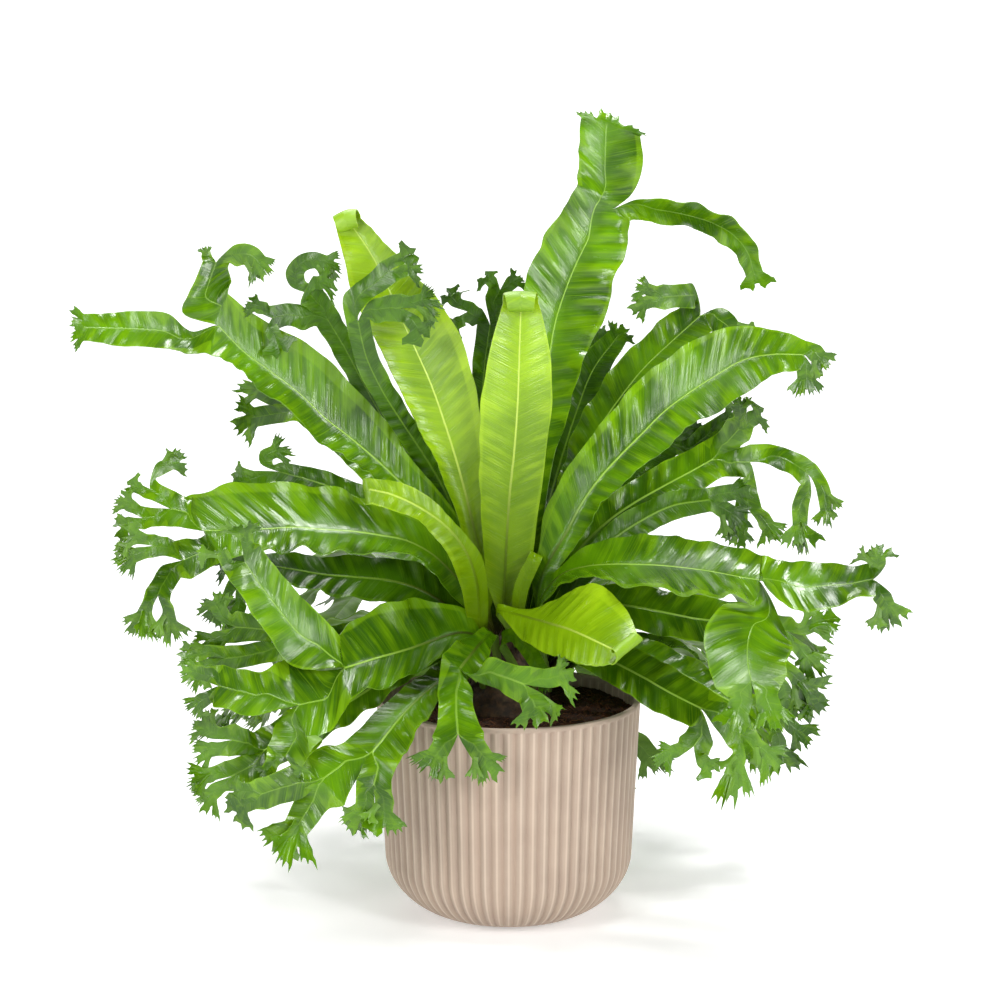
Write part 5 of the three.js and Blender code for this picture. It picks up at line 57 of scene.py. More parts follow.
# ---------------------------------------------------------------- fronds
# [name, kind, stretch]; a stretch is [rows, children, crest, roll]. A row is the left margin, the midrib and the right margin (x, y, z each).
# A child grows out of its half of its parent's last row. crest = [forks, length, spread], roll = [radius, turns, side].
FRONDS = [
  ["frond_top","mature",[[[3.3,17.5,186.8,5.5,16.8,186.8,7.6,16.1,186.7],[5.6,19.8,208.4,8.5,19.4,208.0,11.2,18.4,207.6],[7.0,14.2,232.4,11.5,14.5,231.9,15.7,13.2,231.1],[7.3,7.5,256.3,14.0,8.5,255.8,20.6,7.1,254.9],[5.0,6.2,277.5,16.1,8.2,277.1,24.4,6.2,277.5],[5.2,10.8,300.9,18.3,13.4,298.9,27.5,11.2,298.1],[5.4,16.0,324.3,20.4,19.2,320.6,31.4,16.7,318.7],[5.7,21.8,347.6,22.8,25.6,342.4,38.6,22.7,338.4],[6.1,28.4,371.0,25.7,32.8,364.1,44.4,29.5,358.5],[6.5,35.0,394.5,28.6,40.2,386.0,50.4,36.4,378.7],[8.6,41.9,417.8,32.4,47.7,407.9,59.3,43.2,397.9],[12.1,49.0,441.2,39.3,55.0,429.1,69.0,49.7,416.9],[23.1,55.2,462.3,47.9,60.9,449.8,73.8,54.8,437.7],[34.6,60.9,483.2,58.8,65.9,469.8,81.9,58.9,457.7],[48.0,66.0,502.9,73.4,70.0,486.0,85.0,62.0,478.7]],[[[[48.0,66.0,502.9,60.7,68.0,494.5,73.4,70.0,486.0],[49.3,70.3,514.3,66.8,73.3,504.8,86.9,71.1,494.1],[48.8,73.0,525.9,67.9,76.0,517.9,92.4,73.0,507.9],[49.4,75.2,537.5,68.2,78.2,531.2,94.8,75.3,522.6],[51.5,77.0,549.0,68.9,80.0,543.9,92.3,78.0,537.1]],[],[5,13.0,62],0,[0,0.2]],[[[73.4,70.0,486.0,79.2,66.0,482.4,85.0,62.0,478.7],[91.9,57.2,495.4,92.8,63.4,487.0,93.6,69.6,478.5],[109.8,51.5,494.9,109.1,58.8,485.9,108.4,66.2,476.9],[126.7,45.7,492.0,125.2,54.1,483.0,123.7,62.6,474.0],[143.5,41.8,486.7,140.9,50.1,478.4,138.3,58.4,469.9],[160.0,39.4,477.7,155.3,46.7,470.6,150.7,54.0,463.5],[172.0,38.3,462.6,165.7,44.1,458.4,159.4,49.8,454.2],[176.2,38.4,445.7,170.5,42.0,443.4,164.9,45.6,441.2]],[],[2,12.0,40],0]],0,0,[-0.45,9]]],
  ["frond_centre_young","young",[[[-3.1,8.8,194.9,-0.8,9.0,195.0,1.5,9.2,195.0],[-3.8,7.8,198.8,-1.3,8.1,199.2,1.2,8.0,199.4],[-5.1,4.9,203.2,-2.1,5.4,203.8,1.0,4.8,203.9],[-6.6,1.8,208.0,-2.8,2.3,208.6,1.0,1.6,208.5],[-8.1,-0.6,213.3,-3.2,0.4,213.1,1.7,-0.6,213.3],[-15.1,-3.9,234.5,-2.6,-1.1,233.4,11.8,-3.9,233.3],[-17.1,-6.5,256.9,-1.7,-2.4,255.5,16.6,-6.5,255.4],[-18.8,-8.3,279.1,-0.5,-3.4,277.6,19.6,-8.3,277.8],[-19.8,-9.5,301.1,1.1,-4.5,299.7,22.4,-9.5,299.9],[-20.0,-10.7,323.0,3.4,-5.7,321.7,25.1,-10.7,322.0],[-19.9,-12.3,344.9,5.2,-7.3,343.7,27.8,-12.3,344.0],[-18.0,-13.6,366.4,6.4,-8.7,365.5,29.6,-13.6,365.8],[-14.8,-12.9,387.5,7.1,-8.6,386.9,28.8,-12.9,387.4],[-9.7,-11.0,408.0,7.7,-7.7,407.9,25.5,-11.0,408.5],[-3.9,-8.0,428.2,8.4,-6.0,428.4,19.9,-8.0,428.9]],[],0,[7.5,1.15,1]]],
  ["frond_left_young","young",[[[-12.3,4.5,191.9,-11.2,6.5,192.0,-10.1,8.5,192.0],[-13.3,3.5,198.1,-12.2,6.0,198.8,-10.7,8.1,199.7],[-17.2,2.0,204.1,-15.0,4.8,205.7,-12.0,6.4,207.7],[-22.1,1.4,210.6,-17.4,3.4,212.8,-12.3,3.5,215.0],[-26.2,1.1,220.2,-18.6,3.1,219.8,-11.0,2.1,220.0],[-28.2,0.3,246.2,-18.7,3.6,246.4,-11.8,0.6,247.6],[-32.7,-0.2,271.7,-24.4,4.1,272.2,-12.7,-0.6,274.9],[-41.0,-0.1,296.1,-30.3,4.8,297.6,-14.2,-1.0,301.9],[-50.8,0.4,319.8,-37.2,5.4,322.4,-16.3,-0.6,328.6],[-62.3,1.4,342.4,-44.9,6.2,346.8,-19.7,0.2,355.0],[-73.5,3.3,365.1,-53.5,7.8,371.1,-26.0,1.8,380.8],[-84.2,5.5,387.7,-63.9,9.7,394.5,-33.4,3.7,406.0],[-95.5,7.0,409.6,-74.2,10.8,417.2,-47.8,4.9,427.7],[-106.3,8.9,431.3,-83.9,12.1,439.5,-64.9,6.9,447.1],[-112.4,12.0,455.0,-95.0,14.6,461.0,-82.9,10.4,465.6],[-118.0,16.0,478.6,-109.2,18.0,481.3,-100.8,15.0,484.1]],[],0,[7.0,1.2,1]]],
  ["fiddlehead","young",[[[10.6,-0.5,194.0,10.0,-2.7,194.0,9.4,-4.9,193.9],[10.5,-1.5,201.5,10.5,-4.0,200.9,10.2,-6.4,200.2],[6.9,-4.0,208.5,9.1,-6.1,208.4,10.4,-8.9,207.9],[3.5,-8.0,215.5,7.3,-8.4,216.0,10.8,-10.1,216.1],[2.5,-10.0,224.1,7.2,-10.0,223.1,11.9,-10.0,222.1],[4.1,-11.5,234.3,9.0,-11.5,232.7,13.9,-11.5,231.2],[8.0,-12.4,243.9,12.7,-12.4,241.7,17.4,-12.4,239.5],[12.5,-13.0,252.5,16.8,-13.0,250.3,21.1,-13.0,248.2]],[],0,[6,1.3,-1]]],
  ["frond_left_long","mature",[[[-19.4,0.4,184.8,-19.1,2.7,184.8,-18.8,5.0,184.7],[-22.2,2.0,201.5,-22.0,4.6,201.1,-21.3,7.2,200.6],[-21.1,4.5,220.5,-21.1,8.2,219.7,-19.8,11.6,218.8],[-23.3,6.8,238.3,-20.5,11.3,237.6,-16.3,14.7,237.4],[-26.7,9.8,246.4,-25.6,12.8,251.6,-24.0,15.8,259.5],[-43.7,8.9,261.3,-41.0,14.6,268.1,-36.9,18.9,279.4],[-58.1,6.9,279.0,-55.8,14.9,285.9,-52.0,20.3,298.0],[-75.8,3.9,293.4,-73.2,13.6,300.1,-66.9,19.5,316.9],[-94.2,2.4,307.7,-90.2,13.0,316.3,-80.9,19.0,337.3],[-113.4,2.1,321.3,-108.3,13.5,331.8,-96.4,19.5,357.0],[-132.5,0.6,335.1,-127.0,12.5,347.0,-113.9,18.5,375.1],[-148.9,-2.5,352.1,-143.9,9.5,364.2,-131.8,15.5,392.7],[-166.3,-5.8,367.3,-162.2,5.9,379.1,-152.0,11.4,406.7],[-183.2,-9.2,382.7,-180.5,1.8,393.4,-173.3,6.7,417.7],[-202.7,-12.8,393.5,-197.6,-2.8,412.0,-191.2,1.2,433.6]],[[[[-202.7,-12.8,393.5,-200.1,-7.8,402.8,-197.6,-2.8,412.0],[-219.6,-17.0,396.0,-218.2,-7.6,402.2,-216.2,-4.6,409.2],[-236.0,-19.9,398.6,-233.5,-13.1,409.5,-230.6,-9.2,420.7],[-252.5,-25.2,400.3,-250.6,-19.5,411.8,-248.6,-15.4,423.6],[-268.8,-30.5,402.8,-267.9,-25.8,413.0,-267.0,-21.6,423.2],[-284.7,-35.8,405.6,-285.0,-32.0,414.1,-285.4,-28.2,422.7]],[],[3,13.0,55],0],[[[-197.6,-2.8,412.0,-194.4,-0.8,422.8,-191.2,1.2,433.6],[-210.6,-6.2,415.0,-200.7,-0.8,426.3,-190.3,0.9,438.0],[-222.5,-4.3,420.9,-206.7,1.7,431.3,-190.6,3.6,442.0],[-218.5,-1.3,432.9,-205.0,4.5,439.3,-190.9,6.5,446.2],[-212.9,2.2,443.9,-202.3,6.9,447.0,-191.4,8.7,450.4],[-208.6,5.6,455.1,-199.8,9.0,454.2,-190.8,10.7,453.5]],[[[[-208.6,5.6,455.1,-204.2,7.3,454.7,-199.8,9.0,454.2],[-209.9,10.0,457.6,-206.0,10.0,458.6,-202.0,10.0,459.6],[-209.7,10.0,459.1,-206.3,10.0,460.0,-202.8,10.0,460.8],[-209.5,10.0,460.6,-206.6,10.0,461.3,-203.7,10.0,462.1]],[],[2,4.0,40],0],[[[-199.8,9.0,454.2,-195.3,9.8,453.9,-190.8,10.7,453.5],[-190.9,7.7,464.0,-188.9,10.0,457.9,-186.9,12.3,451.9],[-185.3,6.3,467.1,-184.2,9.0,459.9,-183.0,11.7,452.6],[-177.6,5.3,467.4,-179.2,8.0,460.0,-180.9,10.7,452.6],[-170.5,4.5,464.2,-174.4,7.0,458.3,-178.4,9.5,452.4],[-166.5,3.8,459.2,-170.9,6.0,454.8,-175.2,8.2,450.5]],[],[3,13.0,60],0]],0,0,[0,0.15]]],0,0]],
  ["frond_left_forked_dark","dark",[[[-18.1,14.2,178.5,-16.5,15.9,178.5,-14.9,17.6,178.5],[-23.4,18.4,193.9,-21.4,20.3,193.9,-19.1,21.9,194.2],[-28.8,21.5,211.3,-25.5,23.6,211.6,-21.7,24.5,212.3],[-35.1,26.3,227.6,-29.8,27.6,228.8,-24.5,27.1,230.6],[-42.3,34.0,239.2,-35.4,34.0,242.8,-28.6,34.0,246.4],[-54.5,45.6,258.0,-46.6,47.6,262.0,-38.7,49.5,265.9],[-66.7,52.3,278.0,-58.3,56.0,282.0,-50.0,59.7,286.0],[-78.5,55.4,299.1,-69.8,60.2,302.9,-61.1,64.9,306.8],[-89.1,56.7,320.6,-80.6,62.0,324.5,-72.0,67.3,328.5],[-100.1,49.3,342.9,-92.2,54.6,346.7,-84.2,59.9,350.6],[-110.4,37.2,366.1,-102.9,42.0,369.6,-95.4,46.8,373.1],[-120.3,27.2,388.5,-113.2,31.3,392.1,-106.1,35.3,395.8],[-131.9,16.7,409.5,-124.4,20.0,413.7,-116.8,23.3,417.9]],[[[[-131.9,16.7,409.5,-128.1,18.4,411.6,-124.4,20.0,413.7],[-141.2,13.6,407.4,-139.5,15.1,415.6,-137.9,16.6,423.7],[-150.7,8.7,410.6,-150.7,10.1,418.4,-150.7,11.6,426.2],[-160.1,4.4,408.4,-161.8,5.9,416.5,-163.5,7.4,424.7]],[[[[-160.1,4.4,408.4,-160.9,5.2,412.5,-161.8,5.9,416.5],[-158.5,3.6,412.9,-162.9,3.6,410.3,-167.3,3.6,407.6],[-156.8,3.2,409.2,-161.0,3.2,406.7,-165.2,3.2,404.2],[-155.1,2.9,405.4,-159.1,2.9,403.1,-163.1,2.9,400.7]],[],[2,12.0,55],0],[[[-161.8,5.9,416.5,-162.7,6.7,420.6,-163.5,7.4,424.7],[-169.1,3.5,418.2,-167.0,3.5,422.9,-164.9,3.5,427.6],[-171.2,3.0,419.7,-169.3,3.0,423.9,-167.5,3.0,428.2],[-173.3,2.5,421.2,-171.7,2.5,424.9,-170.0,2.5,428.7]],[],[2,9.0,55],0]],0,0],[[[-124.4,20.0,413.7,-120.6,21.6,415.8,-116.8,23.3,417.9],[-137.2,14.5,420.4,-130.9,16.0,425.8,-124.6,17.5,431.3],[-139.3,12.5,423.5,-133.1,14.0,428.8,-126.9,15.5,434.1],[-142.6,10.3,425.5,-135.4,12.0,431.7,-128.2,13.7,437.9]],[[[[-142.6,10.3,425.5,-139.0,11.1,428.6,-135.4,12.0,431.7],[-134.3,10.0,444.4,-133.1,10.0,439.5,-131.9,10.0,434.5],[-131.3,7.0,445.1,-130.2,7.0,440.4,-129.0,7.0,435.7],[-128.3,4.0,445.8,-127.2,4.0,441.4,-126.2,4.0,436.9]],[],[3,14.0,60],0],[[[-135.4,12.0,431.7,-131.8,12.9,434.8,-128.2,13.7,437.9],[-150.0,12.0,437.8,-144.2,12.0,439.3,-138.3,12.0,440.7],[-152.3,11.0,448.7,-146.0,11.0,447.4,-139.8,11.0,446.1],[-144.0,10.0,459.0,-140.9,10.0,453.9,-137.7,10.0,448.8],[-132.9,9.0,461.4,-132.7,9.0,455.8,-132.6,9.0,450.2],[-123.9,8.0,459.2,-124.6,8.0,454.7,-125.4,8.0,450.1]],[],[2,13.0,40],0]],0,0]],0,0]],
  ["frond_over_young","dark",[[[-19.5,5.4,183.8,-18.7,7.5,183.8,-17.8,9.7,183.8],[-25.1,6.8,200.4,-24.0,9.1,200.4,-22.5,11.2,200.5],[-29.6,8.8,219.1,-27.2,11.1,219.2,-24.2,12.4,219.4],[-34.2,13.6,237.6,-30.1,15.0,237.9,-25.8,14.8,238.5],[-38.8,19.8,253.8,-33.3,19.8,254.9,-27.9,19.8,256.1],[-45.6,28.8,276.4,-38.9,29.6,278.5,-32.1,30.3,280.6],[-56.2,30.7,297.7,-49.2,32.1,301.2,-42.1,33.4,304.8],[-69.1,21.9,319.8,-62.1,23.4,324.2,-55.1,24.8,328.5],[-82.1,9.3,342.2,-75.2,10.8,346.6,-68.3,12.2,350.9],[-94.3,-4.9,365.4,-87.2,-3.4,369.2,-80.0,-1.9,373.0],[-104.3,-14.5,389.8,-96.7,-13.0,392.3,-89.1,-11.5,394.9],[-109.5,-21.5,414.8,-101.7,-20.0,416.6,-93.9,-18.5,418.4]],[[[[-109.5,-21.5,414.8,-105.6,-20.7,415.7,-101.7,-20.0,416.6],[-111.7,-17.1,432.6,-105.7,-20.0,428.1,-99.7,-22.9,423.5],[-103.9,-20.1,442.2,-98.5,-22.9,436.9,-93.2,-25.8,431.6],[-94.2,-22.0,449.3,-89.5,-24.8,443.6,-84.7,-27.7,437.9],[-86.5,-22.9,456.9,-81.0,-26.0,450.9,-75.6,-29.1,444.9]],[[[[-86.5,-22.9,456.9,-83.8,-24.4,453.9,-81.0,-26.0,450.9],[-78.9,-27.0,461.7,-76.9,-27.0,457.7,-74.9,-27.0,453.6],[-76.1,-27.0,462.8,-74.3,-27.0,459.0,-72.4,-27.0,455.2],[-73.3,-27.0,463.9,-71.6,-27.0,460.3,-69.8,-27.0,456.7]],[],[2,12.0,60],0],[[[-81.0,-26.0,450.9,-78.3,-27.6,447.9,-75.6,-29.1,444.9],[-74.2,-27.0,455.3,-73.0,-27.0,451.0,-71.7,-27.0,446.6],[-71.8,-27.0,455.7,-70.6,-27.0,451.6,-69.5,-27.0,447.5],[-69.3,-27.0,456.2,-68.3,-27.0,452.3,-67.2,-27.0,448.4]],[],[2,12.0,60],0]],0,0],[[[-101.7,-20.0,416.6,-97.8,-19.3,417.5,-93.9,-18.5,418.4],[-94.3,-23.0,431.4,-92.2,-20.0,423.3,-90.2,-17.0,415.3],[-83.8,-26.0,434.5,-82.8,-23.0,426.3,-81.9,-20.0,418.0],[-73.0,-29.5,436.4,-73.1,-26.0,426.6,-73.3,-22.5,416.8]],[[[[-73.0,-29.5,436.4,-73.1,-27.8,431.5,-73.1,-26.0,426.6],[-66.4,-28.0,435.0,-65.0,-28.0,430.2,-63.6,-28.0,425.4],[-63.0,-28.0,435.8,-61.6,-28.0,431.2,-60.3,-28.0,426.6],[-59.5,-28.0,436.6,-58.3,-28.0,432.2,-57.0,-28.0,427.9]],[],[3,14.0,70],0],[[[-73.1,-26.0,426.6,-73.2,-24.2,421.7,-73.3,-22.5,416.8],[-62.0,-28.0,423.4,-66.4,-28.0,420.1,-70.8,-28.0,416.8],[-60.2,-28.0,420.6,-64.4,-28.0,417.4,-68.6,-28.0,414.2],[-58.3,-28.0,417.7,-62.4,-28.0,414.7,-66.4,-28.0,411.7]],[],[2,12.0,60],0]],0,0]],0,0]],
  ["frond_left_inner_crest","mature",[[[-26.8,2.4,168.3,-26.4,4.7,168.3,-26.0,6.9,168.3],[-31.4,3.2,183.8,-30.8,5.9,183.7,-29.8,8.3,183.7],[-33.3,3.8,202.9,-31.4,7.0,202.7,-28.5,9.3,202.6],[-36.7,6.2,221.3,-32.1,8.6,221.6,-27.0,9.2,222.2],[-42.8,10.6,232.3,-37.2,11.9,236.3,-31.6,13.1,240.3],[-62.8,20.0,254.5,-55.9,23.4,259.3,-48.9,26.9,264.1],[-82.9,27.9,277.2,-75.2,33.4,282.6,-67.5,38.9,288.1],[-103.0,36.4,299.5,-95.4,42.4,305.7,-87.8,48.4,312.0],[-123.9,40.6,320.8,-117.6,46.4,327.7,-111.3,52.1,334.6],[-147.5,43.2,339.7,-142.8,48.0,345.9,-138.2,52.8,352.1]],[[[[-147.5,43.2,339.7,-145.2,45.6,342.8,-142.8,48.0,345.9],[-158.1,48.0,338.2,-159.0,48.0,345.2,-159.9,48.0,352.1],[-167.1,46.0,337.2,-168.0,46.0,344.1,-169.0,46.0,351.1],[-175.9,44.0,336.0,-177.0,44.0,342.9,-178.0,44.0,349.8]],[],[3,20.0,60],0],[[[-142.8,48.0,345.9,-140.5,50.4,349.0,-138.2,52.8,352.1],[-159.8,48.0,348.2,-157.5,48.0,354.4,-155.2,48.0,360.6],[-168.4,45.0,351.8,-165.8,45.0,357.9,-163.2,45.0,364.0],[-176.6,42.0,356.3,-173.7,42.0,362.2,-170.8,42.0,368.2]],[],[3,18.0,60],0]],0,0]],
  ["frond_right_long","mature",[[[17.0,0.8,187.8,16.8,-1.5,187.8,16.6,-3.8,187.7],[19.9,0.9,202.8,20.3,-2.0,202.6,20.2,-5.0,202.4],[18.2,0.7,220.2,20.9,-2.9,219.8,22.2,-7.2,219.5],[16.5,-1.1,238.1,22.8,-3.3,236.8,28.0,-7.7,235.7],[21.1,-0.8,258.7,29.0,-2.8,251.0,34.9,-5.8,245.6],[24.9,2.6,282.1,39.7,-1.8,268.5,47.5,-7.9,261.9],[35.0,5.3,303.9,49.7,-1.2,287.7,57.2,-9.9,280.1],[49.1,7.2,323.4,62.0,-1.2,305.8,69.3,-11.6,296.4],[63.1,9.0,342.9,76.1,-1.4,321.9,83.6,-13.2,310.4],[78.8,10.3,361.0,91.2,-1.5,337.4,99.1,-14.4,322.7],[95.7,9.8,378.1,106.5,-2.1,353.1,113.8,-14.9,336.0],[114.0,6.4,393.5,123.1,-4.9,366.4,128.8,-16.7,349.0],[134.6,1.4,405.3,141.1,-8.9,378.9,146.3,-19.2,357.5],[157.0,-4.1,412.0,159.4,-13.0,390.0,161.7,-21.7,369.6],[179.8,-11.4,411.0,178.7,-18.1,394.4,177.7,-24.7,380.4],[200.9,-20.0,403.7,198.7,-24.0,394.8,196.3,-28.0,384.9]],[[[[200.9,-20.0,403.7,199.8,-22.0,399.2,198.7,-24.0,394.8],[210.2,-26.0,401.4,205.7,-26.0,396.9,201.3,-26.0,392.4],[211.9,-26.0,399.1,207.8,-26.0,394.9,203.7,-26.0,390.6],[213.7,-26.0,396.8,209.9,-26.0,392.8,206.0,-26.0,388.9]],[],[2,10.0,50],0],[[[198.7,-24.0,394.8,197.5,-26.0,389.8,196.3,-28.0,384.9],[206.8,-27.0,384.8,200.5,-27.0,384.8,194.1,-27.0,384.8],[206.7,-27.0,382.1,200.5,-27.0,382.1,194.4,-27.0,382.1],[206.5,-27.0,379.4,200.6,-27.0,379.4,194.6,-27.0,379.4]],[],[3,13.0,70],0]],0,0]],
  ["frond_right_back","mature",[[[16.3,12.1,183.8,17.4,10.1,183.8,18.6,8.1,183.7],[19.9,12.2,196.9,21.6,10.3,196.5,23.0,8.2,196.2],[19.8,9.4,211.7,22.9,8.3,211.4,25.3,6.1,211.1],[19.2,7.2,226.5,23.5,7.4,226.0,27.6,6.1,225.7],[20.2,11.2,239.9,25.6,11.2,238.3,30.9,11.2,236.7],[25.5,26.6,263.7,33.2,25.0,261.5,40.9,23.3,259.3],[32.1,39.7,288.4,41.8,36.0,285.4,51.5,32.3,282.5],[40.2,50.9,313.6,51.5,44.9,309.5,62.9,38.9,305.3],[50.4,60.7,339.3,63.3,52.0,332.7,76.1,43.4,326.3],[66.1,69.0,362.8,78.7,58.6,354.5,91.1,48.1,346.2],[84.2,73.2,385.1,95.7,62.0,375.4,107.1,50.8,365.7],[104.9,72.1,404.8,115.1,61.8,394.3,125.1,51.4,383.9],[126.1,67.6,421.5,134.6,60.0,412.3,143.0,52.4,403.1]],[[[[126.1,67.6,421.5,130.4,63.8,416.9,134.6,60.0,412.3],[130.1,56.0,418.2,130.0,56.0,426.8,129.9,56.0,435.3],[123.1,54.0,418.6,122.8,54.0,427.0,122.6,54.0,435.3],[116.2,52.0,418.9,115.7,52.0,426.9,115.2,52.0,434.9],[109.3,50.0,417.6,108.6,50.0,426.6,108.0,50.0,435.6]],[[[[109.3,50.0,417.6,108.9,50.0,422.1,108.6,50.0,426.6],[101.5,48.0,419.5,100.2,48.0,424.0,98.8,48.0,428.6],[99.1,48.0,418.8,97.7,48.0,423.3,96.4,48.0,427.9],[96.6,48.0,418.1,95.3,48.0,422.6,94.0,48.0,427.2]],[],[3,12.0,60],0],[[[108.6,50.0,426.6,108.3,50.0,431.1,108.0,50.0,435.6],[99.7,48.0,426.0,101.5,48.0,430.3,103.3,48.0,434.7],[97.3,48.0,427.3,99.1,48.0,431.4,100.8,48.0,435.5],[95.0,48.0,428.6,96.6,48.0,432.4,98.2,48.0,436.3]],[],[2,10.0,50],0]],0,0],[[[134.6,60.0,412.3,138.8,56.2,407.7,143.0,52.4,403.1],[149.2,67.2,418.2,144.6,62.0,410.7,140.1,56.8,403.2],[159.4,66.9,411.9,153.4,62.0,406.0,147.4,57.1,400.2],[165.4,66.3,401.7,158.9,62.0,398.0,152.3,57.7,394.2]],[],[2,9.0,50],0]],0,0]],
  ["frond_behind_top","dark",[[[4.6,21.6,180.5,6.8,20.9,180.5,9.0,20.2,180.5],[7.6,25.3,199.4,10.1,24.8,198.9,12.5,23.9,198.5],[10.8,23.4,221.3,14.1,23.5,220.7,17.1,22.5,220.0],[14.1,22.6,242.7,18.3,23.2,241.7,22.4,22.2,240.9],[16.7,30.0,259.1,22.1,30.0,257.8,27.6,30.0,256.5],[21.3,57.1,286.1,29.8,56.5,283.9,38.2,55.9,281.7],[29.3,76.9,314.7,38.9,75.5,311.9,48.6,74.1,309.1],[38.8,91.1,344.3,49.1,88.9,340.8,59.4,86.6,337.3],[51.2,100.2,375.0,61.0,97.1,369.9,70.8,94.0,364.9],[73.1,104.5,397.5,78.8,102.0,393.5,84.5,99.5,389.5]],[],[3,12.0,60],0]],
  ["frond_back_crest","dark",[[[-9.4,17.0,184.8,-7.2,17.9,184.8,-5.1,18.8,184.8],[-11.2,19.8,198.8,-8.8,20.8,198.9,-6.3,21.4,199.0],[-12.8,20.4,214.9,-9.7,21.6,215.0,-6.4,21.6,215.1],[-14.7,22.0,230.7,-10.5,22.9,230.8,-6.2,22.4,231.1],[-17.0,27.9,243.4,-11.5,27.9,244.0,-5.9,27.9,244.5],[-22.6,48.4,272.9,-14.8,48.4,273.6,-7.0,48.4,274.3],[-26.3,65.2,304.1,-17.4,65.2,304.6,-8.5,65.2,305.1],[-27.7,79.3,336.5,-18.7,79.3,336.5,-9.7,79.3,336.5],[-26.0,85.4,370.4,-17.4,85.4,369.7,-8.9,85.4,368.9],[-22.2,88.0,404.2,-13.0,88.0,402.9,-3.8,88.0,401.7]],[[[[-22.2,88.0,404.2,-17.6,88.0,403.5,-13.0,88.0,402.9],[-25.4,86.0,401.8,-21.6,86.0,408.2,-17.8,86.0,414.5],[-28.7,83.0,404.6,-25.1,83.0,410.6,-21.5,83.0,416.6],[-32.6,80.0,406.3,-28.6,80.0,413.1,-24.6,80.0,419.8]],[[[[-32.6,80.0,406.3,-30.6,80.0,409.7,-28.6,80.0,413.1],[-30.2,78.0,403.6,-32.8,78.0,407.6,-35.5,78.0,411.5],[-32.5,78.0,402.4,-35.0,78.0,406.1,-37.5,78.0,409.9],[-34.8,78.0,401.2,-37.1,78.0,404.7,-39.4,78.0,408.3]],[],[2,11.0,60],0],[[[-28.6,80.0,413.1,-26.6,80.0,416.4,-24.6,80.0,419.8],[-39.0,78.0,415.6,-35.7,78.0,418.9,-32.3,78.0,422.3],[-41.0,78.0,417.9,-37.8,78.0,421.1,-34.6,78.0,424.3],[-42.9,78.0,420.2,-39.9,78.0,423.2,-36.9,78.0,426.2]],[],[2,10.0,50],0]],0,0],[[[-13.0,88.0,402.9,-8.4,88.0,402.3,-3.8,88.0,401.7],[-17.4,86.0,423.2,-10.2,86.0,419.6,-3.0,86.0,416.0],[-14.9,84.0,427.5,-8.0,84.0,424.0,-1.1,84.0,420.6],[-13.7,82.0,432.4,-5.9,82.0,428.5,1.9,82.0,424.6]],[[[[-13.7,82.0,432.4,-9.8,82.0,430.4,-5.9,82.0,428.5],[-13.5,80.0,429.6,-10.1,80.0,432.9,-6.8,80.0,436.3],[-14.7,80.0,431.2,-11.6,80.0,434.4,-8.4,80.0,437.5],[-16.0,80.0,432.8,-13.0,80.0,435.8,-10.0,80.0,438.8]],[],[2,9.0,60],0],[[[-5.9,82.0,428.5,-2.0,82.0,426.6,1.9,82.0,424.6],[-3.2,80.0,436.6,-0.2,80.0,432.2,2.7,80.0,427.9],[-0.9,80.0,437.8,1.9,80.0,433.7,4.7,80.0,429.5],[1.4,80.0,439.0,4.0,80.0,435.1,6.7,80.0,431.1]],[],[2,10.0,60],0]],0,0]],0,0]],
  ["frond_back_strap","dark",[[[-7.4,20.3,181.5,-5.2,20.9,181.5,-3.0,21.5,181.5],[-9.1,25.2,196.1,-6.7,25.9,196.1,-4.1,26.2,196.2],[-10.3,27.7,213.3,-7.4,28.6,213.2,-4.3,28.4,213.3],[-11.4,31.4,229.8,-7.6,32.3,229.5,-3.7,31.8,229.7],[-12.3,40.1,241.8,-7.4,40.1,241.6,-2.4,40.1,241.4],[-13.6,77.7,272.6,-6.1,77.7,271.9,1.3,77.7,271.1],[-8.5,103.2,307.1,0.2,103.2,304.8,8.8,103.2,302.5],[4.9,119.9,342.6,13.0,119.9,337.8,21.2,119.9,332.9],[31.1,131.0,370.7,37.3,131.0,364.0,43.5,131.0,357.4],[62.2,138.0,392.9,67.2,138.0,386.6,72.2,138.0,380.2]],[],[3,14.0,60],0]],
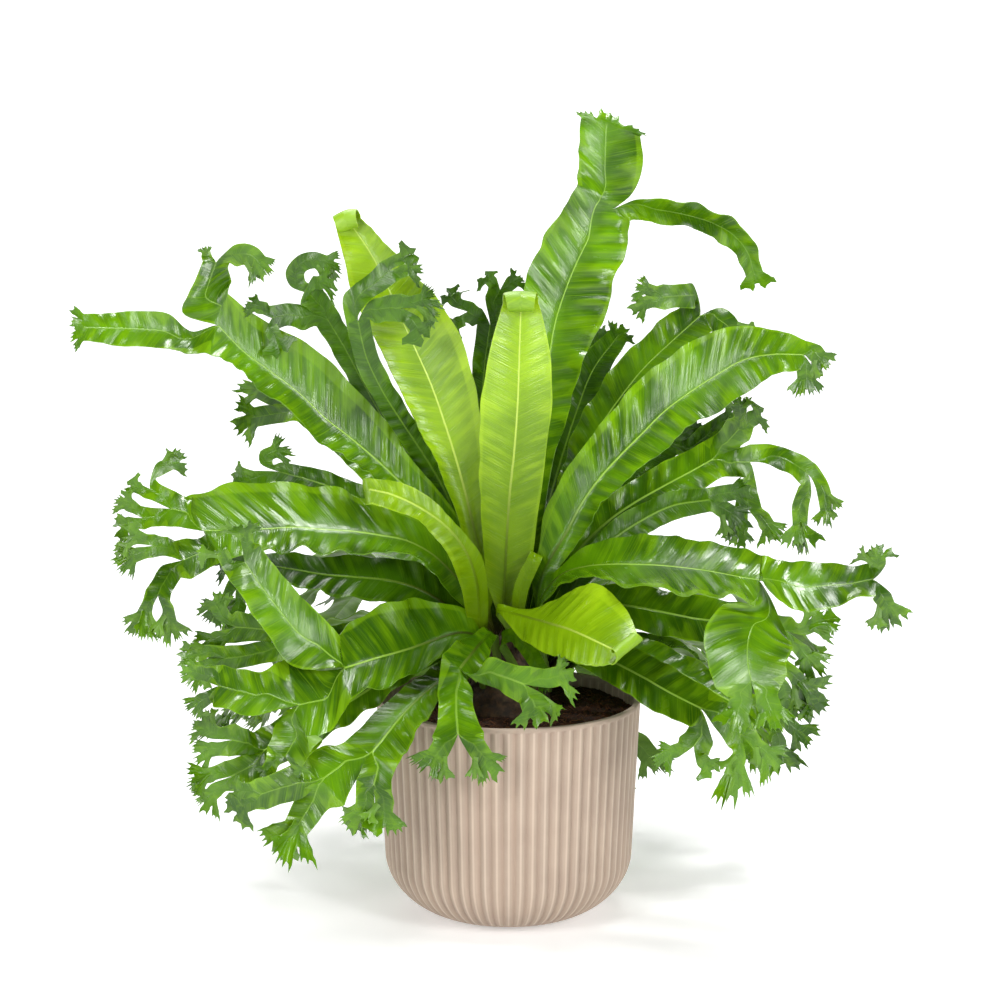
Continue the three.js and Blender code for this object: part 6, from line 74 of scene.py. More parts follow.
  ["frond_right_middle","mature",[[[23.4,4.8,176.5,23.7,2.5,176.5,23.9,0.2,176.5],[25.8,4.0,190.4,26.7,1.6,190.2,27.1,-1.0,190.0],[24.2,2.6,206.3,26.8,0.3,206.2,28.5,-2.7,206.1],[22.8,1.1,222.5,27.4,0.6,221.8,31.7,-1.4,221.3],[27.2,4.5,237.8,32.2,3.9,234.1,37.2,3.4,230.4],[37.8,11.6,253.9,44.2,10.2,248.9,50.5,8.7,243.9],[50.1,18.1,269.8,57.4,15.4,262.8,64.7,12.7,255.9],[64.7,24.4,284.5,72.3,20.3,275.2,79.9,16.1,265.9],[81.6,30.3,297.0,88.9,24.8,285.8,96.1,19.3,274.7],[99.6,33.4,307.5,106.5,26.9,295.6,113.3,20.4,283.7],[117.9,34.7,316.6,124.2,27.8,305.1,130.6,20.9,293.8],[135.6,35.4,326.2,141.9,28.0,314.9,148.2,20.6,303.7]],[[[[135.6,35.4,326.2,138.8,31.7,320.5,141.9,28.0,314.9],[144.6,29.7,333.1,151.5,28.0,326.9,158.5,26.3,320.6],[148.8,28.6,337.7,155.6,27.0,331.6,162.3,25.4,325.5],[151.8,27.9,343.3,159.6,26.0,336.3,167.4,24.1,329.3]],[[[[151.8,27.9,343.3,155.7,26.9,339.8,159.6,26.0,336.3],[156.4,25.0,345.7,161.4,25.0,347.0,166.4,25.0,348.2],[155.9,25.0,348.6,160.7,25.0,349.8,165.5,25.0,351.0],[155.5,25.0,351.4,160.0,25.0,352.6,164.5,25.0,353.7]],[],[2,11.0,55],0],[[[159.6,26.0,336.3,163.5,25.1,332.8,167.4,24.1,329.3],[165.0,25.0,348.9,167.7,25.0,343.5,170.5,25.0,338.0],[167.2,25.0,349.6,169.8,25.0,344.5,172.4,25.0,339.4],[169.5,25.0,350.2,171.9,25.0,345.6,174.3,25.0,340.9]],[],[2,10.0,60],0]],0,0],[[[141.9,28.0,314.9,145.0,24.3,309.3,148.2,20.6,303.7],[157.8,27.8,324.0,157.8,26.0,313.8,157.8,24.2,303.5],[162.9,25.8,324.3,162.9,24.0,314.1,162.9,22.2,303.8],[167.9,24.2,326.5,167.9,22.0,314.4,167.9,19.8,302.3]],[[[[167.9,24.2,326.5,167.9,23.1,320.4,167.9,22.0,314.4],[180.6,22.6,327.0,178.8,20.0,320.3,176.9,17.4,313.7],[191.5,16.9,325.3,188.8,14.1,318.6,186.1,11.4,311.9],[202.5,13.1,320.6,198.3,10.3,314.3,194.1,7.5,308.1],[212.3,11.2,314.9,206.9,8.0,308.2,201.4,4.8,301.5]],[[[[212.3,11.2,314.9,209.6,9.6,311.5,206.9,8.0,308.2],[219.9,6.0,303.4,215.1,6.0,301.5,210.3,6.0,299.7],[222.9,4.0,294.0,218.3,4.0,293.0,213.7,4.0,291.9],[223.2,2.0,284.4,219.1,2.0,284.0,215.0,2.0,283.6]],[],[2,9.0,60],0],[[[206.9,8.0,308.2,204.1,6.4,304.9,201.4,4.8,301.5],[210.8,6.0,295.5,205.5,6.0,297.3,200.1,6.0,299.1],[207.2,5.0,284.6,201.6,5.0,285.5,196.1,5.0,286.5],[206.7,4.0,273.0,201.5,4.0,273.1,196.4,4.0,273.2]],[],[3,18.0,65],0]],0,0],[[[167.9,22.0,314.4,167.9,20.9,308.4,167.9,19.8,302.3],[172.4,20.0,302.5,165.1,20.0,302.0,157.9,20.0,301.6],[173.2,17.0,293.2,165.6,17.0,292.7,158.1,17.0,292.1],[175.6,14.0,284.1,166.3,14.0,283.3,157.0,14.0,282.6]],[[[[175.6,14.0,284.1,170.9,14.0,283.7,166.3,14.0,283.3],[180.4,12.0,280.1,175.9,12.0,276.6,171.5,12.0,273.2],[182.3,12.0,277.1,178.1,12.0,273.8,173.8,12.0,270.5],[184.3,12.0,274.1,180.2,12.0,271.0,176.1,12.0,267.8]],[],[3,12.0,70],0],[[[166.3,14.0,283.3,161.6,14.0,282.9,157.0,14.0,282.6],[167.6,12.0,274.1,162.1,12.0,275.2,156.5,12.0,276.3],[166.7,12.0,270.6,161.4,12.0,271.7,156.1,12.0,272.8],[165.9,12.0,267.1,160.8,12.0,268.2,155.7,12.0,269.2]],[],[3,12.0,70],0]],0,0]],0,0]],0,0]],
  ["frond_right_middle_low","dark",[[[27.5,0.4,166.3,27.3,-1.9,166.3,27.2,-4.2,166.3],[33.9,1.0,178.6,34.4,-1.6,178.6,34.4,-4.2,178.7],[32.7,2.3,193.6,35.0,0.0,193.7,36.3,-3.0,193.9],[30.7,1.6,209.3,34.9,1.1,208.8,38.8,-0.8,208.4],[34.0,1.2,224.5,38.5,0.7,221.3,42.9,0.2,218.0],[46.5,1.6,247.2,52.8,-0.9,242.4,59.1,-3.4,237.6],[63.1,2.9,268.5,69.5,-1.6,261.7,75.8,-6.0,254.9],[85.1,2.8,284.6,90.1,-2.0,276.4,95.0,-6.9,268.2],[109.9,1.6,296.6,112.7,-2.8,287.8,115.5,-7.2,279.1],[135.9,-1.0,299.8,137.1,-4.0,292.0,138.3,-7.0,284.3]],[[[[135.9,-1.0,299.8,136.5,-2.5,295.9,137.1,-4.0,292.0],[145.6,-5.0,302.4,146.6,-5.0,296.4,147.7,-5.0,290.3],[149.7,-5.0,302.9,150.7,-5.0,297.1,151.8,-5.0,291.2],[153.9,-5.0,303.3,154.8,-5.0,297.7,155.8,-5.0,292.2]],[],[3,14.0,60],0],[[[137.1,-4.0,292.0,137.7,-5.5,288.1,138.3,-7.0,284.3],[149.8,-5.0,291.8,146.7,-5.0,286.6,143.7,-5.0,281.3],[153.1,-5.0,289.6,150.2,-5.0,284.5,147.3,-5.0,279.4],[156.5,-5.0,287.3,153.7,-5.0,282.4,150.9,-5.0,277.5]],[],[3,14.0,60],0]],0,0]],
  ["frond_right_back_crest","dark",[[[23.3,10.9,172.4,24.1,8.8,172.4,24.9,6.6,172.4],[26.4,12.4,185.3,27.8,10.3,185.0,28.8,8.0,184.9],[25.5,12.0,200.1,28.2,10.6,200.1,30.3,8.2,200.1],[24.3,11.5,214.8,28.2,11.8,214.5,32.0,10.7,214.4],[26.3,16.6,227.3,30.6,16.6,225.0,35.0,16.6,222.7],[36.8,38.4,248.0,42.9,37.0,244.8,49.0,35.6,241.6],[49.9,55.4,269.4,57.1,52.5,265.0,64.3,49.6,260.6],[65.7,68.1,290.8,73.2,64.6,284.7,80.7,61.0,278.6],[85.7,73.7,310.4,92.7,69.9,302.9,99.6,66.2,295.4],[107.6,75.5,327.0,113.7,72.0,319.6,119.8,68.5,312.2]],[[[[107.6,75.5,327.0,110.7,73.8,323.3,113.7,72.0,319.6],[120.6,72.0,332.7,123.6,72.0,326.8,126.6,72.0,320.8],[124.2,72.0,334.4,127.2,72.0,328.6,130.1,72.0,322.8],[127.9,72.0,336.0,130.7,72.0,330.4,133.5,72.0,324.8]],[],[3,13.0,70],0],[[[113.7,72.0,319.6,116.8,70.2,315.9,119.8,68.5,312.2],[124.8,70.0,323.0,129.3,70.0,317.0,133.8,70.0,311.1],[130.5,68.0,327.3,134.8,68.0,321.6,139.0,68.0,316.0],[135.5,66.0,332.5,140.3,66.0,326.2,145.0,66.0,319.9]],[[[[135.5,66.0,332.5,137.9,66.0,329.4,140.3,66.0,326.2],[146.0,64.0,339.2,148.5,64.0,335.1,151.0,64.0,331.0],[149.5,64.0,341.4,152.0,64.0,337.3,154.5,64.0,333.1],[153.1,64.0,343.5,155.6,64.0,339.4,158.1,64.0,335.3]],[],[2,12.0,60],0],[[[140.3,66.0,326.2,142.6,66.0,323.1,145.0,66.0,319.9],[148.6,64.0,332.8,148.6,64.0,328.0,148.7,64.0,323.1],[151.4,64.0,332.8,151.5,64.0,328.0,151.5,64.0,323.1],[154.2,64.0,332.8,154.3,64.0,328.0,154.4,64.0,323.1]],[],[2,10.0,60],0]],0,0]],0,0]],
  ["frond_left_small_young","young",[[[-13.8,-4.3,190.8,-14.2,-2.0,190.9,-14.5,0.3,190.9],[-15.2,-6.6,193.6,-16.1,-4.5,195.0,-16.6,-2.5,196.7],[-18.7,-11.6,195.8,-17.7,-9.8,198.7,-15.6,-8.6,201.4],[-23.0,-17.1,199.7,-19.3,-15.5,202.6,-14.8,-15.0,204.5],[-26.6,-21.4,206.0,-20.3,-19.4,207.3,-14.2,-17.4,208.6],[-29.5,-28.8,220.3,-20.7,-25.4,223.5,-14.2,-22.4,225.9],[-32.2,-35.0,234.7,-22.1,-30.5,239.9,-15.4,-26.8,243.2],[-35.8,-40.6,248.6,-26.2,-35.6,255.4,-19.6,-31.6,260.0],[-40.9,-45.7,261.6,-33.3,-40.7,269.7,-29.2,-36.7,273.8],[-48.5,-50.0,272.9,-43.1,-45.0,281.7,-40.1,-41.0,286.3],[-56.8,-53.7,283.4,-53.9,-48.7,290.7,-50.9,-44.7,298.7],[-67.4,-55.4,290.1,-65.9,-50.7,298.1,-64.1,-47.0,307.6],[-79.4,-55.7,294.3,-79.2,-51.7,304.0,-78.9,-48.7,312.7],[-91.6,-55.0,297.9,-93.2,-52.0,307.3,-94.4,-50.0,314.7]],[],0,[4.5,1.0,-1]]],
  ["frond_left_middle","mature",[[[-21.7,-7.8,178.5,-22.2,-5.5,178.5,-22.8,-3.3,178.5],[-23.3,-10.5,190.9,-24.2,-7.5,191.0,-24.4,-4.4,191.1],[-22.7,-13.9,204.9,-23.8,-8.7,205.0,-23.0,-3.5,205.1],[-25.8,-17.9,217.9,-24.1,-9.7,218.5,-19.6,-2.6,219.5],[-30.7,-15.7,219.5,-28.1,-10.9,229.4,-25.2,-3.7,240.3],[-43.0,-23.1,234.1,-40.1,-12.8,243.9,-35.6,-1.4,260.1],[-53.8,-30.4,249.8,-53.3,-15.4,256.9,-51.8,-0.6,275.5],[-68.7,-37.5,260.1,-70.1,-19.1,266.5,-72.6,-2.5,284.5],[-85.9,-45.5,263.7,-88.8,-24.9,271.4,-93.7,-8.1,292.4],[-103.3,-52.9,264.5,-107.4,-30.4,275.1,-114.1,-13.6,301.0],[-120.6,-58.1,264.8,-126.6,-34.4,277.0,-135.9,-17.6,304.5],[-137.4,-61.8,269.2,-144.6,-37.9,279.1,-157.7,-21.2,306.8],[-154.7,-64.2,267.9,-163.4,-41.0,278.6,-179.5,-25.7,308.0],[-171.9,-65.5,265.6,-183.3,-43.9,278.4,-200.6,-31.1,304.5],[-189.0,-65.6,261.8,-204.8,-46.4,278.1,-220.9,-36.8,298.2]],[[[[-189.0,-65.6,261.8,-196.9,-56.0,269.9,-204.8,-46.4,278.1],[-196.0,-57.2,256.8,-201.3,-48.8,266.1,-206.6,-40.4,275.5],[-204.5,-60.8,253.6,-209.7,-52.4,263.0,-215.0,-44.0,272.4],[-212.0,-65.9,248.9,-218.2,-56.0,259.9,-224.3,-46.1,271.0]],[[[[-212.0,-65.9,248.9,-215.1,-60.9,254.4,-218.2,-56.0,259.9],[-219.5,-61.9,248.8,-226.1,-58.4,252.9,-232.6,-54.9,256.9],[-223.0,-65.0,244.7,-229.6,-61.6,248.4,-236.2,-58.2,252.1],[-225.5,-68.2,240.9,-232.5,-64.8,243.6,-239.5,-61.4,246.4],[-226.1,-72.0,235.8,-234.6,-68.0,238.4,-243.2,-64.0,241.0]],[[[[-226.1,-72.0,235.8,-230.4,-70.0,237.1,-234.6,-68.0,238.4],[-224.1,-70.4,231.0,-228.5,-70.4,230.0,-232.9,-70.4,229.0],[-223.2,-70.4,226.2,-227.6,-70.4,225.2,-232.0,-70.4,224.3],[-222.2,-70.4,221.4,-226.7,-70.4,220.5,-231.1,-70.4,219.5]],[],[3,18.0,60],0],[[[-234.6,-68.0,238.4,-238.9,-66.0,239.7,-243.2,-64.0,241.0],[-236.5,-70.4,231.4,-240.5,-70.4,233.4,-244.5,-70.4,235.5],[-238.6,-70.4,227.3,-242.6,-70.4,229.3,-246.6,-70.4,231.4],[-240.6,-70.4,223.2,-244.7,-70.4,225.2,-248.7,-70.4,227.3]],[],[3,16.0,60],0]],0,0],[[[-218.2,-56.0,259.9,-221.2,-51.1,265.5,-224.3,-46.1,271.0],[-229.1,-63.8,263.5,-228.8,-60.8,269.7,-228.6,-57.8,275.9],[-233.2,-66.2,264.3,-232.9,-63.2,270.5,-232.6,-60.2,276.7],[-237.3,-69.2,264.0,-236.9,-65.6,271.3,-236.6,-62.0,278.6]],[[[[-237.3,-69.2,264.0,-237.1,-67.4,267.6,-236.9,-65.6,271.3],[-242.1,-68.0,263.0,-244.1,-68.0,267.6,-246.0,-68.0,272.3],[-245.3,-68.0,261.9,-247.1,-68.0,266.3,-248.9,-68.0,270.7],[-248.4,-68.0,260.7,-250.1,-68.0,264.9,-251.9,-68.0,269.1]],[],[3,15.0,65],0],[[[-236.9,-65.6,271.3,-236.8,-63.8,274.9,-236.6,-62.0,278.6],[-245.3,-68.0,271.7,-243.2,-68.0,275.8,-241.1,-68.0,279.9],[-248.0,-68.0,273.0,-245.9,-68.0,277.1,-243.8,-68.0,281.2],[-250.6,-68.0,274.4,-248.5,-68.0,278.5,-246.4,-68.0,282.6]],[],[2,13.0,60],0]],0,0]],0,0],[[[-204.8,-46.4,278.1,-212.8,-41.6,288.2,-220.9,-36.8,298.2],[-216.4,-54.8,280.2,-214.6,-46.4,290.3,-212.8,-38.0,300.5],[-222.2,-54.8,282.3,-220.6,-47.0,291.8,-218.9,-39.2,301.3],[-228.4,-56.2,282.9,-226.5,-47.6,293.2,-224.7,-39.0,303.7]],[[[[-228.4,-56.2,282.9,-227.4,-51.9,288.1,-226.5,-47.6,293.2],[-236.5,-51.8,281.8,-237.3,-48.8,288.0,-238.0,-45.8,294.2],[-240.4,-53.0,281.7,-241.1,-50.0,287.9,-241.9,-47.0,294.1],[-244.1,-54.7,280.4,-245.0,-51.2,287.7,-246.0,-47.7,295.1]],[[[[-244.1,-54.7,280.4,-244.6,-53.0,284.1,-245.0,-51.2,287.7],[-250.3,-53.6,281.0,-251.5,-53.6,285.4,-252.7,-53.6,289.8],[-252.7,-53.6,280.3,-253.9,-53.6,284.7,-255.0,-53.6,289.2],[-255.1,-53.6,279.6,-256.2,-53.6,284.1,-257.4,-53.6,288.5]],[],[2,10.0,60],0],[[[-245.0,-51.2,287.7,-245.5,-49.4,291.4,-246.0,-47.7,295.1],[-254.3,-53.6,290.7,-251.3,-53.6,294.3,-248.3,-53.6,297.8],[-256.3,-53.6,292.4,-253.3,-53.6,296.0,-250.3,-53.6,299.5],[-258.2,-53.6,294.1,-255.3,-53.6,297.7,-252.3,-53.6,301.2]],[],[3,13.0,60],0]],0,0],[[[-226.5,-47.6,293.2,-225.6,-43.3,298.5,-224.7,-39.0,303.7],[-237.6,-49.2,297.6,-234.6,-46.4,302.6,-231.5,-43.6,307.6],[-241.0,-48.0,299.4,-238.0,-45.2,304.4,-235.0,-42.4,309.4],[-245.0,-47.4,300.4,-241.5,-44.0,306.3,-237.9,-40.6,312.2]],[[[[-245.0,-47.4,300.4,-243.3,-45.7,303.3,-241.5,-44.0,306.3],[-249.1,-44.0,302.5,-247.6,-44.0,306.3,-246.0,-44.0,310.1],[-250.8,-44.0,303.2,-249.2,-44.0,307.0,-247.6,-44.0,310.8],[-252.5,-44.0,303.9,-250.9,-44.0,307.6,-249.3,-44.0,311.4]],[],[2,9.0,60],0],[[[-241.5,-44.0,306.3,-239.7,-42.3,309.2,-237.9,-40.6,312.2],[-238.9,-38.0,322.9,-236.2,-38.0,318.7,-233.5,-38.0,314.6],[-229.7,-34.4,325.6,-228.1,-34.4,321.8,-226.6,-34.4,318.0]],[],[2,16.0,30],0]],0,0]],0,0]],0,0]],
  ["frond_left_middle_under","dark",[[[-25.7,-5.9,170.3,-26.0,-3.7,170.3,-26.3,-1.4,170.3],[-26.2,-7.2,178.8,-26.7,-4.3,178.9,-26.7,-1.4,179.1],[-25.6,-9.2,188.9,-26.3,-4.7,189.1,-25.4,-0.2,189.2],[-28.5,-11.8,198.3,-26.5,-5.2,198.9,-22.3,0.3,199.7],[-32.4,-10.4,197.8,-29.6,-6.4,206.5,-26.9,-2.4,215.2],[-49.1,-18.9,210.9,-45.5,-9.4,221.2,-41.9,-2.2,232.1],[-67.5,-25.4,219.7,-63.7,-12.1,232.2,-59.8,-2.6,245.6],[-86.8,-29.9,225.6,-84.1,-15.0,238.2,-81.2,-4.2,251.7],[-106.3,-34.2,229.7,-104.9,-18.4,240.8,-103.3,-6.7,252.8],[-125.8,-37.2,233.4,-125.7,-21.4,243.2,-125.3,-9.5,253.9],[-144.8,-37.6,238.9,-146.1,-23.9,247.2,-147.2,-13.3,256.1],[-163.5,-36.0,245.7,-166.3,-26.0,251.1,-168.9,-18.0,256.9]],[[[[-163.5,-36.0,245.7,-164.9,-31.0,248.4,-166.3,-26.0,251.1],[-173.6,-28.0,232.7,-177.9,-28.0,239.3,-182.1,-28.0,245.9],[-178.0,-28.0,230.2,-182.0,-28.0,236.5,-186.1,-28.0,242.9],[-181.6,-28.0,226.6,-186.2,-28.0,233.7,-190.7,-28.0,240.9]],[[[[-181.6,-28.0,226.6,-183.9,-28.0,230.2,-186.2,-28.0,233.7],[-179.1,-28.0,222.8,-183.6,-28.0,224.0,-188.0,-28.0,225.1],[-179.8,-28.0,220.1,-184.3,-28.0,221.2,-188.8,-28.0,222.3],[-180.6,-28.0,217.3,-185.0,-28.0,218.4,-189.5,-28.0,219.5]],[],[2,12.0,60],0],[[[-186.2,-28.0,233.7,-188.4,-28.0,237.3,-190.7,-28.0,240.9],[-190.4,-28.0,223.0,-193.1,-28.0,226.8,-195.8,-28.0,230.5],[-193.2,-28.0,220.9,-195.9,-28.0,224.7,-198.6,-28.0,228.4],[-195.9,-28.0,218.8,-198.6,-28.0,222.6,-201.3,-28.0,226.4]],[],[3,14.0,60],0]],0,0],[[[-166.3,-26.0,251.1,-167.6,-22.0,254.0,-168.9,-18.0,256.9],[-181.6,-28.0,245.4,-180.4,-28.0,253.2,-179.2,-28.0,261.0],[-186.3,-28.0,246.4,-185.2,-28.0,253.9,-184.0,-28.0,261.4],[-191.0,-28.0,247.4,-189.9,-28.0,254.6,-188.8,-28.0,261.8]],[],[3,16.0,60],0]],0,0]],
  ["frond_left_back_dark","dark",[[[-23.9,-0.6,176.5,-23.7,1.7,176.5,-23.6,4.0,176.5],[-28.9,-0.5,191.4,-28.5,2.1,191.4,-27.8,4.5,191.4],[-32.9,0.3,208.8,-31.1,3.1,208.8,-28.5,5.1,209.0],[-38.4,3.8,224.8,-34.4,5.1,225.7,-30.2,4.8,227.0],[-45.3,8.2,235.0,-41.2,8.2,238.8,-37.1,8.2,242.7],[-65.8,14.4,252.4,-60.2,16.5,258.0,-54.7,18.6,263.6],[-87.1,17.2,268.3,-81.9,21.2,275.4,-76.8,25.3,282.6],[-110.3,19.3,280.9,-106.3,23.8,289.1,-102.3,28.3,297.3],[-135.2,19.3,291.3,-132.5,23.4,299.6,-129.7,27.5,307.9],[-160.5,17.5,301.3,-158.8,20.0,307.7,-157.0,22.5,314.1]],[[[[-160.5,17.5,301.3,-159.7,18.7,304.5,-158.8,20.0,307.7],[-169.5,18.0,299.8,-171.2,18.0,305.2,-172.9,18.0,310.6],[-173.7,18.0,298.6,-175.4,18.0,303.8,-177.0,18.0,309.0],[-178.0,18.0,297.4,-179.5,18.0,302.4,-181.1,18.0,307.3]],[],[2,14.0,50],0],[[[-158.8,20.0,307.7,-157.9,21.3,310.9,-157.0,22.5,314.1],[-173.4,18.0,313.9,-168.3,18.0,313.6,-163.1,18.0,313.3],[-172.1,18.0,322.3,-167.9,18.0,319.4,-163.6,18.0,316.5],[-164.6,18.0,326.3,-162.6,18.0,322.0,-160.6,18.0,317.8]],[],[3,16.0,50],0]],0,0]],
  ["frond_left_low","mature",[[[-21.0,-14.8,172.4,-22.2,-12.8,172.4,-23.4,-10.8,172.5],[-20.8,-18.1,179.2,-22.2,-16.0,180.2,-23.2,-13.7,181.3],[-18.2,-23.4,187.2,-19.9,-20.4,189.1,-20.3,-17.0,190.9],[-17.0,-29.5,194.0,-18.4,-25.0,197.0,-17.8,-20.5,200.2],[-21.4,-32.5,195.5,-21.4,-28.5,201.6,-21.4,-23.1,207.4],[-33.1,-44.8,198.0,-31.7,-33.9,205.2,-29.2,-23.3,218.5],[-43.2,-57.4,194.1,-43.0,-41.0,204.5,-42.3,-26.4,223.6],[-53.5,-69.4,190.7,-54.4,-49.5,202.1,-55.7,-32.7,227.6],[-63.8,-82.5,188.2,-65.8,-59.9,200.2,-68.8,-41.8,230.8],[-73.7,-94.7,185.0,-76.9,-70.5,199.1,-81.6,-51.7,229.0],[-83.4,-103.6,181.9,-87.9,-79.6,198.0,-93.9,-61.1,226.0],[-94.6,-110.1,184.6,-98.7,-87.9,196.3,-104.6,-71.3,220.7],[-103.1,-114.4,177.5,-108.5,-95.5,194.7,-113.7,-82.0,213.4]],[[[[-103.1,-114.4,177.5,-105.8,-105.0,186.1,-108.5,-95.5,194.7],[-115.6,-125.7,160.0,-120.9,-111.7,177.5,-126.4,-97.7,195.3],[-120.2,-131.6,158.1,-126.2,-116.2,177.3,-132.2,-100.8,196.8],[-125.1,-137.4,156.3,-131.6,-120.7,177.1,-138.1,-104.0,198.2],[-128.9,-146.3,150.6,-137.1,-125.2,176.8,-145.4,-104.1,203.5]],[[[[-128.9,-146.3,150.6,-133.0,-135.8,163.7,-137.1,-125.2,176.8],[-121.8,-138.2,156.5,-136.1,-129.9,162.0,-150.5,-121.7,167.5],[-126.0,-140.2,150.4,-139.4,-132.5,155.7,-152.9,-124.7,161.1],[-130.8,-141.9,145.1,-142.6,-135.0,150.2,-154.4,-128.0,155.4],[-133.9,-144.4,140.1,-145.6,-137.5,145.4,-157.4,-130.5,150.7]],[[[[-133.9,-144.4,140.1,-139.7,-140.9,142.7,-145.6,-137.5,145.4],[-133.0,-139.1,140.6,-138.3,-139.1,140.6,-143.7,-139.1,140.6],[-131.7,-138.6,138.9,-136.6,-138.6,138.9,-141.4,-138.6,138.9],[-130.6,-138.2,137.0,-135.0,-138.2,137.0,-139.4,-138.2,137.0]],[],[2,6.0,50],0],[[[-145.6,-137.5,145.4,-151.5,-134.0,148.0,-157.4,-130.5,150.7],[-149.2,-138.5,137.9,-153.6,-138.5,140.9,-158.0,-138.5,144.0],[-151.3,-137.7,135.8,-155.3,-137.7,138.6,-159.3,-137.7,141.4],[-153.3,-137.2,133.8,-156.9,-137.2,136.3,-160.6,-137.2,138.8]],[],[2,6.0,50],0]],0,0],[[[-137.1,-125.2,176.8,-141.3,-114.6,190.1,-145.4,-104.1,203.5],[-166.3,-135.5,170.6,-163.8,-125.2,183.5,-161.3,-114.9,196.5],[-174.9,-136.4,173.4,-172.4,-126.5,185.7,-169.9,-116.7,198.1],[-183.2,-137.0,176.8,-180.7,-127.9,188.0,-178.2,-118.8,199.4],[-191.4,-138.8,178.6,-188.7,-129.2,190.4,-186.0,-119.7,202.4]],[[[[-191.4,-138.8,178.6,-190.1,-134.0,184.5,-188.7,-129.2,190.4],[-193.5,-129.2,178.7,-196.7,-129.2,183.1,-199.8,-129.2,187.5],[-196.3,-129.2,176.9,-199.3,-129.2,181.1,-202.3,-129.2,185.3],[-199.1,-129.2,175.1,-201.9,-129.2,179.1,-204.8,-129.2,183.1]],[],[3,8.0,50],0],[[[-188.7,-129.2,190.4,-187.4,-124.5,196.4,-186.0,-119.7,202.4],[-199.5,-129.2,192.6,-197.7,-129.2,197.8,-195.9,-129.2,203.0],[-203.2,-129.2,194.4,-201.6,-129.2,199.1,-200.0,-129.2,203.9],[-206.9,-129.2,196.2,-205.5,-129.2,200.4,-204.0,-129.2,204.7]],[],[2,8.0,40],0]],0,0]],0,0],[[[-108.5,-95.5,194.7,-111.1,-88.8,204.0,-113.7,-82.0,213.4],[-111.1,-106.7,196.7,-112.2,-98.2,206.1,-113.1,-92.5,216.3],[-128.1,-110.2,196.8,-124.9,-100.3,211.1,-121.5,-93.4,226.1],[-143.6,-112.8,201.7,-137.1,-102.2,218.5,-130.3,-94.4,236.0],[-154.5,-114.4,215.3,-146.9,-103.6,230.3,-139.0,-95.5,246.0],[-163.9,-114.8,229.8,-155.9,-104.7,242.7,-147.6,-96.9,256.1],[-172.7,-113.9,244.4,-164.6,-105.7,255.1,-156.3,-98.7,266.1],[-182.5,-112.8,257.5,-172.7,-106.3,267.9,-162.8,-99.8,278.3]],[[[[-182.5,-112.8,257.5,-177.6,-109.6,262.7,-172.7,-106.3,267.9],[-188.1,-106.3,265.1,-183.8,-106.3,267.5,-179.5,-106.3,269.9],[-189.6,-106.3,269.0,-185.7,-106.3,271.2,-181.8,-106.3,273.3],[-191.1,-106.3,272.9,-187.6,-106.3,274.8,-184.1,-106.3,276.8]],[],[2,3.0,30],0],[[[-172.7,-106.3,267.9,-167.7,-103.0,273.1,-162.8,-99.8,278.3],[-176.1,-106.3,279.7,-171.2,-106.3,280.2,-166.3,-106.3,280.7],[-176.1,-106.3,283.0,-171.5,-106.3,283.5,-166.8,-106.3,283.9],[-176.2,-106.3,286.3,-171.7,-106.3,286.8,-167.3,-106.3,287.2]],[],[2,12.0,40],0]],0,0]],0,0]],
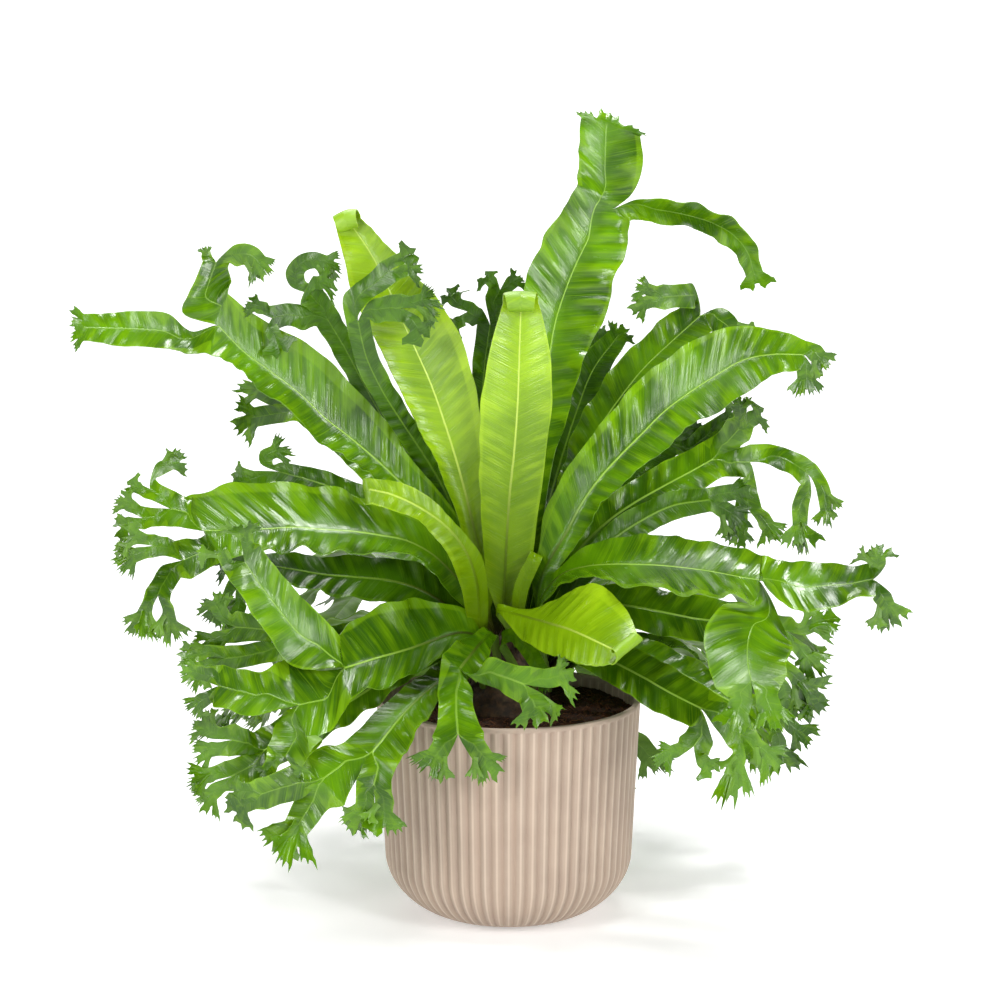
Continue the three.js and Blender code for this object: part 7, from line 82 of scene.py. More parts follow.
  ["frond_left_side_crest","mature",[[[-28.6,-4.3,161.3,-28.8,-2.0,161.3,-29.0,0.3,161.3],[-30.9,-4.2,172.2,-31.2,-1.7,172.5,-31.1,0.8,172.7],[-30.8,-4.7,184.8,-31.5,-1.7,185.3,-31.0,1.3,185.7],[-32.9,-6.2,195.3,-31.2,-2.8,196.3,-28.4,-0.2,197.3],[-35.3,-4.8,197.0,-34.5,-4.8,201.9,-33.6,-4.8,206.7],[-57.4,-12.3,199.4,-57.0,-9.9,206.7,-56.6,-7.5,214.0],[-78.9,-22.7,198.3,-80.3,-18.0,206.3,-81.7,-13.2,214.4],[-100.7,-34.7,194.4,-102.8,-29.3,202.8,-104.9,-23.9,211.2],[-124.1,-45.5,192.1,-125.4,-40.3,200.6,-126.7,-35.2,209.2],[-147.2,-55.7,191.8,-148.0,-51.2,201.2,-148.8,-46.7,210.5]],[[[[-147.2,-55.7,191.8,-147.6,-53.5,196.5,-148.0,-51.2,201.2],[-163.9,-56.0,188.9,-165.3,-56.0,196.7,-166.7,-56.0,204.4],[-176.8,-58.4,186.8,-177.9,-58.4,194.6,-179.0,-58.4,202.4],[-189.7,-60.8,185.1,-190.5,-60.8,193.6,-191.4,-60.8,202.1]],[[[[-189.7,-60.8,185.1,-190.1,-60.8,189.4,-190.5,-60.8,193.6],[-199.3,-62.0,184.5,-201.3,-62.0,189.8,-203.2,-62.0,195.0],[-202.9,-62.0,183.6,-204.7,-62.0,188.4,-206.5,-62.0,193.2],[-206.4,-62.0,182.7,-208.1,-62.0,187.0,-209.7,-62.0,191.3]],[],[3,14.0,60],0],[[[-190.5,-60.8,193.6,-191.0,-60.8,197.9,-191.4,-60.8,202.1],[-201.7,-62.0,193.0,-202.5,-62.0,198.0,-203.2,-62.0,203.1],[-205.8,-62.0,192.5,-206.5,-62.0,197.3,-207.2,-62.0,202.2],[-209.9,-62.0,192.1,-210.6,-62.0,196.7,-211.3,-62.0,201.2]],[],[3,14.0,60],0]],0,0],[[[-148.0,-51.2,201.2,-148.4,-48.9,205.8,-148.8,-46.7,210.5],[-165.1,-53.6,202.4,-163.9,-53.6,211.4,-162.7,-53.6,220.3],[-174.9,-54.8,203.7,-173.9,-54.8,212.9,-172.9,-54.8,222.1],[-184.9,-56.0,202.8,-183.9,-56.0,213.9,-182.9,-56.0,225.1]],[[[[-184.9,-56.0,202.8,-184.4,-56.0,208.4,-183.9,-56.0,213.9],[-191.0,-57.2,203.0,-193.4,-57.2,208.0,-195.7,-57.2,213.0],[-193.8,-57.2,201.8,-196.1,-57.2,206.6,-198.4,-57.2,211.4],[-196.6,-57.2,200.6,-198.8,-57.2,205.2,-201.0,-57.2,209.8]],[],[3,14.0,60],0],[[[-183.9,-56.0,213.9,-183.4,-56.0,219.5,-182.9,-56.0,225.1],[-196.6,-57.2,217.6,-191.8,-57.2,220.4,-187.0,-57.2,223.2],[-198.7,-57.2,221.8,-194.1,-57.2,224.5,-189.5,-57.2,227.2],[-200.8,-57.2,226.1,-196.4,-57.2,228.6,-192.0,-57.2,231.2]],[],[2,14.0,60],0]],0,0]],0,0]],
  ["frond_left_lowest","mature",[[[-26.6,-13.2,158.2,-27.4,-11.1,158.3,-28.3,-9.0,158.3],[-28.3,-15.6,167.6,-29.6,-13.5,168.1,-30.4,-11.2,168.7],[-26.4,-18.8,179.6,-28.5,-16.6,180.5,-29.6,-13.9,181.4],[-26.4,-23.5,189.4,-28.1,-20.2,190.8,-28.6,-16.7,192.4],[-31.0,-24.0,189.6,-32.3,-24.0,194.3,-33.6,-24.0,199.0],[-53.2,-38.1,183.2,-56.2,-35.9,190.2,-59.2,-33.6,197.3],[-72.5,-54.4,173.2,-78.0,-49.0,181.1,-83.6,-43.7,189.0],[-92.1,-70.1,161.5,-98.5,-63.0,169.6,-105.0,-55.9,177.8],[-113.2,-83.2,150.0,-119.6,-75.4,159.2,-126.1,-67.6,168.5],[-134.4,-95.0,140.3,-141.3,-86.7,150.0,-148.3,-78.3,159.7],[-154.3,-105.6,129.2,-162.1,-96.8,139.2,-170.0,-88.0,149.2]],[[[[-154.3,-105.6,129.2,-158.2,-101.2,134.2,-162.1,-96.8,139.2],[-169.0,-104.4,119.8,-173.8,-102.0,128.2,-178.5,-99.6,136.6],[-174.0,-105.6,117.6,-178.7,-103.3,125.8,-183.3,-101.0,134.0],[-178.2,-107.3,114.0,-183.6,-104.6,123.4,-188.9,-101.9,132.9]],[[[[-178.2,-107.3,114.0,-180.9,-105.9,118.7,-183.6,-104.6,123.4],[-187.7,-105.9,113.0,-191.5,-105.9,117.0,-195.3,-105.9,120.9],[-190.6,-105.9,110.4,-194.2,-105.9,114.2,-197.8,-105.9,118.0],[-193.5,-105.9,107.9,-196.9,-105.9,111.5,-200.4,-105.9,115.1]],[],[3,14.0,60],0],[[[-183.6,-104.6,123.4,-186.3,-103.3,128.2,-188.9,-101.9,132.9],[-193.1,-105.9,119.7,-194.0,-105.9,125.2,-195.0,-105.9,130.6],[-196.4,-105.9,119.2,-197.4,-105.9,124.5,-198.3,-105.9,129.7],[-199.8,-105.9,118.8,-200.7,-105.9,123.8,-201.6,-105.9,128.8]],[],[3,15.0,60],0]],0,0],[[[-162.1,-96.8,139.2,-166.0,-92.4,144.2,-170.0,-88.0,149.2],[-175.7,-101.8,135.2,-173.8,-99.4,144.6,-171.9,-97.0,154.0],[-180.4,-103.0,136.8,-178.6,-100.7,146.0,-176.8,-98.4,155.2],[-185.6,-104.7,136.7,-183.4,-102.0,147.3,-181.3,-99.3,158.0]],[[[[-185.6,-104.7,136.7,-184.5,-103.3,142.0,-183.4,-102.0,147.3],[-191.5,-103.3,136.8,-192.7,-103.3,142.2,-193.9,-103.3,147.6],[-194.2,-103.3,136.4,-195.3,-103.3,141.5,-196.5,-103.3,146.7],[-196.9,-103.3,135.9,-198.0,-103.3,140.8,-199.1,-103.3,145.8]],[],[3,13.0,60],0],[[[-183.4,-102.0,147.3,-182.4,-100.7,152.6,-181.3,-99.3,158.0],[-196.7,-103.3,147.0,-193.8,-103.3,151.7,-191.0,-103.3,156.5],[-199.9,-103.3,149.2,-197.1,-103.3,153.8,-194.4,-103.3,158.3],[-203.0,-103.3,151.5,-200.4,-103.3,155.8,-197.8,-103.3,160.2]],[],[3,13.0,60],0]],0,0]],0,0]],
  ["frond_front_left","mature",[[[-15.4,-23.5,164.3,-17.2,-22.1,164.3,-19.1,-20.6,164.4],[-16.5,-26.4,169.9,-18.8,-24.9,170.4,-20.7,-23.0,171.0],[-16.8,-30.8,176.4,-19.7,-28.3,177.5,-21.4,-25.1,179.0],[-18.2,-36.1,180.3,-20.9,-32.0,183.1,-21.8,-27.8,186.8],[-21.6,-39.9,178.8,-23.7,-36.0,184.9,-25.8,-30.8,190.7],[-32.3,-59.4,175.0,-37.5,-50.0,181.5,-42.7,-39.4,187.8],[-42.7,-77.6,171.0,-50.0,-64.6,175.8,-57.5,-51.6,180.8],[-51.3,-95.0,165.2,-61.4,-80.2,169.3,-71.5,-67.2,174.0],[-58.7,-111.4,158.3,-71.5,-95.8,161.8,-84.3,-82.8,166.1],[-65.0,-124.5,150.0,-80.5,-110.4,153.4,-96.1,-99.0,157.5],[-71.1,-134.8,141.0,-89.4,-124.4,145.0,-107.8,-116.6,149.7]],[[[[-71.1,-134.8,141.0,-80.2,-129.6,143.0,-89.4,-124.4,145.0],[-74.4,-134.8,135.3,-84.9,-132.2,137.6,-95.4,-129.6,139.9],[-76.3,-137.4,130.1,-86.4,-134.8,132.2,-96.6,-132.2,134.4],[-76.4,-140.3,124.4,-88.0,-137.4,126.9,-99.6,-134.5,129.4]],[[[[-76.4,-140.3,124.4,-82.2,-138.9,125.6,-88.0,-137.4,126.9],[-74.9,-140.0,115.5,-81.5,-140.0,115.5,-88.0,-140.0,115.5],[-75.3,-140.0,112.2,-81.5,-140.0,112.2,-87.7,-140.0,112.2],[-75.7,-140.0,108.8,-81.5,-140.0,108.8,-87.3,-140.0,108.8]],[],[2,17.0,50],0],[[[-88.0,-137.4,126.9,-93.8,-135.9,128.2,-99.6,-134.5,129.4],[-86.9,-140.0,113.6,-93.2,-140.0,115.5,-99.5,-140.0,117.5],[-88.3,-140.0,110.3,-94.2,-140.0,112.2,-100.1,-140.0,114.0],[-89.7,-140.0,107.1,-95.2,-140.0,108.8,-100.7,-140.0,110.5]],[],[3,17.0,60],0]],0,0],[[[-89.4,-124.4,145.0,-98.6,-120.5,147.3,-107.8,-116.6,149.7],[-100.4,-135.7,125.0,-110.5,-129.6,136.9,-120.6,-123.5,148.8],[-104.8,-138.7,120.8,-115.6,-132.2,133.6,-126.5,-125.7,146.4],[-107.0,-143.1,114.1,-120.7,-134.8,130.2,-134.5,-126.5,146.5]],[[[[-107.0,-143.1,114.1,-113.8,-138.9,122.2,-120.7,-134.8,130.2],[-116.6,-137.4,110.9,-125.9,-137.4,117.5,-135.1,-137.4,124.1],[-124.1,-141.3,102.7,-132.4,-141.3,108.5,-140.8,-141.3,114.3],[-131.4,-145.2,94.6,-138.6,-145.2,99.5,-145.8,-145.2,104.4]],[],[3,24.0,60],0],[[[-120.7,-134.8,130.2,-127.6,-130.7,138.3,-134.5,-126.5,146.5],[-134.2,-138.5,116.7,-137.5,-138.5,128.3,-140.7,-138.5,139.9],[-146.1,-142.8,115.6,-149.1,-142.8,125.6,-152.2,-142.8,135.7],[-157.7,-145.2,111.9,-161.0,-145.2,122.3,-164.4,-145.2,132.7]],[[[[-157.7,-145.2,111.9,-159.4,-145.2,117.1,-161.0,-145.2,122.3],[-164.7,-146.5,112.2,-167.5,-146.5,117.3,-170.3,-146.5,122.5],[-167.2,-146.5,111.2,-169.8,-146.5,116.0,-172.4,-146.5,120.8],[-169.7,-146.5,110.3,-172.1,-146.5,114.6,-174.4,-146.5,119.0]],[],[2,13.0,60],0],[[[-161.0,-145.2,122.3,-162.7,-145.2,127.5,-164.4,-145.2,132.7],[-168.1,-146.5,118.8,-168.0,-146.5,124.7,-168.0,-146.5,130.6],[-170.7,-146.5,119.2,-170.6,-146.5,124.7,-170.6,-146.5,130.2],[-173.3,-146.5,119.7,-173.2,-146.5,124.7,-173.2,-146.5,129.7]],[],[2,12.0,50],0]],0,0]],0,0]],0,0]],
  ["frond_front_fork","mature",[[[-3.3,-22.8,178.5,-5.5,-22.2,178.5,-7.8,-21.6,178.5],[-5.0,-24.7,186.4,-7.6,-24.4,186.1,-10.0,-23.5,185.8],[-6.3,-25.4,195.3,-9.5,-25.3,194.8,-12.5,-24.0,194.3],[-7.2,-28.5,202.2,-11.1,-26.9,201.6,-14.4,-24.1,201.8],[-8.8,-30.8,200.4,-12.6,-30.8,204.3,-16.5,-30.8,208.3],[-12.4,-49.5,197.7,-17.8,-48.4,202.7,-23.2,-47.2,207.6],[-13.9,-65.7,192.7,-22.7,-63.2,200.0,-31.6,-60.8,207.3],[-17.3,-77.6,188.2,-27.6,-75.4,196.5,-37.9,-73.3,204.8],[-21.2,-85.2,182.7,-32.5,-85.2,192.3,-43.8,-85.2,202.0]],[[[[-21.2,-85.2,182.7,-26.9,-85.2,187.5,-32.5,-85.2,192.3],[-13.1,-94.1,201.6,-15.8,-92.1,191.9,-18.6,-90.1,182.1],[-4.1,-98.9,199.6,-6.8,-97.0,190.2,-9.6,-95.0,180.8],[5.1,-102.9,198.5,1.8,-100.8,188.2,-1.6,-98.6,177.8],[14.2,-106.3,198.3,9.9,-103.6,185.7,5.7,-100.9,173.1]],[[[[14.2,-106.3,198.3,12.1,-104.9,192.0,9.9,-103.6,185.7],[22.7,-104.8,196.2,24.4,-104.8,189.4,26.1,-104.8,182.6],[26.7,-104.8,197.0,28.4,-104.8,190.4,30.0,-104.8,183.8],[30.7,-104.8,197.8,32.3,-104.8,191.4,33.9,-104.8,185.0]],[],[3,16.0,70],0],[[[9.9,-103.6,185.7,7.8,-102.3,179.4,5.7,-100.9,173.1],[23.1,-105.9,179.6,15.2,-105.9,176.1,7.3,-105.9,172.7],[24.3,-105.9,177.3,16.2,-105.9,173.8,8.1,-105.9,170.2],[25.5,-105.9,175.0,17.2,-105.9,171.4,8.9,-105.9,167.8]],[],[3,15.0,80],0]],0,0],[[[-32.5,-85.2,192.3,-38.2,-85.2,197.1,-43.8,-85.2,202.0],[-23.0,-94.4,179.5,-35.1,-94.4,179.5,-47.2,-94.4,179.5],[-23.9,-99.7,172.9,-35.0,-99.7,172.7,-46.1,-99.7,172.5],[-22.7,-104.3,166.6,-34.7,-104.3,166.0,-46.6,-104.3,165.3],[-20.1,-108.3,160.6,-34.1,-108.3,159.6,-48.1,-108.3,158.5],[-16.5,-111.7,155.3,-33.6,-111.7,153.9,-50.6,-111.7,152.4]],[[[[-16.5,-111.7,155.3,-25.0,-111.7,154.6,-33.6,-111.7,153.9],[-16.1,-115.1,150.7,-21.7,-115.1,145.9,-27.3,-115.1,141.2],[-13.6,-115.1,146.5,-18.7,-115.1,142.2,-23.9,-115.1,137.9],[-11.1,-115.1,142.4,-15.8,-115.1,138.5,-20.4,-115.1,134.6]],[],[3,15.0,45],0],[[[-33.6,-111.7,153.9,-42.1,-111.7,153.1,-50.6,-111.7,152.4],[-38.3,-115.1,141.5,-44.1,-115.1,145.9,-49.9,-115.1,150.4],[-40.6,-115.1,139.0,-46.1,-115.1,143.2,-51.5,-115.1,147.5],[-42.9,-115.1,136.6,-48.0,-115.1,140.5,-53.2,-115.1,144.5]],[],[3,16.0,60],0]],0,0]],0,0]],
  ["frond_front_arch","mature",[[[9.6,-25.2,168.4,7.4,-25.8,168.3,5.2,-26.4,168.3],[7.9,-27.3,177.9,5.9,-28.2,176.7,3.8,-28.6,175.5],[2.6,-27.5,188.1,0.5,-28.7,186.5,-1.8,-29.0,184.9],[-2.7,-26.3,196.9,-4.0,-29.2,195.5,-6.2,-31.3,193.9],[-4.5,-32.2,205.3,-3.2,-32.2,201.3,-2.0,-32.2,197.3],[3.5,-39.5,209.9,2.9,-39.5,204.9,2.3,-39.5,199.9],[11.9,-47.1,207.0,8.5,-47.1,202.5,5.2,-47.1,198.1],[17.5,-54.9,202.5,13.2,-54.9,198.7,8.8,-54.9,194.9],[21.1,-63.0,197.3,16.8,-63.0,194.1,12.5,-63.0,191.0],[24.3,-69.2,192.2,20.5,-69.2,189.3,16.7,-69.2,186.4],[27.5,-73.6,186.6,24.3,-73.6,184.2,21.0,-73.6,181.7]],[],[3,12.0,40],0]],
  ["frond_front_young","young",[[[7.9,-12.2,191.0,5.8,-13.1,190.9,3.7,-14.0,190.8],[5.2,-14.1,200.5,3.5,-15.4,199.4,1.6,-16.4,198.3],[-1.5,-15.3,210.4,-2.5,-17.5,209.2,-4.2,-19.0,207.7],[-7.5,-17.5,218.6,-7.5,-20.2,217.0,-8.5,-22.6,215.3],[-7.0,-22.2,222.8,-6.7,-24.6,219.8,-6.4,-27.0,217.5],[6.2,-27.6,220.6,3.9,-34.9,218.3,-0.3,-41.5,212.7],[19.4,-34.1,222.2,14.5,-45.6,217.8,6.2,-55.5,208.1],[31.5,-42.4,229.9,22.9,-56.8,218.0,13.6,-68.8,204.5],[42.7,-51.8,239.3,30.8,-68.4,218.1,22.0,-81.6,202.7],[55.4,-61.3,243.8,40.2,-79.7,217.5,31.0,-93.8,202.4],[67.3,-71.8,241.9,49.5,-91.0,215.7,39.7,-105.4,202.3],[75.7,-81.8,234.4,58.5,-100.1,213.2,48.3,-113.5,201.5],[81.8,-91.5,225.1,67.1,-107.3,210.4,57.1,-118.2,200.4],[85.7,-100.8,214.8,74.1,-112.8,208.0,65.9,-120.0,203.0]],[],0,[5.0,0.85,1]]],
  ["frond_right_low","mature",[[[21.3,-8.7,178.5,20.2,-10.7,178.5,19.1,-12.8,178.5],[22.7,-9.4,191.1,21.9,-12.1,191.1,20.6,-14.5,191.2],[21.4,-7.6,205.7,21.3,-11.5,205.9,19.7,-15.2,206.0],[20.6,-5.7,220.7,22.1,-11.2,220.0,21.5,-16.8,219.6],[25.4,-8.5,234.6,26.3,-13.9,230.7,27.2,-22.0,226.8],[37.4,-12.5,248.5,38.2,-23.4,244.5,38.8,-40.5,241.9],[50.9,-18.0,260.9,53.1,-33.5,251.3,53.8,-58.0,249.3],[67.1,-25.2,268.5,68.3,-44.1,254.7,68.6,-73.8,247.9],[84.4,-33.6,272.4,84.6,-55.1,256.8,83.9,-88.6,248.7],[101.7,-42.0,274.8,101.0,-65.4,258.1,99.3,-102.0,249.6],[118.7,-51.1,273.8,117.0,-75.4,258.4,114.5,-113.2,248.4],[135.6,-60.2,272.4,133.2,-83.5,257.7,129.9,-120.4,247.9],[152.2,-69.5,271.0,149.3,-90.0,255.8,145.6,-124.2,249.1],[167.9,-78.8,267.0,164.4,-95.0,253.8,159.6,-124.7,242.6]],[[[[167.9,-78.8,267.0,166.2,-86.9,260.4,164.4,-95.0,253.8],[167.2,-86.9,268.5,167.3,-97.7,260.9,166.7,-116.7,254.9],[181.4,-87.0,266.0,179.8,-99.9,253.9,177.8,-118.2,243.1],[195.5,-88.6,265.1,193.7,-102.0,250.8,191.6,-119.0,237.5],[209.5,-91.0,264.2,208.6,-104.2,252.2,207.4,-119.4,240.8],[223.3,-95.5,263.8,223.3,-106.3,253.9,223.2,-118.6,244.4],[236.5,-99.8,266.1,237.7,-108.5,257.0,238.6,-119.0,248.3]],[[[[236.5,-99.8,266.1,237.1,-104.1,261.5,237.7,-108.5,257.0],[235.0,-111.2,265.1,240.7,-111.2,265.1,246.5,-111.2,265.1],[235.3,-111.2,268.5,240.7,-111.2,268.5,246.0,-111.2,268.5],[235.7,-111.2,271.8,240.6,-111.2,271.8,245.5,-111.2,271.8]],[],[2,11.0,70],0],[[[237.7,-108.5,257.0,238.2,-113.7,252.6,238.6,-119.0,248.3],[248.3,-116.6,250.9,243.0,-116.6,247.6,237.8,-116.6,244.3],[249.8,-116.6,247.2,245.1,-116.6,244.3,240.3,-116.6,241.3],[251.2,-116.6,243.5,247.1,-116.6,241.0,243.0,-116.6,238.4]],[],[2,16.0,30],0]],0,0],[[[164.4,-95.0,253.8,162.0,-109.9,248.2,159.6,-124.7,242.6],[182.1,-113.8,225.4,161.5,-119.3,234.9,141.1,-124.8,244.3],[182.8,-125.3,218.9,156.8,-132.0,228.3,131.1,-138.7,237.6],[182.4,-134.4,215.2,153.7,-141.6,219.5,125.3,-148.8,223.7],[178.9,-141.7,209.9,153.6,-148.0,208.7,128.5,-154.4,207.7],[178.9,-145.7,203.0,155.4,-151.7,199.7,131.9,-157.7,196.4]],[[[[178.9,-145.7,203.0,167.1,-148.7,201.4,155.4,-151.7,199.7],[172.7,-153.0,191.5,165.0,-153.0,188.8,157.4,-153.0,186.2],[173.7,-153.7,187.6,166.3,-153.7,185.0,158.9,-153.7,182.5],[174.7,-154.4,183.7,167.6,-154.4,181.2,160.5,-154.4,178.8]],[],[3,14.0,45],0],[[[155.4,-151.7,199.7,143.6,-154.7,198.1,131.9,-157.7,196.4],[156.8,-153.0,185.1,149.6,-153.0,187.5,142.5,-153.0,189.9],[155.4,-153.7,181.3,148.3,-153.7,183.7,141.3,-153.7,186.1],[153.9,-154.4,177.6,147.1,-154.4,179.9,140.2,-154.4,182.3]],[],[3,13.0,45],0]],0,0]],0,0]],
  ["frond_right_under","mature",[[[22.1,-14.3,170.3,20.7,-16.2,170.3,19.3,-18.0,170.3],[24.0,-16.0,182.2,22.6,-18.2,182.3,20.9,-20.1,182.4],[24.0,-15.0,196.6,22.8,-18.0,197.0,20.7,-20.5,197.2],[20.0,-16.6,210.8,23.7,-18.6,210.0,26.6,-21.7,209.4],[26.7,-22.0,222.3,27.9,-22.6,217.0,29.1,-23.3,211.6],[50.2,-30.0,234.7,51.2,-34.1,224.8,52.2,-38.3,214.8],[78.2,-35.2,239.5,76.6,-43.6,226.6,75.0,-52.0,213.8],[105.7,-43.1,237.4,102.4,-52.7,223.9,99.2,-62.3,210.5],[130.7,-51.1,234.1,128.1,-60.8,220.4,125.4,-70.5,206.9],[155.2,-59.6,231.8,153.5,-68.0,219.9,151.9,-76.4,208.1]],[[[[155.2,-59.6,231.8,154.3,-63.8,225.9,153.5,-68.0,219.9],[175.7,-73.2,227.3,173.2,-73.2,219.0,170.6,-73.2,210.7],[181.6,-75.8,225.9,179.0,-75.8,217.5,176.4,-75.8,209.1],[187.8,-78.4,226.0,184.7,-78.4,216.0,181.6,-78.4,206.0]],[[[[187.8,-78.4,226.0,186.3,-78.4,221.0,184.7,-78.4,216.0],[192.3,-79.7,221.8,193.9,-79.7,217.0,195.6,-79.7,212.2],[196.3,-79.7,222.9,197.9,-79.7,218.4,199.5,-79.7,213.8],[200.4,-79.7,224.1,201.9,-79.7,219.7,203.4,-79.7,215.4]],[],[3,18.0,55],0],[[[184.7,-78.4,216.0,183.2,-78.4,211.0,181.6,-78.4,206.0],[196.6,-79.7,209.3,192.8,-79.7,206.1,188.9,-79.7,202.9],[199.4,-79.7,205.9,195.5,-79.7,202.7,191.7,-79.7,199.5],[202.1,-79.7,202.5,198.2,-79.7,199.3,194.4,-79.7,196.1]],[],[3,18.0,55],0]],0,0],[[[153.5,-68.0,219.9,152.7,-72.2,214.0,151.9,-76.4,208.1],[176.6,-73.2,206.7,169.4,-73.2,201.9,162.3,-73.2,197.1],[180.1,-77.1,201.8,172.8,-77.1,197.0,165.6,-77.1,192.1],[184.9,-81.0,197.8,176.2,-81.0,192.0,167.6,-81.0,186.3]],[[[[184.9,-81.0,197.8,180.5,-81.0,194.9,176.2,-81.0,192.0],[192.5,-83.6,191.8,188.7,-83.6,187.9,184.9,-83.6,183.9],[195.7,-83.6,188.2,192.1,-83.6,184.4,188.5,-83.6,180.7],[198.9,-83.6,184.7,195.5,-83.6,181.0,192.0,-83.6,177.4]],[],[3,22.0,60],0],[[[176.2,-81.0,192.0,171.9,-81.0,189.1,167.6,-81.0,186.3],[187.4,-83.6,182.6,182.1,-83.6,181.0,176.9,-83.6,179.5],[188.6,-83.6,177.7,183.6,-83.6,176.2,178.5,-83.6,174.8],[189.8,-83.6,172.9,185.0,-83.6,171.5,180.2,-83.6,170.0]],[],[3,22.0,60],0]],0,0]],0,0]],
  ["frond_right_lowest","mature",[[[19.0,-20.6,164.3,17.2,-22.1,164.3,15.4,-23.5,164.3],[22.1,-22.4,173.4,20.2,-24.2,173.4,18.0,-25.6,173.5],[24.2,-22.1,184.6,22.0,-24.5,184.8,19.1,-26.0,185.0],[24.4,-21.0,195.3,24.2,-25.1,194.4,22.6,-29.1,194.0],[29.7,-27.7,203.4,28.2,-28.4,198.1,26.8,-29.1,192.9],[51.4,-44.0,205.9,48.3,-47.8,196.8,45.1,-51.5,187.6],[73.9,-58.2,203.9,68.4,-65.5,192.9,63.0,-72.7,182.0],[95.4,-71.2,197.7,87.9,-79.9,185.8,80.5,-88.5,174.1],[114.7,-81.5,188.6,107.1,-90.3,176.8,99.6,-99.0,165.1],[133.4,-89.0,178.7,126.7,-97.0,167.9,120.0,-105.0,157.1]],[[[[133.4,-89.0,178.7,130.1,-93.0,173.3,126.7,-97.0,167.9],[150.7,-101.5,168.1,143.7,-101.5,160.8,136.6,-101.5,153.5],[155.1,-103.8,163.8,148.2,-103.8,156.6,141.3,-103.8,149.4],[160.6,-106.0,160.7,152.7,-106.0,152.4,144.7,-106.0,144.1]],[[[[160.6,-106.0,160.7,156.7,-106.0,156.6,152.7,-106.0,152.4],[166.1,-109.0,150.4,163.1,-109.0,146.4,160.1,-109.0,142.4],[169.3,-109.0,147.5,166.4,-109.0,143.7,163.5,-109.0,139.9],[172.5,-109.0,144.6,169.8,-109.0,141.0,167.0,-109.0,137.4]],[],[3,18.0,60],0],[[[152.7,-106.0,152.4,148.7,-106.0,148.3,144.7,-106.0,144.1],[157.5,-109.0,140.1,152.6,-109.0,141.0,147.7,-109.0,141.8],[156.7,-109.0,136.1,152.0,-109.0,136.9,147.3,-109.0,137.7],[155.8,-109.0,132.0,151.4,-109.0,132.8,147.0,-109.0,133.6]],[],[2,30.0,25],0]],0,0],[[[126.7,-97.0,167.9,123.4,-101.0,162.5,120.0,-105.0,157.1],[136.2,-103.0,145.9,127.8,-103.0,151.7,119.4,-103.0,157.4],[133.4,-104.5,142.3,125.1,-104.5,148.0,116.8,-104.5,153.6],[131.9,-106.0,137.8,122.4,-106.0,144.3,112.9,-106.0,150.8]],[[[[131.9,-106.0,137.8,127.2,-106.0,141.0,122.4,-106.0,144.3],[129.7,-109.0,140.5,126.2,-109.0,136.9,122.8,-109.0,133.3],[131.5,-109.0,138.3,128.2,-109.0,134.8,124.9,-109.0,131.4],[133.4,-109.0,136.1,130.2,-109.0,132.8,127.1,-109.0,129.5]],[],[2,10.0,60],0],[[[122.4,-106.0,144.3,117.6,-106.0,147.5,112.9,-106.0,150.8],[114.2,-109.0,137.4,113.0,-109.0,142.3,111.7,-109.0,147.3],[111.5,-109.0,137.0,110.3,-109.0,141.6,109.1,-109.0,146.3],[108.8,-109.0,136.5,107.7,-109.0,141.0,106.6,-109.0,145.4]],[],[3,15.0,70],0]],0,0]],0,0]],
  ["frond_right_side","mature",[[[28.7,-7.5,158.2,28.0,-9.6,158.3,27.2,-11.8,158.3],[28.6,-7.8,167.6,27.9,-10.2,167.8,26.9,-12.5,167.9],[27.0,-6.0,179.3,25.8,-8.9,179.6,23.8,-11.2,179.6],[22.4,-3.7,189.6,24.2,-7.1,189.9,24.7,-10.9,190.3],[27.5,-6.5,199.4,27.5,-7.1,194.6,27.4,-7.6,189.8],[55.3,-9.8,203.9,54.2,-13.0,196.1,53.1,-16.2,188.4],[85.0,-13.3,200.5,81.0,-19.7,191.4,77.2,-26.1,182.2],[112.5,-19.8,191.0,106.4,-27.4,181.6,100.4,-34.9,172.2],[137.3,-27.3,178.6,130.6,-34.9,169.5,123.9,-42.5,160.5],[160.5,-35.7,165.3,154.4,-42.4,157.3,148.4,-49.1,149.4]],[[[[160.5,-35.7,165.3,157.5,-39.0,161.3,154.4,-42.4,157.3],[174.1,-47.6,162.3,169.7,-47.6,155.8,165.3,-47.6,149.3],[178.6,-50.2,159.3,174.3,-50.2,153.0,169.9,-50.2,146.6],[183.8,-52.8,157.5,178.8,-52.8,150.1,173.8,-52.8,142.7]],[[[[183.8,-52.8,157.5,181.3,-52.8,153.8,178.8,-52.8,150.1],[191.2,-55.4,152.0,188.1,-55.4,148.0,185.0,-55.4,143.9],[194.5,-55.4,149.0,191.6,-55.4,145.2,188.6,-55.4,141.3],[197.8,-55.4,146.1,195.0,-55.4,142.4,192.2,-55.4,138.7]],[],[3,18.0,60],0],[[[178.8,-52.8,150.1,176.3,-52.8,146.4,173.8,-52.8,142.7],[187.8,-55.4,139.1,182.8,-55.4,138.2,177.9,-55.4,137.3],[188.4,-55.4,134.8,183.6,-55.4,134.0,178.8,-55.4,133.2],[188.9,-55.4,130.6,184.3,-55.4,129.8,179.8,-55.4,129.0]],[],[2,20.0,40],0]],0,0],[[[154.4,-42.4,157.3,151.4,-45.8,153.4,148.4,-49.1,149.4],[170.4,-50.2,145.8,162.8,-50.2,143.9,155.3,-50.2,141.9],[171.4,-51.5,140.5,164.2,-51.5,138.6,156.9,-51.5,136.7],[172.4,-52.8,135.1,165.5,-52.8,133.3,158.6,-52.8,131.5]],[],[3,24.0,50],0]],0,0]],
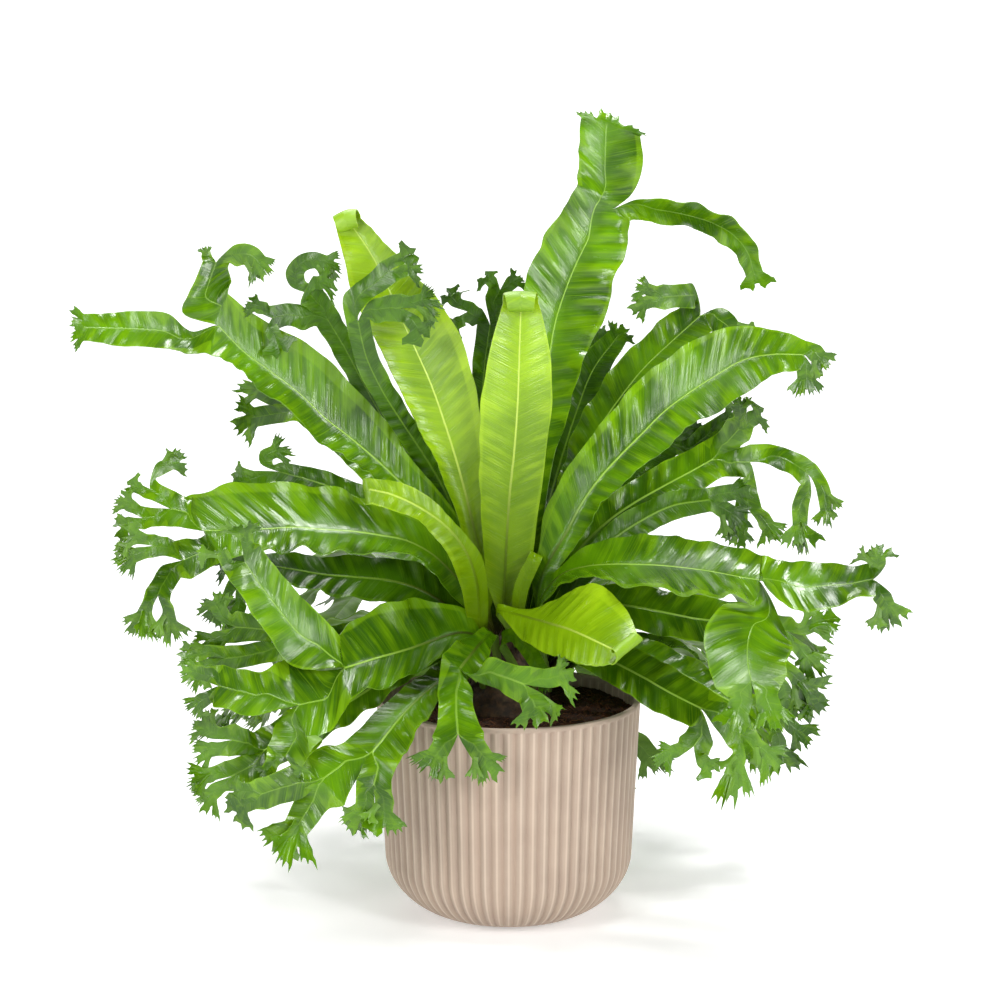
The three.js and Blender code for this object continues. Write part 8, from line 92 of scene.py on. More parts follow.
  ["frond_back_mid_right","mature",[[[16.8,19.7,170.6,18.9,18.2,170.3,20.3,16.1,170.6],[19.5,34.9,192.5,28.6,28.1,191.1,35.3,18.8,192.5],[28.5,50.6,210.5,41.2,40.8,208.1,51.0,28.1,210.5],[40.6,68.4,224.2,56.1,56.0,220.8,68.8,40.8,224.2],[54.9,87.5,233.2,72.3,72.8,228.9,87.6,56.0,233.2],[70.9,107.1,236.9,89.2,90.6,232.0,106.7,73.1,236.9],[88.1,125.9,234.9,106.2,108.6,229.9,124.7,91.8,234.9],[104.1,144.9,227.9,122.5,126.2,222.8,142.6,109.6,227.9],[119.0,162.6,216.1,137.5,142.7,211.2,159.3,126.4,216.1]],[[[[119.0,162.6,216.1,128.3,152.7,213.7,137.5,142.7,211.2],[124.2,172.6,206.2,135.2,165.7,204.8,146.3,158.9,203.4],[129.8,184.8,197.0,140.6,178.7,194.9,151.4,172.7,192.8],[133.9,197.2,186.6,144.8,191.4,184.0,155.6,185.6,181.4],[134.7,210.7,176.1,148.0,203.7,172.3,161.2,196.6,168.6]],[[[[134.7,210.7,176.1,141.3,207.2,174.2,148.0,203.7,172.3],[133.2,213.9,175.3,140.0,213.6,170.1,146.7,213.4,165.0],[130.8,221.3,170.8,137.6,220.3,165.7,144.5,219.3,160.6],[128.4,228.2,165.7,135.5,226.6,160.7,142.5,224.9,155.7]],[],[3,20.2,60],0],[[[148.0,203.7,172.3,154.6,200.1,170.4,161.2,196.6,168.6],[153.0,209.4,162.7,158.3,203.1,164.5,163.7,196.7,166.4],[157.1,211.3,156.0,162.8,205.2,157.9,168.6,199.1,159.9],[160.8,213.1,149.0,167.0,207.1,151.0,173.1,201.1,153.1]],[],[3,26.2,60],0]],0,0],[[[137.5,142.7,211.2,148.4,134.6,213.7,159.3,126.4,216.1],[152.7,153.1,203.4,160.6,142.9,204.8,168.6,132.6,206.2],[165.8,159.7,192.8,173.0,149.6,194.9,180.2,139.4,197.0],[178.3,165.2,181.4,185.2,155.0,184.0,192.1,144.8,186.6],[188.7,171.9,168.6,197.0,159.5,172.3,205.4,147.1,176.1]],[[[[188.7,171.9,168.6,192.8,165.7,170.4,197.0,159.5,172.3],[189.0,174.4,166.0,195.8,169.5,164.5,202.5,164.5,163.0],[191.2,179.2,159.4,197.8,173.9,157.8,204.3,168.6,156.2],[193.1,183.7,152.5,199.6,178.0,150.8,206.2,172.3,149.2]],[],[3,16.2,60],0],[[[197.0,159.5,172.3,201.2,153.3,174.2,205.4,147.1,176.1],[205.2,160.1,164.6,207.1,153.2,169.1,209.1,146.2,173.6],[210.8,159.0,159.4,213.3,152.1,163.8,215.9,145.1,168.1],[216.0,158.1,153.6,219.1,151.0,157.9,222.1,143.9,162.2]],[],[3,20.9,60],0]],0,0]],0,0]],
  ["frond_back_low_right","mature",[[[22.4,18.1,160.5,24.2,16.3,160.3,25.2,14.0,160.5],[26.2,30.8,175.2,33.6,22.6,173.7,38.2,12.7,175.2],[35.6,42.2,186.5,45.5,30.3,184.1,52.3,16.5,186.5],[47.6,54.2,194.6,59.1,39.0,191.1,68.0,22.2,194.6],[61.4,66.1,199.0,73.7,48.1,194.7,84.5,29.1,199.0],[76.3,77.5,199.4,88.7,57.3,194.6,101.1,37.1,199.4],[92.0,87.3,195.6,103.5,66.2,190.9,116.7,46.1,195.6],[106.4,97.0,188.3,117.4,74.4,183.7,131.9,53.8,188.3],[119.4,105.6,177.5,129.7,81.5,173.3,145.4,60.5,177.5]],[[[[119.4,105.6,177.5,124.6,93.5,175.4,129.7,81.5,173.3],[124.1,110.7,168.4,131.9,101.0,166.7,139.8,91.2,165.0],[130.2,117.8,159.6,138.1,108.7,157.3,145.9,99.7,155.0],[135.4,125.4,150.2,143.3,116.5,147.4,151.2,107.6,144.6],[138.2,135.0,140.9,147.8,124.2,137.0,157.4,113.4,133.1]],[[[[138.2,135.0,140.9,143.0,129.6,139.0,147.8,124.2,137.0],[137.4,136.8,140.5,143.1,134.1,135.1,148.7,131.4,129.7],[136.7,142.5,136.3,142.3,139.2,131.0,147.9,135.8,125.8],[136.0,147.9,131.7,141.6,143.9,126.5,147.3,139.9,121.4]],[],[3,19.6,60],0],[[[147.8,124.2,137.0,152.6,118.8,135.1,157.4,113.4,133.1],[151.1,128.3,129.2,155.0,121.0,129.9,159.0,113.8,130.7],[153.9,129.4,123.4,158.1,122.2,124.2,162.2,114.9,125.1],[156.4,130.5,117.6,160.8,123.2,118.4,165.3,115.8,119.2]],[],[3,18.6,60],0]],0,0],[[[129.7,81.5,173.3,137.6,71.0,175.4,145.4,60.5,177.5],[143.2,85.3,165.0,147.7,73.6,166.7,152.2,61.9,168.4],[153.6,86.4,155.0,157.5,75.1,157.3,161.4,63.8,159.6],[163.1,87.0,144.6,166.9,75.7,147.4,170.6,64.4,150.2],[171.2,89.4,133.1,175.8,75.7,137.0,180.3,62.0,140.9]],[[[[171.2,89.4,133.1,173.5,82.6,135.1,175.8,75.7,137.0],[172.0,90.7,131.0,176.5,83.8,130.0,181.0,76.9,128.9],[174.6,93.2,125.4,178.9,86.1,124.3,183.1,79.0,123.2],[176.8,95.6,119.5,181.0,88.1,118.5,185.2,80.7,117.4]],[],[3,20.4,60],0],[[[175.8,75.7,137.0,178.0,68.9,139.0,180.3,62.0,140.9],[182.6,72.6,129.6,181.9,66.5,135.2,181.2,60.4,140.8],[186.0,69.6,125.9,185.9,63.2,131.3,185.9,56.8,136.7],[189.1,66.8,121.6,189.7,60.0,126.9,190.2,53.3,132.2]],[],[3,15.7,60],0]],0,0]],0,0]],
  ["frond_back_low_far_right","dark",[[[7.6,28.3,158.5,10.1,27.8,158.3,12.3,26.6,158.5],[4.2,44.8,173.6,15.0,42.7,172.1,24.7,37.7,173.6],[5.8,63.7,184.6,20.7,60.3,182.0,34.8,54.0,184.6],[8.6,84.7,190.7,27.0,79.8,187.0,44.7,73.1,190.7],[12.3,106.3,191.3,33.2,99.8,186.9,54.0,93.5,191.3],[16.5,127.1,185.9,38.9,119.2,181.3,62.0,113.8,185.9],[21.3,145.2,174.7,43.7,136.4,170.6,67.5,132.4,174.7],[24.2,160.2,159.1,47.5,150.2,155.6,72.7,147.4,159.1],[25.8,170.5,139.8,49.9,159.7,137.3,76.3,157.9,139.8]],[[[[25.8,170.5,139.8,37.9,165.1,138.6,49.9,159.7,137.3],[24.1,174.5,126.2,36.4,172.5,124.0,48.7,170.6,121.7],[22.1,181.2,112.2,33.8,179.5,109.3,45.6,177.8,106.4],[18.9,187.7,97.8,30.6,186.1,94.5,42.3,184.4,91.3],[12.8,194.2,84.0,27.0,192.2,79.7,41.1,190.1,75.4]],[[[[12.8,194.2,84.0,19.9,193.2,81.9,27.0,192.2,79.7],[9.9,194.6,82.9,15.4,195.2,76.7,20.8,195.8,70.4],[4.0,197.0,77.2,9.9,197.2,71.3,15.9,197.4,65.4],[-1.6,199.1,71.1,4.9,199.0,65.5,11.5,198.9,59.8]],[],[3,17.9,60],0],[[[27.0,192.2,79.7,34.1,191.2,77.6,41.1,190.1,75.4],[27.4,195.4,68.7,35.1,193.0,70.6,42.8,190.6,72.5],[29.3,196.7,61.4,37.2,194.5,63.1,45.1,192.3,64.9],[30.9,198.0,53.9,39.1,195.9,55.6,47.3,193.7,57.3]],[],[3,25.4,60],0]],0,0],[[[49.9,159.7,137.3,63.1,158.8,138.6,76.3,157.9,139.8],[56.2,168.7,121.7,67.9,164.7,124.0,79.7,160.7,126.2],[62.3,173.7,106.4,73.5,169.6,109.3,84.6,165.6,112.2],[68.3,177.9,91.3,79.4,173.9,94.5,90.4,169.9,97.8],[72.0,182.5,75.4,85.5,177.6,79.7,98.9,172.7,84.0]],[[[[72.0,182.5,75.4,78.7,180.0,77.6,85.5,177.6,79.7],[70.8,183.7,72.5,78.7,182.1,70.6,86.7,180.6,68.7],[69.6,186.2,64.8,77.6,184.4,63.1,85.7,182.7,61.4],[68.4,188.5,57.2,76.6,186.5,55.6,84.9,184.6,53.9]],[],[3,23.7,60],0],[[[85.5,177.6,79.7,92.2,175.1,81.9,98.9,172.7,84.0],[91.9,178.7,70.5,97.0,175.6,76.3,102.0,172.5,82.2],[96.9,178.5,65.2,102.5,175.5,70.7,108.1,172.5,76.2],[101.4,178.5,59.4,107.6,175.5,64.7,113.8,172.5,69.9]],[],[3,20.5,60],0]],0,0]],0,0]],
  ["frond_back_mid_far_right","mature",[[[8.4,25.1,168.5,10.9,24.5,168.3,13.0,23.1,168.5],[6.3,42.5,189.7,18.1,39.4,188.2,28.3,32.8,189.7],[9.9,62.6,207.3,26.4,57.9,204.7,41.2,49.0,207.3],[15.2,85.6,220.8,35.5,79.1,217.0,54.3,68.8,220.8],[22.2,110.6,228.9,45.3,102.3,224.2,67.3,91.5,228.9],[30.5,136.4,231.5,55.2,126.4,226.2,79.7,115.8,231.5],[40.3,161.4,228.0,64.9,150.3,222.7,90.2,140.8,228.0],[48.6,185.5,219.0,73.9,172.9,213.8,100.8,164.1,219.0],[55.9,207.0,204.6,81.8,193.0,199.8,110.2,185.1,204.6]],[[[[55.9,207.0,204.6,68.9,200.0,202.2,81.8,193.0,199.8],[57.2,217.5,192.5,70.6,214.5,190.7,84.1,211.4,188.9],[58.0,230.7,180.8,70.9,228.3,178.4,83.8,225.8,175.9],[57.2,243.6,168.3,70.1,241.3,165.3,82.9,239.1,162.2],[52.8,256.3,155.7,68.5,253.6,151.5,84.2,250.9,147.2]],[[[[52.8,256.3,155.7,60.6,255.0,153.6,68.5,253.6,151.5],[50.1,259.0,153.4,57.1,260.1,148.1,64.2,261.3,142.8],[45.3,264.6,147.3,52.7,265.1,142.2,60.0,265.7,137.1],[40.8,269.7,140.8,48.5,269.8,135.9,56.3,269.9,130.9]],[],[3,19.5,60],0],[[[68.5,253.6,151.5,76.3,252.2,149.4,84.2,250.9,147.2],[70.7,260.3,140.9,78.5,256.3,142.5,86.2,252.3,144.1],[73.6,263.5,133.3,81.6,259.8,134.9,89.6,256.1,136.6],[76.1,266.5,125.5,84.5,262.9,127.1,92.8,259.4,128.8]],[],[3,19.4,60],0]],0,0],[[[81.8,193.0,199.8,96.0,189.0,202.2,110.2,185.1,204.6],[92.8,207.6,188.8,104.6,200.4,190.5,116.4,193.3,192.3],[102.9,217.5,175.5,113.9,210.3,178.0,124.9,203.1,180.5],[112.6,226.2,161.7,123.4,218.9,164.7,134.2,211.6,167.7],[119.8,235.3,146.5,133.0,226.4,150.7,146.2,217.5,155.0]],[[[[119.8,235.3,146.5,126.4,230.9,148.6,133.0,226.4,150.7],[118.8,237.9,144.3,127.2,235.7,142.1,135.5,233.6,139.9],[118.6,243.5,137.1,126.9,240.9,134.9,135.2,238.3,132.7],[118.2,248.6,129.6,126.7,245.6,127.5,135.1,242.6,125.3]],[],[3,18.9,60],0],[[[133.0,226.4,150.7,139.6,221.9,152.9,146.2,217.5,155.0],[141.9,229.1,142.3,146.0,223.4,147.7,150.0,217.7,153.1],[148.2,229.6,137.0,152.9,224.1,142.2,157.6,218.6,147.4],[154.0,230.2,131.1,159.4,224.7,136.2,164.7,219.3,141.2]],[],[3,18.4,60],0]],0,0]],0,0]],
  ["frond_back_low","mature",[[[-1.5,28.8,160.5,1.0,29.1,160.3,3.5,28.6,160.5],[-10.1,43.6,179.2,1.6,44.8,177.5,13.2,42.8,179.2],[-14.1,63.6,192.2,2.4,64.6,189.3,18.8,62.4,192.2],[-17.3,86.6,199.1,3.2,86.9,195.1,23.7,85.2,199.1],[-19.6,110.9,199.2,4.0,110.0,194.5,27.6,109.3,199.2],[-20.9,134.5,192.7,4.7,132.2,187.8,30.4,132.7,192.7],[-20.5,155.5,179.8,5.4,151.9,175.4,31.5,153.7,179.8],[-21.1,172.6,162.0,5.9,167.7,158.3,33.2,170.7,162.0],[-21.8,184.6,140.3,6.2,178.6,137.6,34.6,182.6,140.3]],[[[[-21.8,184.6,140.3,-7.8,181.6,138.9,6.2,178.6,137.6],[-24.3,188.5,125.5,-11.0,189.2,123.1,2.2,189.8,120.7],[-27.9,195.2,110.2,-15.3,196.0,107.2,-2.7,196.8,104.1],[-32.7,201.3,94.6,-20.2,202.2,91.2,-7.7,203.1,87.7],[-40.7,206.8,79.7,-25.4,207.9,75.1,-10.2,208.9,70.5]],[[[[-40.7,206.8,79.7,-33.1,207.3,77.4,-25.4,207.9,75.1],[-44.0,207.8,76.5,-37.5,209.3,70.9,-31.0,210.9,65.3],[-49.7,209.8,69.6,-42.8,211.1,64.4,-35.8,212.4,59.1],[-55.0,211.6,62.5,-47.6,212.7,57.5,-40.2,213.8,52.5]],[],[3,22.6,60],0],[[[-25.4,207.9,75.1,-17.8,208.4,72.8,-10.2,208.9,70.5],[-25.9,211.3,63.5,-17.4,210.6,65.1,-8.9,210.0,66.7],[-24.5,213.2,55.4,-15.9,212.7,56.9,-7.2,212.3,58.4],[-23.4,215.0,47.3,-14.5,214.6,48.7,-5.6,214.3,50.1]],[],[3,20.5,60],0]],0,0],[[[6.2,178.6,137.6,20.4,180.6,138.9,34.6,182.6,140.3],[11.0,189.5,120.7,24.2,187.9,123.1,37.4,186.3,125.5],[16.5,196.2,104.1,29.0,194.5,107.2,41.4,192.7,110.2],[21.9,202.0,87.7,34.3,200.3,91.2,46.7,198.6,94.6],[24.8,207.7,70.5,39.9,205.6,75.1,55.0,203.5,79.7]],[[[[24.8,207.7,70.5,32.3,206.6,72.8,39.9,205.6,75.1],[23.4,208.8,66.8,32.0,208.9,65.1,40.5,209.0,63.4],[21.9,211.2,58.6,30.5,211.1,57.0,39.1,211.0,55.4],[20.3,213.4,50.3,29.2,213.1,48.8,38.1,212.9,47.2]],[],[3,25.4,60],0],[[[39.9,205.6,75.1,47.5,204.5,77.4,55.0,203.5,79.7],[45.1,208.2,65.3,51.7,206.3,70.7,58.3,204.4,76.0],[49.8,209.5,59.0,56.8,207.8,63.9,63.8,206.1,68.9],[53.9,210.7,52.2,61.5,209.1,56.9,69.0,207.5,61.5]],[],[3,23.6,60],0]],0,0]],0,0]],
  ["frond_back_mid","mature",[[[-1.7,24.3,174.6,0.9,24.7,174.5,3.3,24.1,174.6],[-10.8,34.9,199.5,1.4,36.6,198.4,13.3,33.9,199.5],[-15.0,51.6,221.3,2.2,53.4,219.2,19.1,49.9,221.3],[-18.1,72.8,239.1,3.3,74.3,235.8,24.4,70.5,239.1],[-19.8,97.6,251.9,4.8,98.2,247.5,29.1,94.6,251.9],[-20.2,124.7,258.9,6.5,124.2,253.8,33.0,121.1,258.9],[-18.4,152.7,259.6,8.5,150.8,254.2,35.4,148.7,259.6],[-17.4,180.3,254.4,10.6,176.9,248.9,38.8,175.7,254.4],[-16.2,206.1,243.4,12.7,201.2,238.0,42.1,201.0,243.4]],[[[[-16.2,206.1,243.4,-1.7,203.7,240.7,12.7,201.2,238.0],[-17.9,217.8,233.5,-4.1,219.1,232.1,9.7,220.4,230.6],[-20.8,231.6,224.3,-7.7,233.4,222.2,5.4,235.3,220.1],[-25.1,244.7,214.0,-12.2,246.8,211.3,0.8,248.9,208.6],[-33.0,256.6,203.5,-17.2,259.2,199.5,-1.4,261.8,195.6]],[[[[-33.0,256.6,203.5,-25.1,257.9,201.5,-17.2,259.2,199.5],[-36.1,258.5,201.4,-29.7,262.2,196.6,-23.3,266.0,191.7],[-42.0,262.8,196.0,-35.2,266.1,191.3,-28.3,269.4,186.5],[-47.7,266.7,190.0,-40.3,269.6,185.4,-32.9,272.6,180.8]],[],[3,22.4,60],0],[[[-17.2,259.2,199.5,-9.3,260.5,197.6,-1.4,261.8,195.6],[-17.0,267.2,189.9,-8.4,265.5,191.5,0.1,263.9,193.1],[-15.2,271.6,183.0,-6.4,270.3,184.7,2.3,269.1,186.4],[-13.6,275.7,175.9,-4.6,274.7,177.6,4.4,273.8,179.3]],[],[3,20.0,60],0]],0,0],[[[12.7,201.2,238.0,27.4,201.1,240.7,42.1,201.0,243.4],[19.1,219.5,230.6,32.4,215.9,232.1,45.8,212.2,233.5],[25.9,233.5,220.1,38.5,229.4,222.2,51.0,225.3,224.3],[32.8,246.1,208.6,45.2,241.8,211.3,57.6,237.5,214.0],[37.2,258.5,195.6,52.3,253.1,199.5,67.4,247.8,203.5]],[[[[37.2,258.5,195.6,44.8,255.8,197.6,52.3,253.1,199.5],[36.9,261.4,192.2,45.8,260.9,191.4,54.6,260.4,190.6],[36.7,266.8,185.4,45.5,266.0,184.5,54.4,265.2,183.6],[36.2,271.7,178.3,45.3,270.6,177.3,54.4,269.6,176.4]],[],[3,23.2,60],0],[[[52.3,253.1,199.5,59.8,250.5,201.5,67.4,247.8,203.5],[59.8,258.7,191.7,65.3,253.8,196.7,70.7,248.9,201.6],[65.5,261.0,186.6,71.5,256.5,191.5,77.5,252.0,196.4],[70.7,263.3,180.9,77.3,259.0,185.7,83.9,254.8,190.5]],[],[3,23.1,60],0]],0,0]],0,0]],
  ["frond_back_low_far_left","dark",[[[-11.4,27.0,158.5,-9.1,28.2,158.3,-6.6,28.5,158.5],[-23.5,38.8,173.9,-13.6,43.5,172.4,-2.8,45.3,173.9],[-33.3,55.8,185.2,-19.1,61.7,182.5,-4.0,64.7,185.2],[-42.9,75.4,191.6,-25.0,81.7,187.9,-6.6,86.2,191.6],[-52.0,96.3,192.1,-31.0,102.2,187.8,-10.1,108.3,192.1],[-59.8,117.0,186.6,-36.6,122.1,182.0,-14.1,129.7,186.6],[-65.2,135.9,175.2,-41.4,139.7,171.1,-18.8,148.3,175.2],[-70.3,151.1,159.1,-45.1,153.9,155.7,-21.8,163.7,159.1],[-74.0,161.7,139.3,-47.6,163.5,136.9,-23.5,174.3,139.3]],[[[[-74.0,161.7,139.3,-60.8,162.6,138.1,-47.6,163.5,136.9],[-77.5,164.6,125.5,-65.7,168.6,123.2,-54.0,172.6,121.0],[-82.5,169.7,111.1,-71.4,173.7,108.2,-60.2,177.7,105.4],[-88.5,174.0,96.4,-77.4,178.0,93.2,-66.3,182.1,89.9],[-97.1,176.9,82.3,-83.6,181.8,78.0,-70.2,186.7,73.7]],[[[[-97.1,176.9,82.3,-90.4,179.4,80.2,-83.6,181.8,78.0],[-100.2,176.7,80.4,-95.3,179.8,74.6,-90.3,182.9,68.7],[-106.5,176.7,74.3,-100.9,179.7,68.8,-95.4,182.7,63.3],[-112.3,176.7,67.9,-106.1,179.7,62.7,-100.0,182.7,57.4]],[],[3,16.0,60],0],[[[-83.6,181.8,78.0,-76.9,184.2,75.9,-70.2,186.7,73.7],[-85.3,184.6,67.2,-77.3,186.3,68.6,-69.3,188.0,70.1],[-84.6,186.7,59.6,-76.6,188.6,60.9,-68.5,190.5,62.3],[-84.2,188.6,51.9,-75.9,190.7,53.2,-67.6,192.7,54.4]],[],[3,21.9,60],0]],0,0],[[[-47.6,163.5,136.9,-35.6,168.9,138.1,-23.5,174.3,139.3],[-46.3,174.5,121.0,-34.0,176.5,123.2,-21.8,178.5,125.5],[-43.2,182.0,105.4,-31.4,183.6,108.2,-19.7,185.3,111.1],[-39.8,188.7,89.9,-28.1,190.3,93.2,-16.5,192.0,96.4],[-38.6,194.5,73.7,-24.4,196.6,78.0,-10.2,198.6,82.3]],[[[[-38.6,194.5,73.7,-31.5,195.5,75.9,-24.4,196.6,78.0],[-40.8,194.6,71.7,-33.4,197.1,69.0,-26.0,199.7,66.2],[-43.9,196.1,64.1,-36.3,198.4,61.6,-28.6,200.8,59.0],[-46.9,197.3,56.5,-38.9,199.6,54.0,-30.9,201.8,51.6]],[],[3,25.8,60],0],[[[-24.4,196.6,78.0,-17.3,197.6,80.2,-10.2,198.6,82.3],[-18.5,200.7,68.7,-12.9,200.2,74.8,-7.3,199.7,80.9],[-13.8,203.0,63.5,-7.7,202.8,69.3,-1.6,202.7,75.1],[-9.4,205.1,57.9,-2.8,205.3,63.3,3.9,205.4,68.8]],[],[3,20.6,60],0]],0,0]],0,0]],
  ["frond_back_mid_far_left","mature",[[[-13.0,23.1,168.5,-10.9,24.5,168.3,-8.4,25.1,168.5],[-27.2,31.0,191.6,-17.0,37.7,190.2,-5.2,40.9,191.6],[-39.9,46.4,209.7,-25.3,55.5,207.2,-8.9,60.6,209.7],[-53.9,66.3,222.3,-35.4,77.1,218.6,-15.3,84.1,222.3],[-67.9,88.8,230.1,-46.3,100.4,225.4,-23.5,109.5,230.1],[-81.4,112.7,232.6,-57.5,124.3,227.3,-33.2,135.4,232.6],[-93.3,137.1,228.8,-68.6,148.0,223.5,-44.6,160.3,228.8],[-105.5,159.8,219.4,-79.2,170.2,214.2,-54.7,184.3,219.4],[-116.4,180.1,204.6,-88.7,189.9,199.8,-63.8,205.7,204.6]],[[[[-116.4,180.1,204.6,-102.6,185.0,202.2,-88.7,189.9,199.8],[-123.4,188.1,192.5,-112.1,196.0,190.7,-100.8,203.9,188.9],[-132.7,197.4,180.8,-122.2,205.4,178.4,-111.7,213.4,175.9],[-142.7,205.5,168.3,-132.4,213.5,165.3,-122.2,221.6,162.2],[-155.2,210.8,155.7,-142.6,220.6,151.5,-130.1,230.4,147.2]],[[[[-155.2,210.8,155.7,-148.9,215.7,153.6,-142.6,220.6,151.5],[-159.2,211.2,152.4,-154.7,217.1,147.6,-150.2,223.1,142.8],[-166.1,211.9,145.9,-161.0,217.8,141.4,-155.9,223.6,136.8],[-172.4,212.5,139.0,-166.8,218.3,134.7,-161.2,224.2,130.3]],[],[3,18.8,60],0],[[[-142.6,220.6,151.5,-136.4,225.5,149.4,-130.1,230.4,147.2],[-146.1,226.7,140.9,-138.0,229.8,142.5,-129.8,232.9,144.1],[-146.6,230.9,133.3,-138.5,234.4,134.9,-130.4,237.9,136.5],[-147.2,234.8,125.5,-139.0,238.7,127.1,-130.8,242.6,128.7]],[],[3,23.6,60],0]],0,0],[[[-88.7,189.9,199.8,-76.2,197.8,202.2,-63.8,205.7,204.6],[-92.2,208.1,188.9,-79.0,212.1,190.7,-65.8,216.1,192.5],[-92.9,222.5,175.9,-80.2,225.9,178.4,-67.5,229.2,180.8],[-93.0,235.8,162.2,-80.3,239.0,165.3,-67.7,242.1,168.3],[-95.0,247.5,147.2,-79.6,251.3,151.5,-64.1,255.2,155.7]],[[[[-95.0,247.5,147.2,-87.3,249.4,149.4,-79.6,251.3,151.5],[-96.8,249.6,143.3,-89.1,253.7,142.4,-81.3,257.9,141.4],[-99.8,253.4,135.7,-91.8,257.4,134.7,-83.8,261.3,133.7],[-102.6,256.8,127.9,-94.3,260.7,126.9,-86.0,264.5,125.9]],[],[3,19.2,60],0],[[[-79.6,251.3,151.5,-71.9,253.2,153.6,-64.1,255.2,155.7],[-76.4,259.1,142.8,-69.1,258.7,147.8,-61.8,258.3,152.9],[-72.8,263.9,137.0,-65.3,264.0,141.8,-57.8,264.2,146.7],[-69.7,268.3,130.6,-61.8,268.9,135.3,-53.9,269.5,140.0]],[],[3,18.7,60],0]],0,0]],0,0]],
  ["frond_back_low_left","mature",[[[-23.6,16.6,160.5,-22.3,18.7,160.3,-20.4,20.4,160.5],[-37.2,17.0,175.9,-31.6,26.4,174.5,-23.4,33.8,175.9],[-51.4,22.8,188.0,-43.1,35.8,185.5,-32.0,46.5,188.0],[-66.9,30.6,196.6,-56.2,46.4,193.1,-43.1,60.2,196.6],[-83.3,40.0,201.2,-70.4,57.6,196.9,-56.1,74.1,201.2],[-99.6,50.4,201.6,-85.0,69.1,196.9,-70.4,87.7,201.6],[-114.8,61.8,197.5,-99.3,80.2,192.8,-85.4,99.8,197.5],[-129.6,71.8,189.7,-112.8,90.5,185.1,-99.2,111.6,189.7],[-142.9,80.6,178.2,-124.8,99.5,174.0,-111.5,122.2,178.2]],[[[[-142.9,80.6,178.2,-133.8,90.1,176.1,-124.8,99.5,174.0],[-149.0,82.6,167.9,-143.1,93.7,166.2,-137.2,104.7,164.6],[-157.3,85.2,157.9,-152.1,96.0,155.6,-146.8,106.8,153.3],[-165.5,86.5,147.1,-160.4,97.3,144.2,-155.3,108.0,141.4],[-174.1,84.6,136.0,-167.9,97.7,132.1,-161.7,110.7,128.2]],[[[[-174.1,84.6,136.0,-171.0,91.1,134.0,-167.9,97.7,132.1],[-178.8,84.6,136.8,-178.0,91.2,131.9,-177.1,97.9,126.9],[-185.5,82.8,132.8,-184.1,89.6,128.1,-182.6,96.4,123.4],[-191.6,80.9,128.2,-189.6,88.0,123.7,-187.7,95.1,119.1]],[],[3,20.3,60],0],[[[-167.9,97.7,132.1,-164.8,104.2,130.1,-161.7,110.7,128.2],[-173.1,101.0,123.0,-167.5,106.8,125.1,-161.9,112.5,127.2],[-176.6,105.0,118.8,-171.2,111.1,120.9,-165.8,117.2,122.9],[-180.4,108.8,114.6,-175.1,115.3,116.7,-169.8,121.8,118.8]],[],[3,24.2,60],0]],0,0],[[[-124.8,99.5,174.0,-118.1,110.8,176.1,-111.5,122.2,178.2],[-133.9,110.8,165.2,-124.9,119.5,166.9,-115.9,128.3,168.6],[-139.2,120.4,154.7,-130.3,128.4,157.0,-121.4,136.5,159.3],[-143.7,129.4,143.8,-134.8,137.2,146.6,-125.8,145.1,149.4],[-149.3,136.3,131.8,-138.4,145.9,135.7,-127.6,155.4,139.6]],[[[[-149.3,136.3,131.8,-143.9,141.1,133.8,-138.4,145.9,135.7],[-150.9,136.1,129.9,-146.6,143.1,128.4,-142.2,150.0,126.9],[-154.6,137.3,124.0,-149.9,144.1,122.5,-145.3,150.9,121.0],[-158.1,138.1,117.9,-153.0,145.0,116.4,-148.0,151.8,114.9]],[],[3,24.0,60],0],[[[-138.4,145.9,135.7,-133.0,150.6,137.7,-127.6,155.4,139.6],[-138.3,153.5,128.2,-132.3,155.4,133.7,-126.4,157.2,139.3],[-136.7,158.1,124.1,-130.8,160.6,129.5,-124.9,163.2,134.9],[-135.4,162.3,119.6,-129.4,165.5,124.9,-123.3,168.7,130.1]],[],[3,22.8,60],0]],0,0]],0,0]],
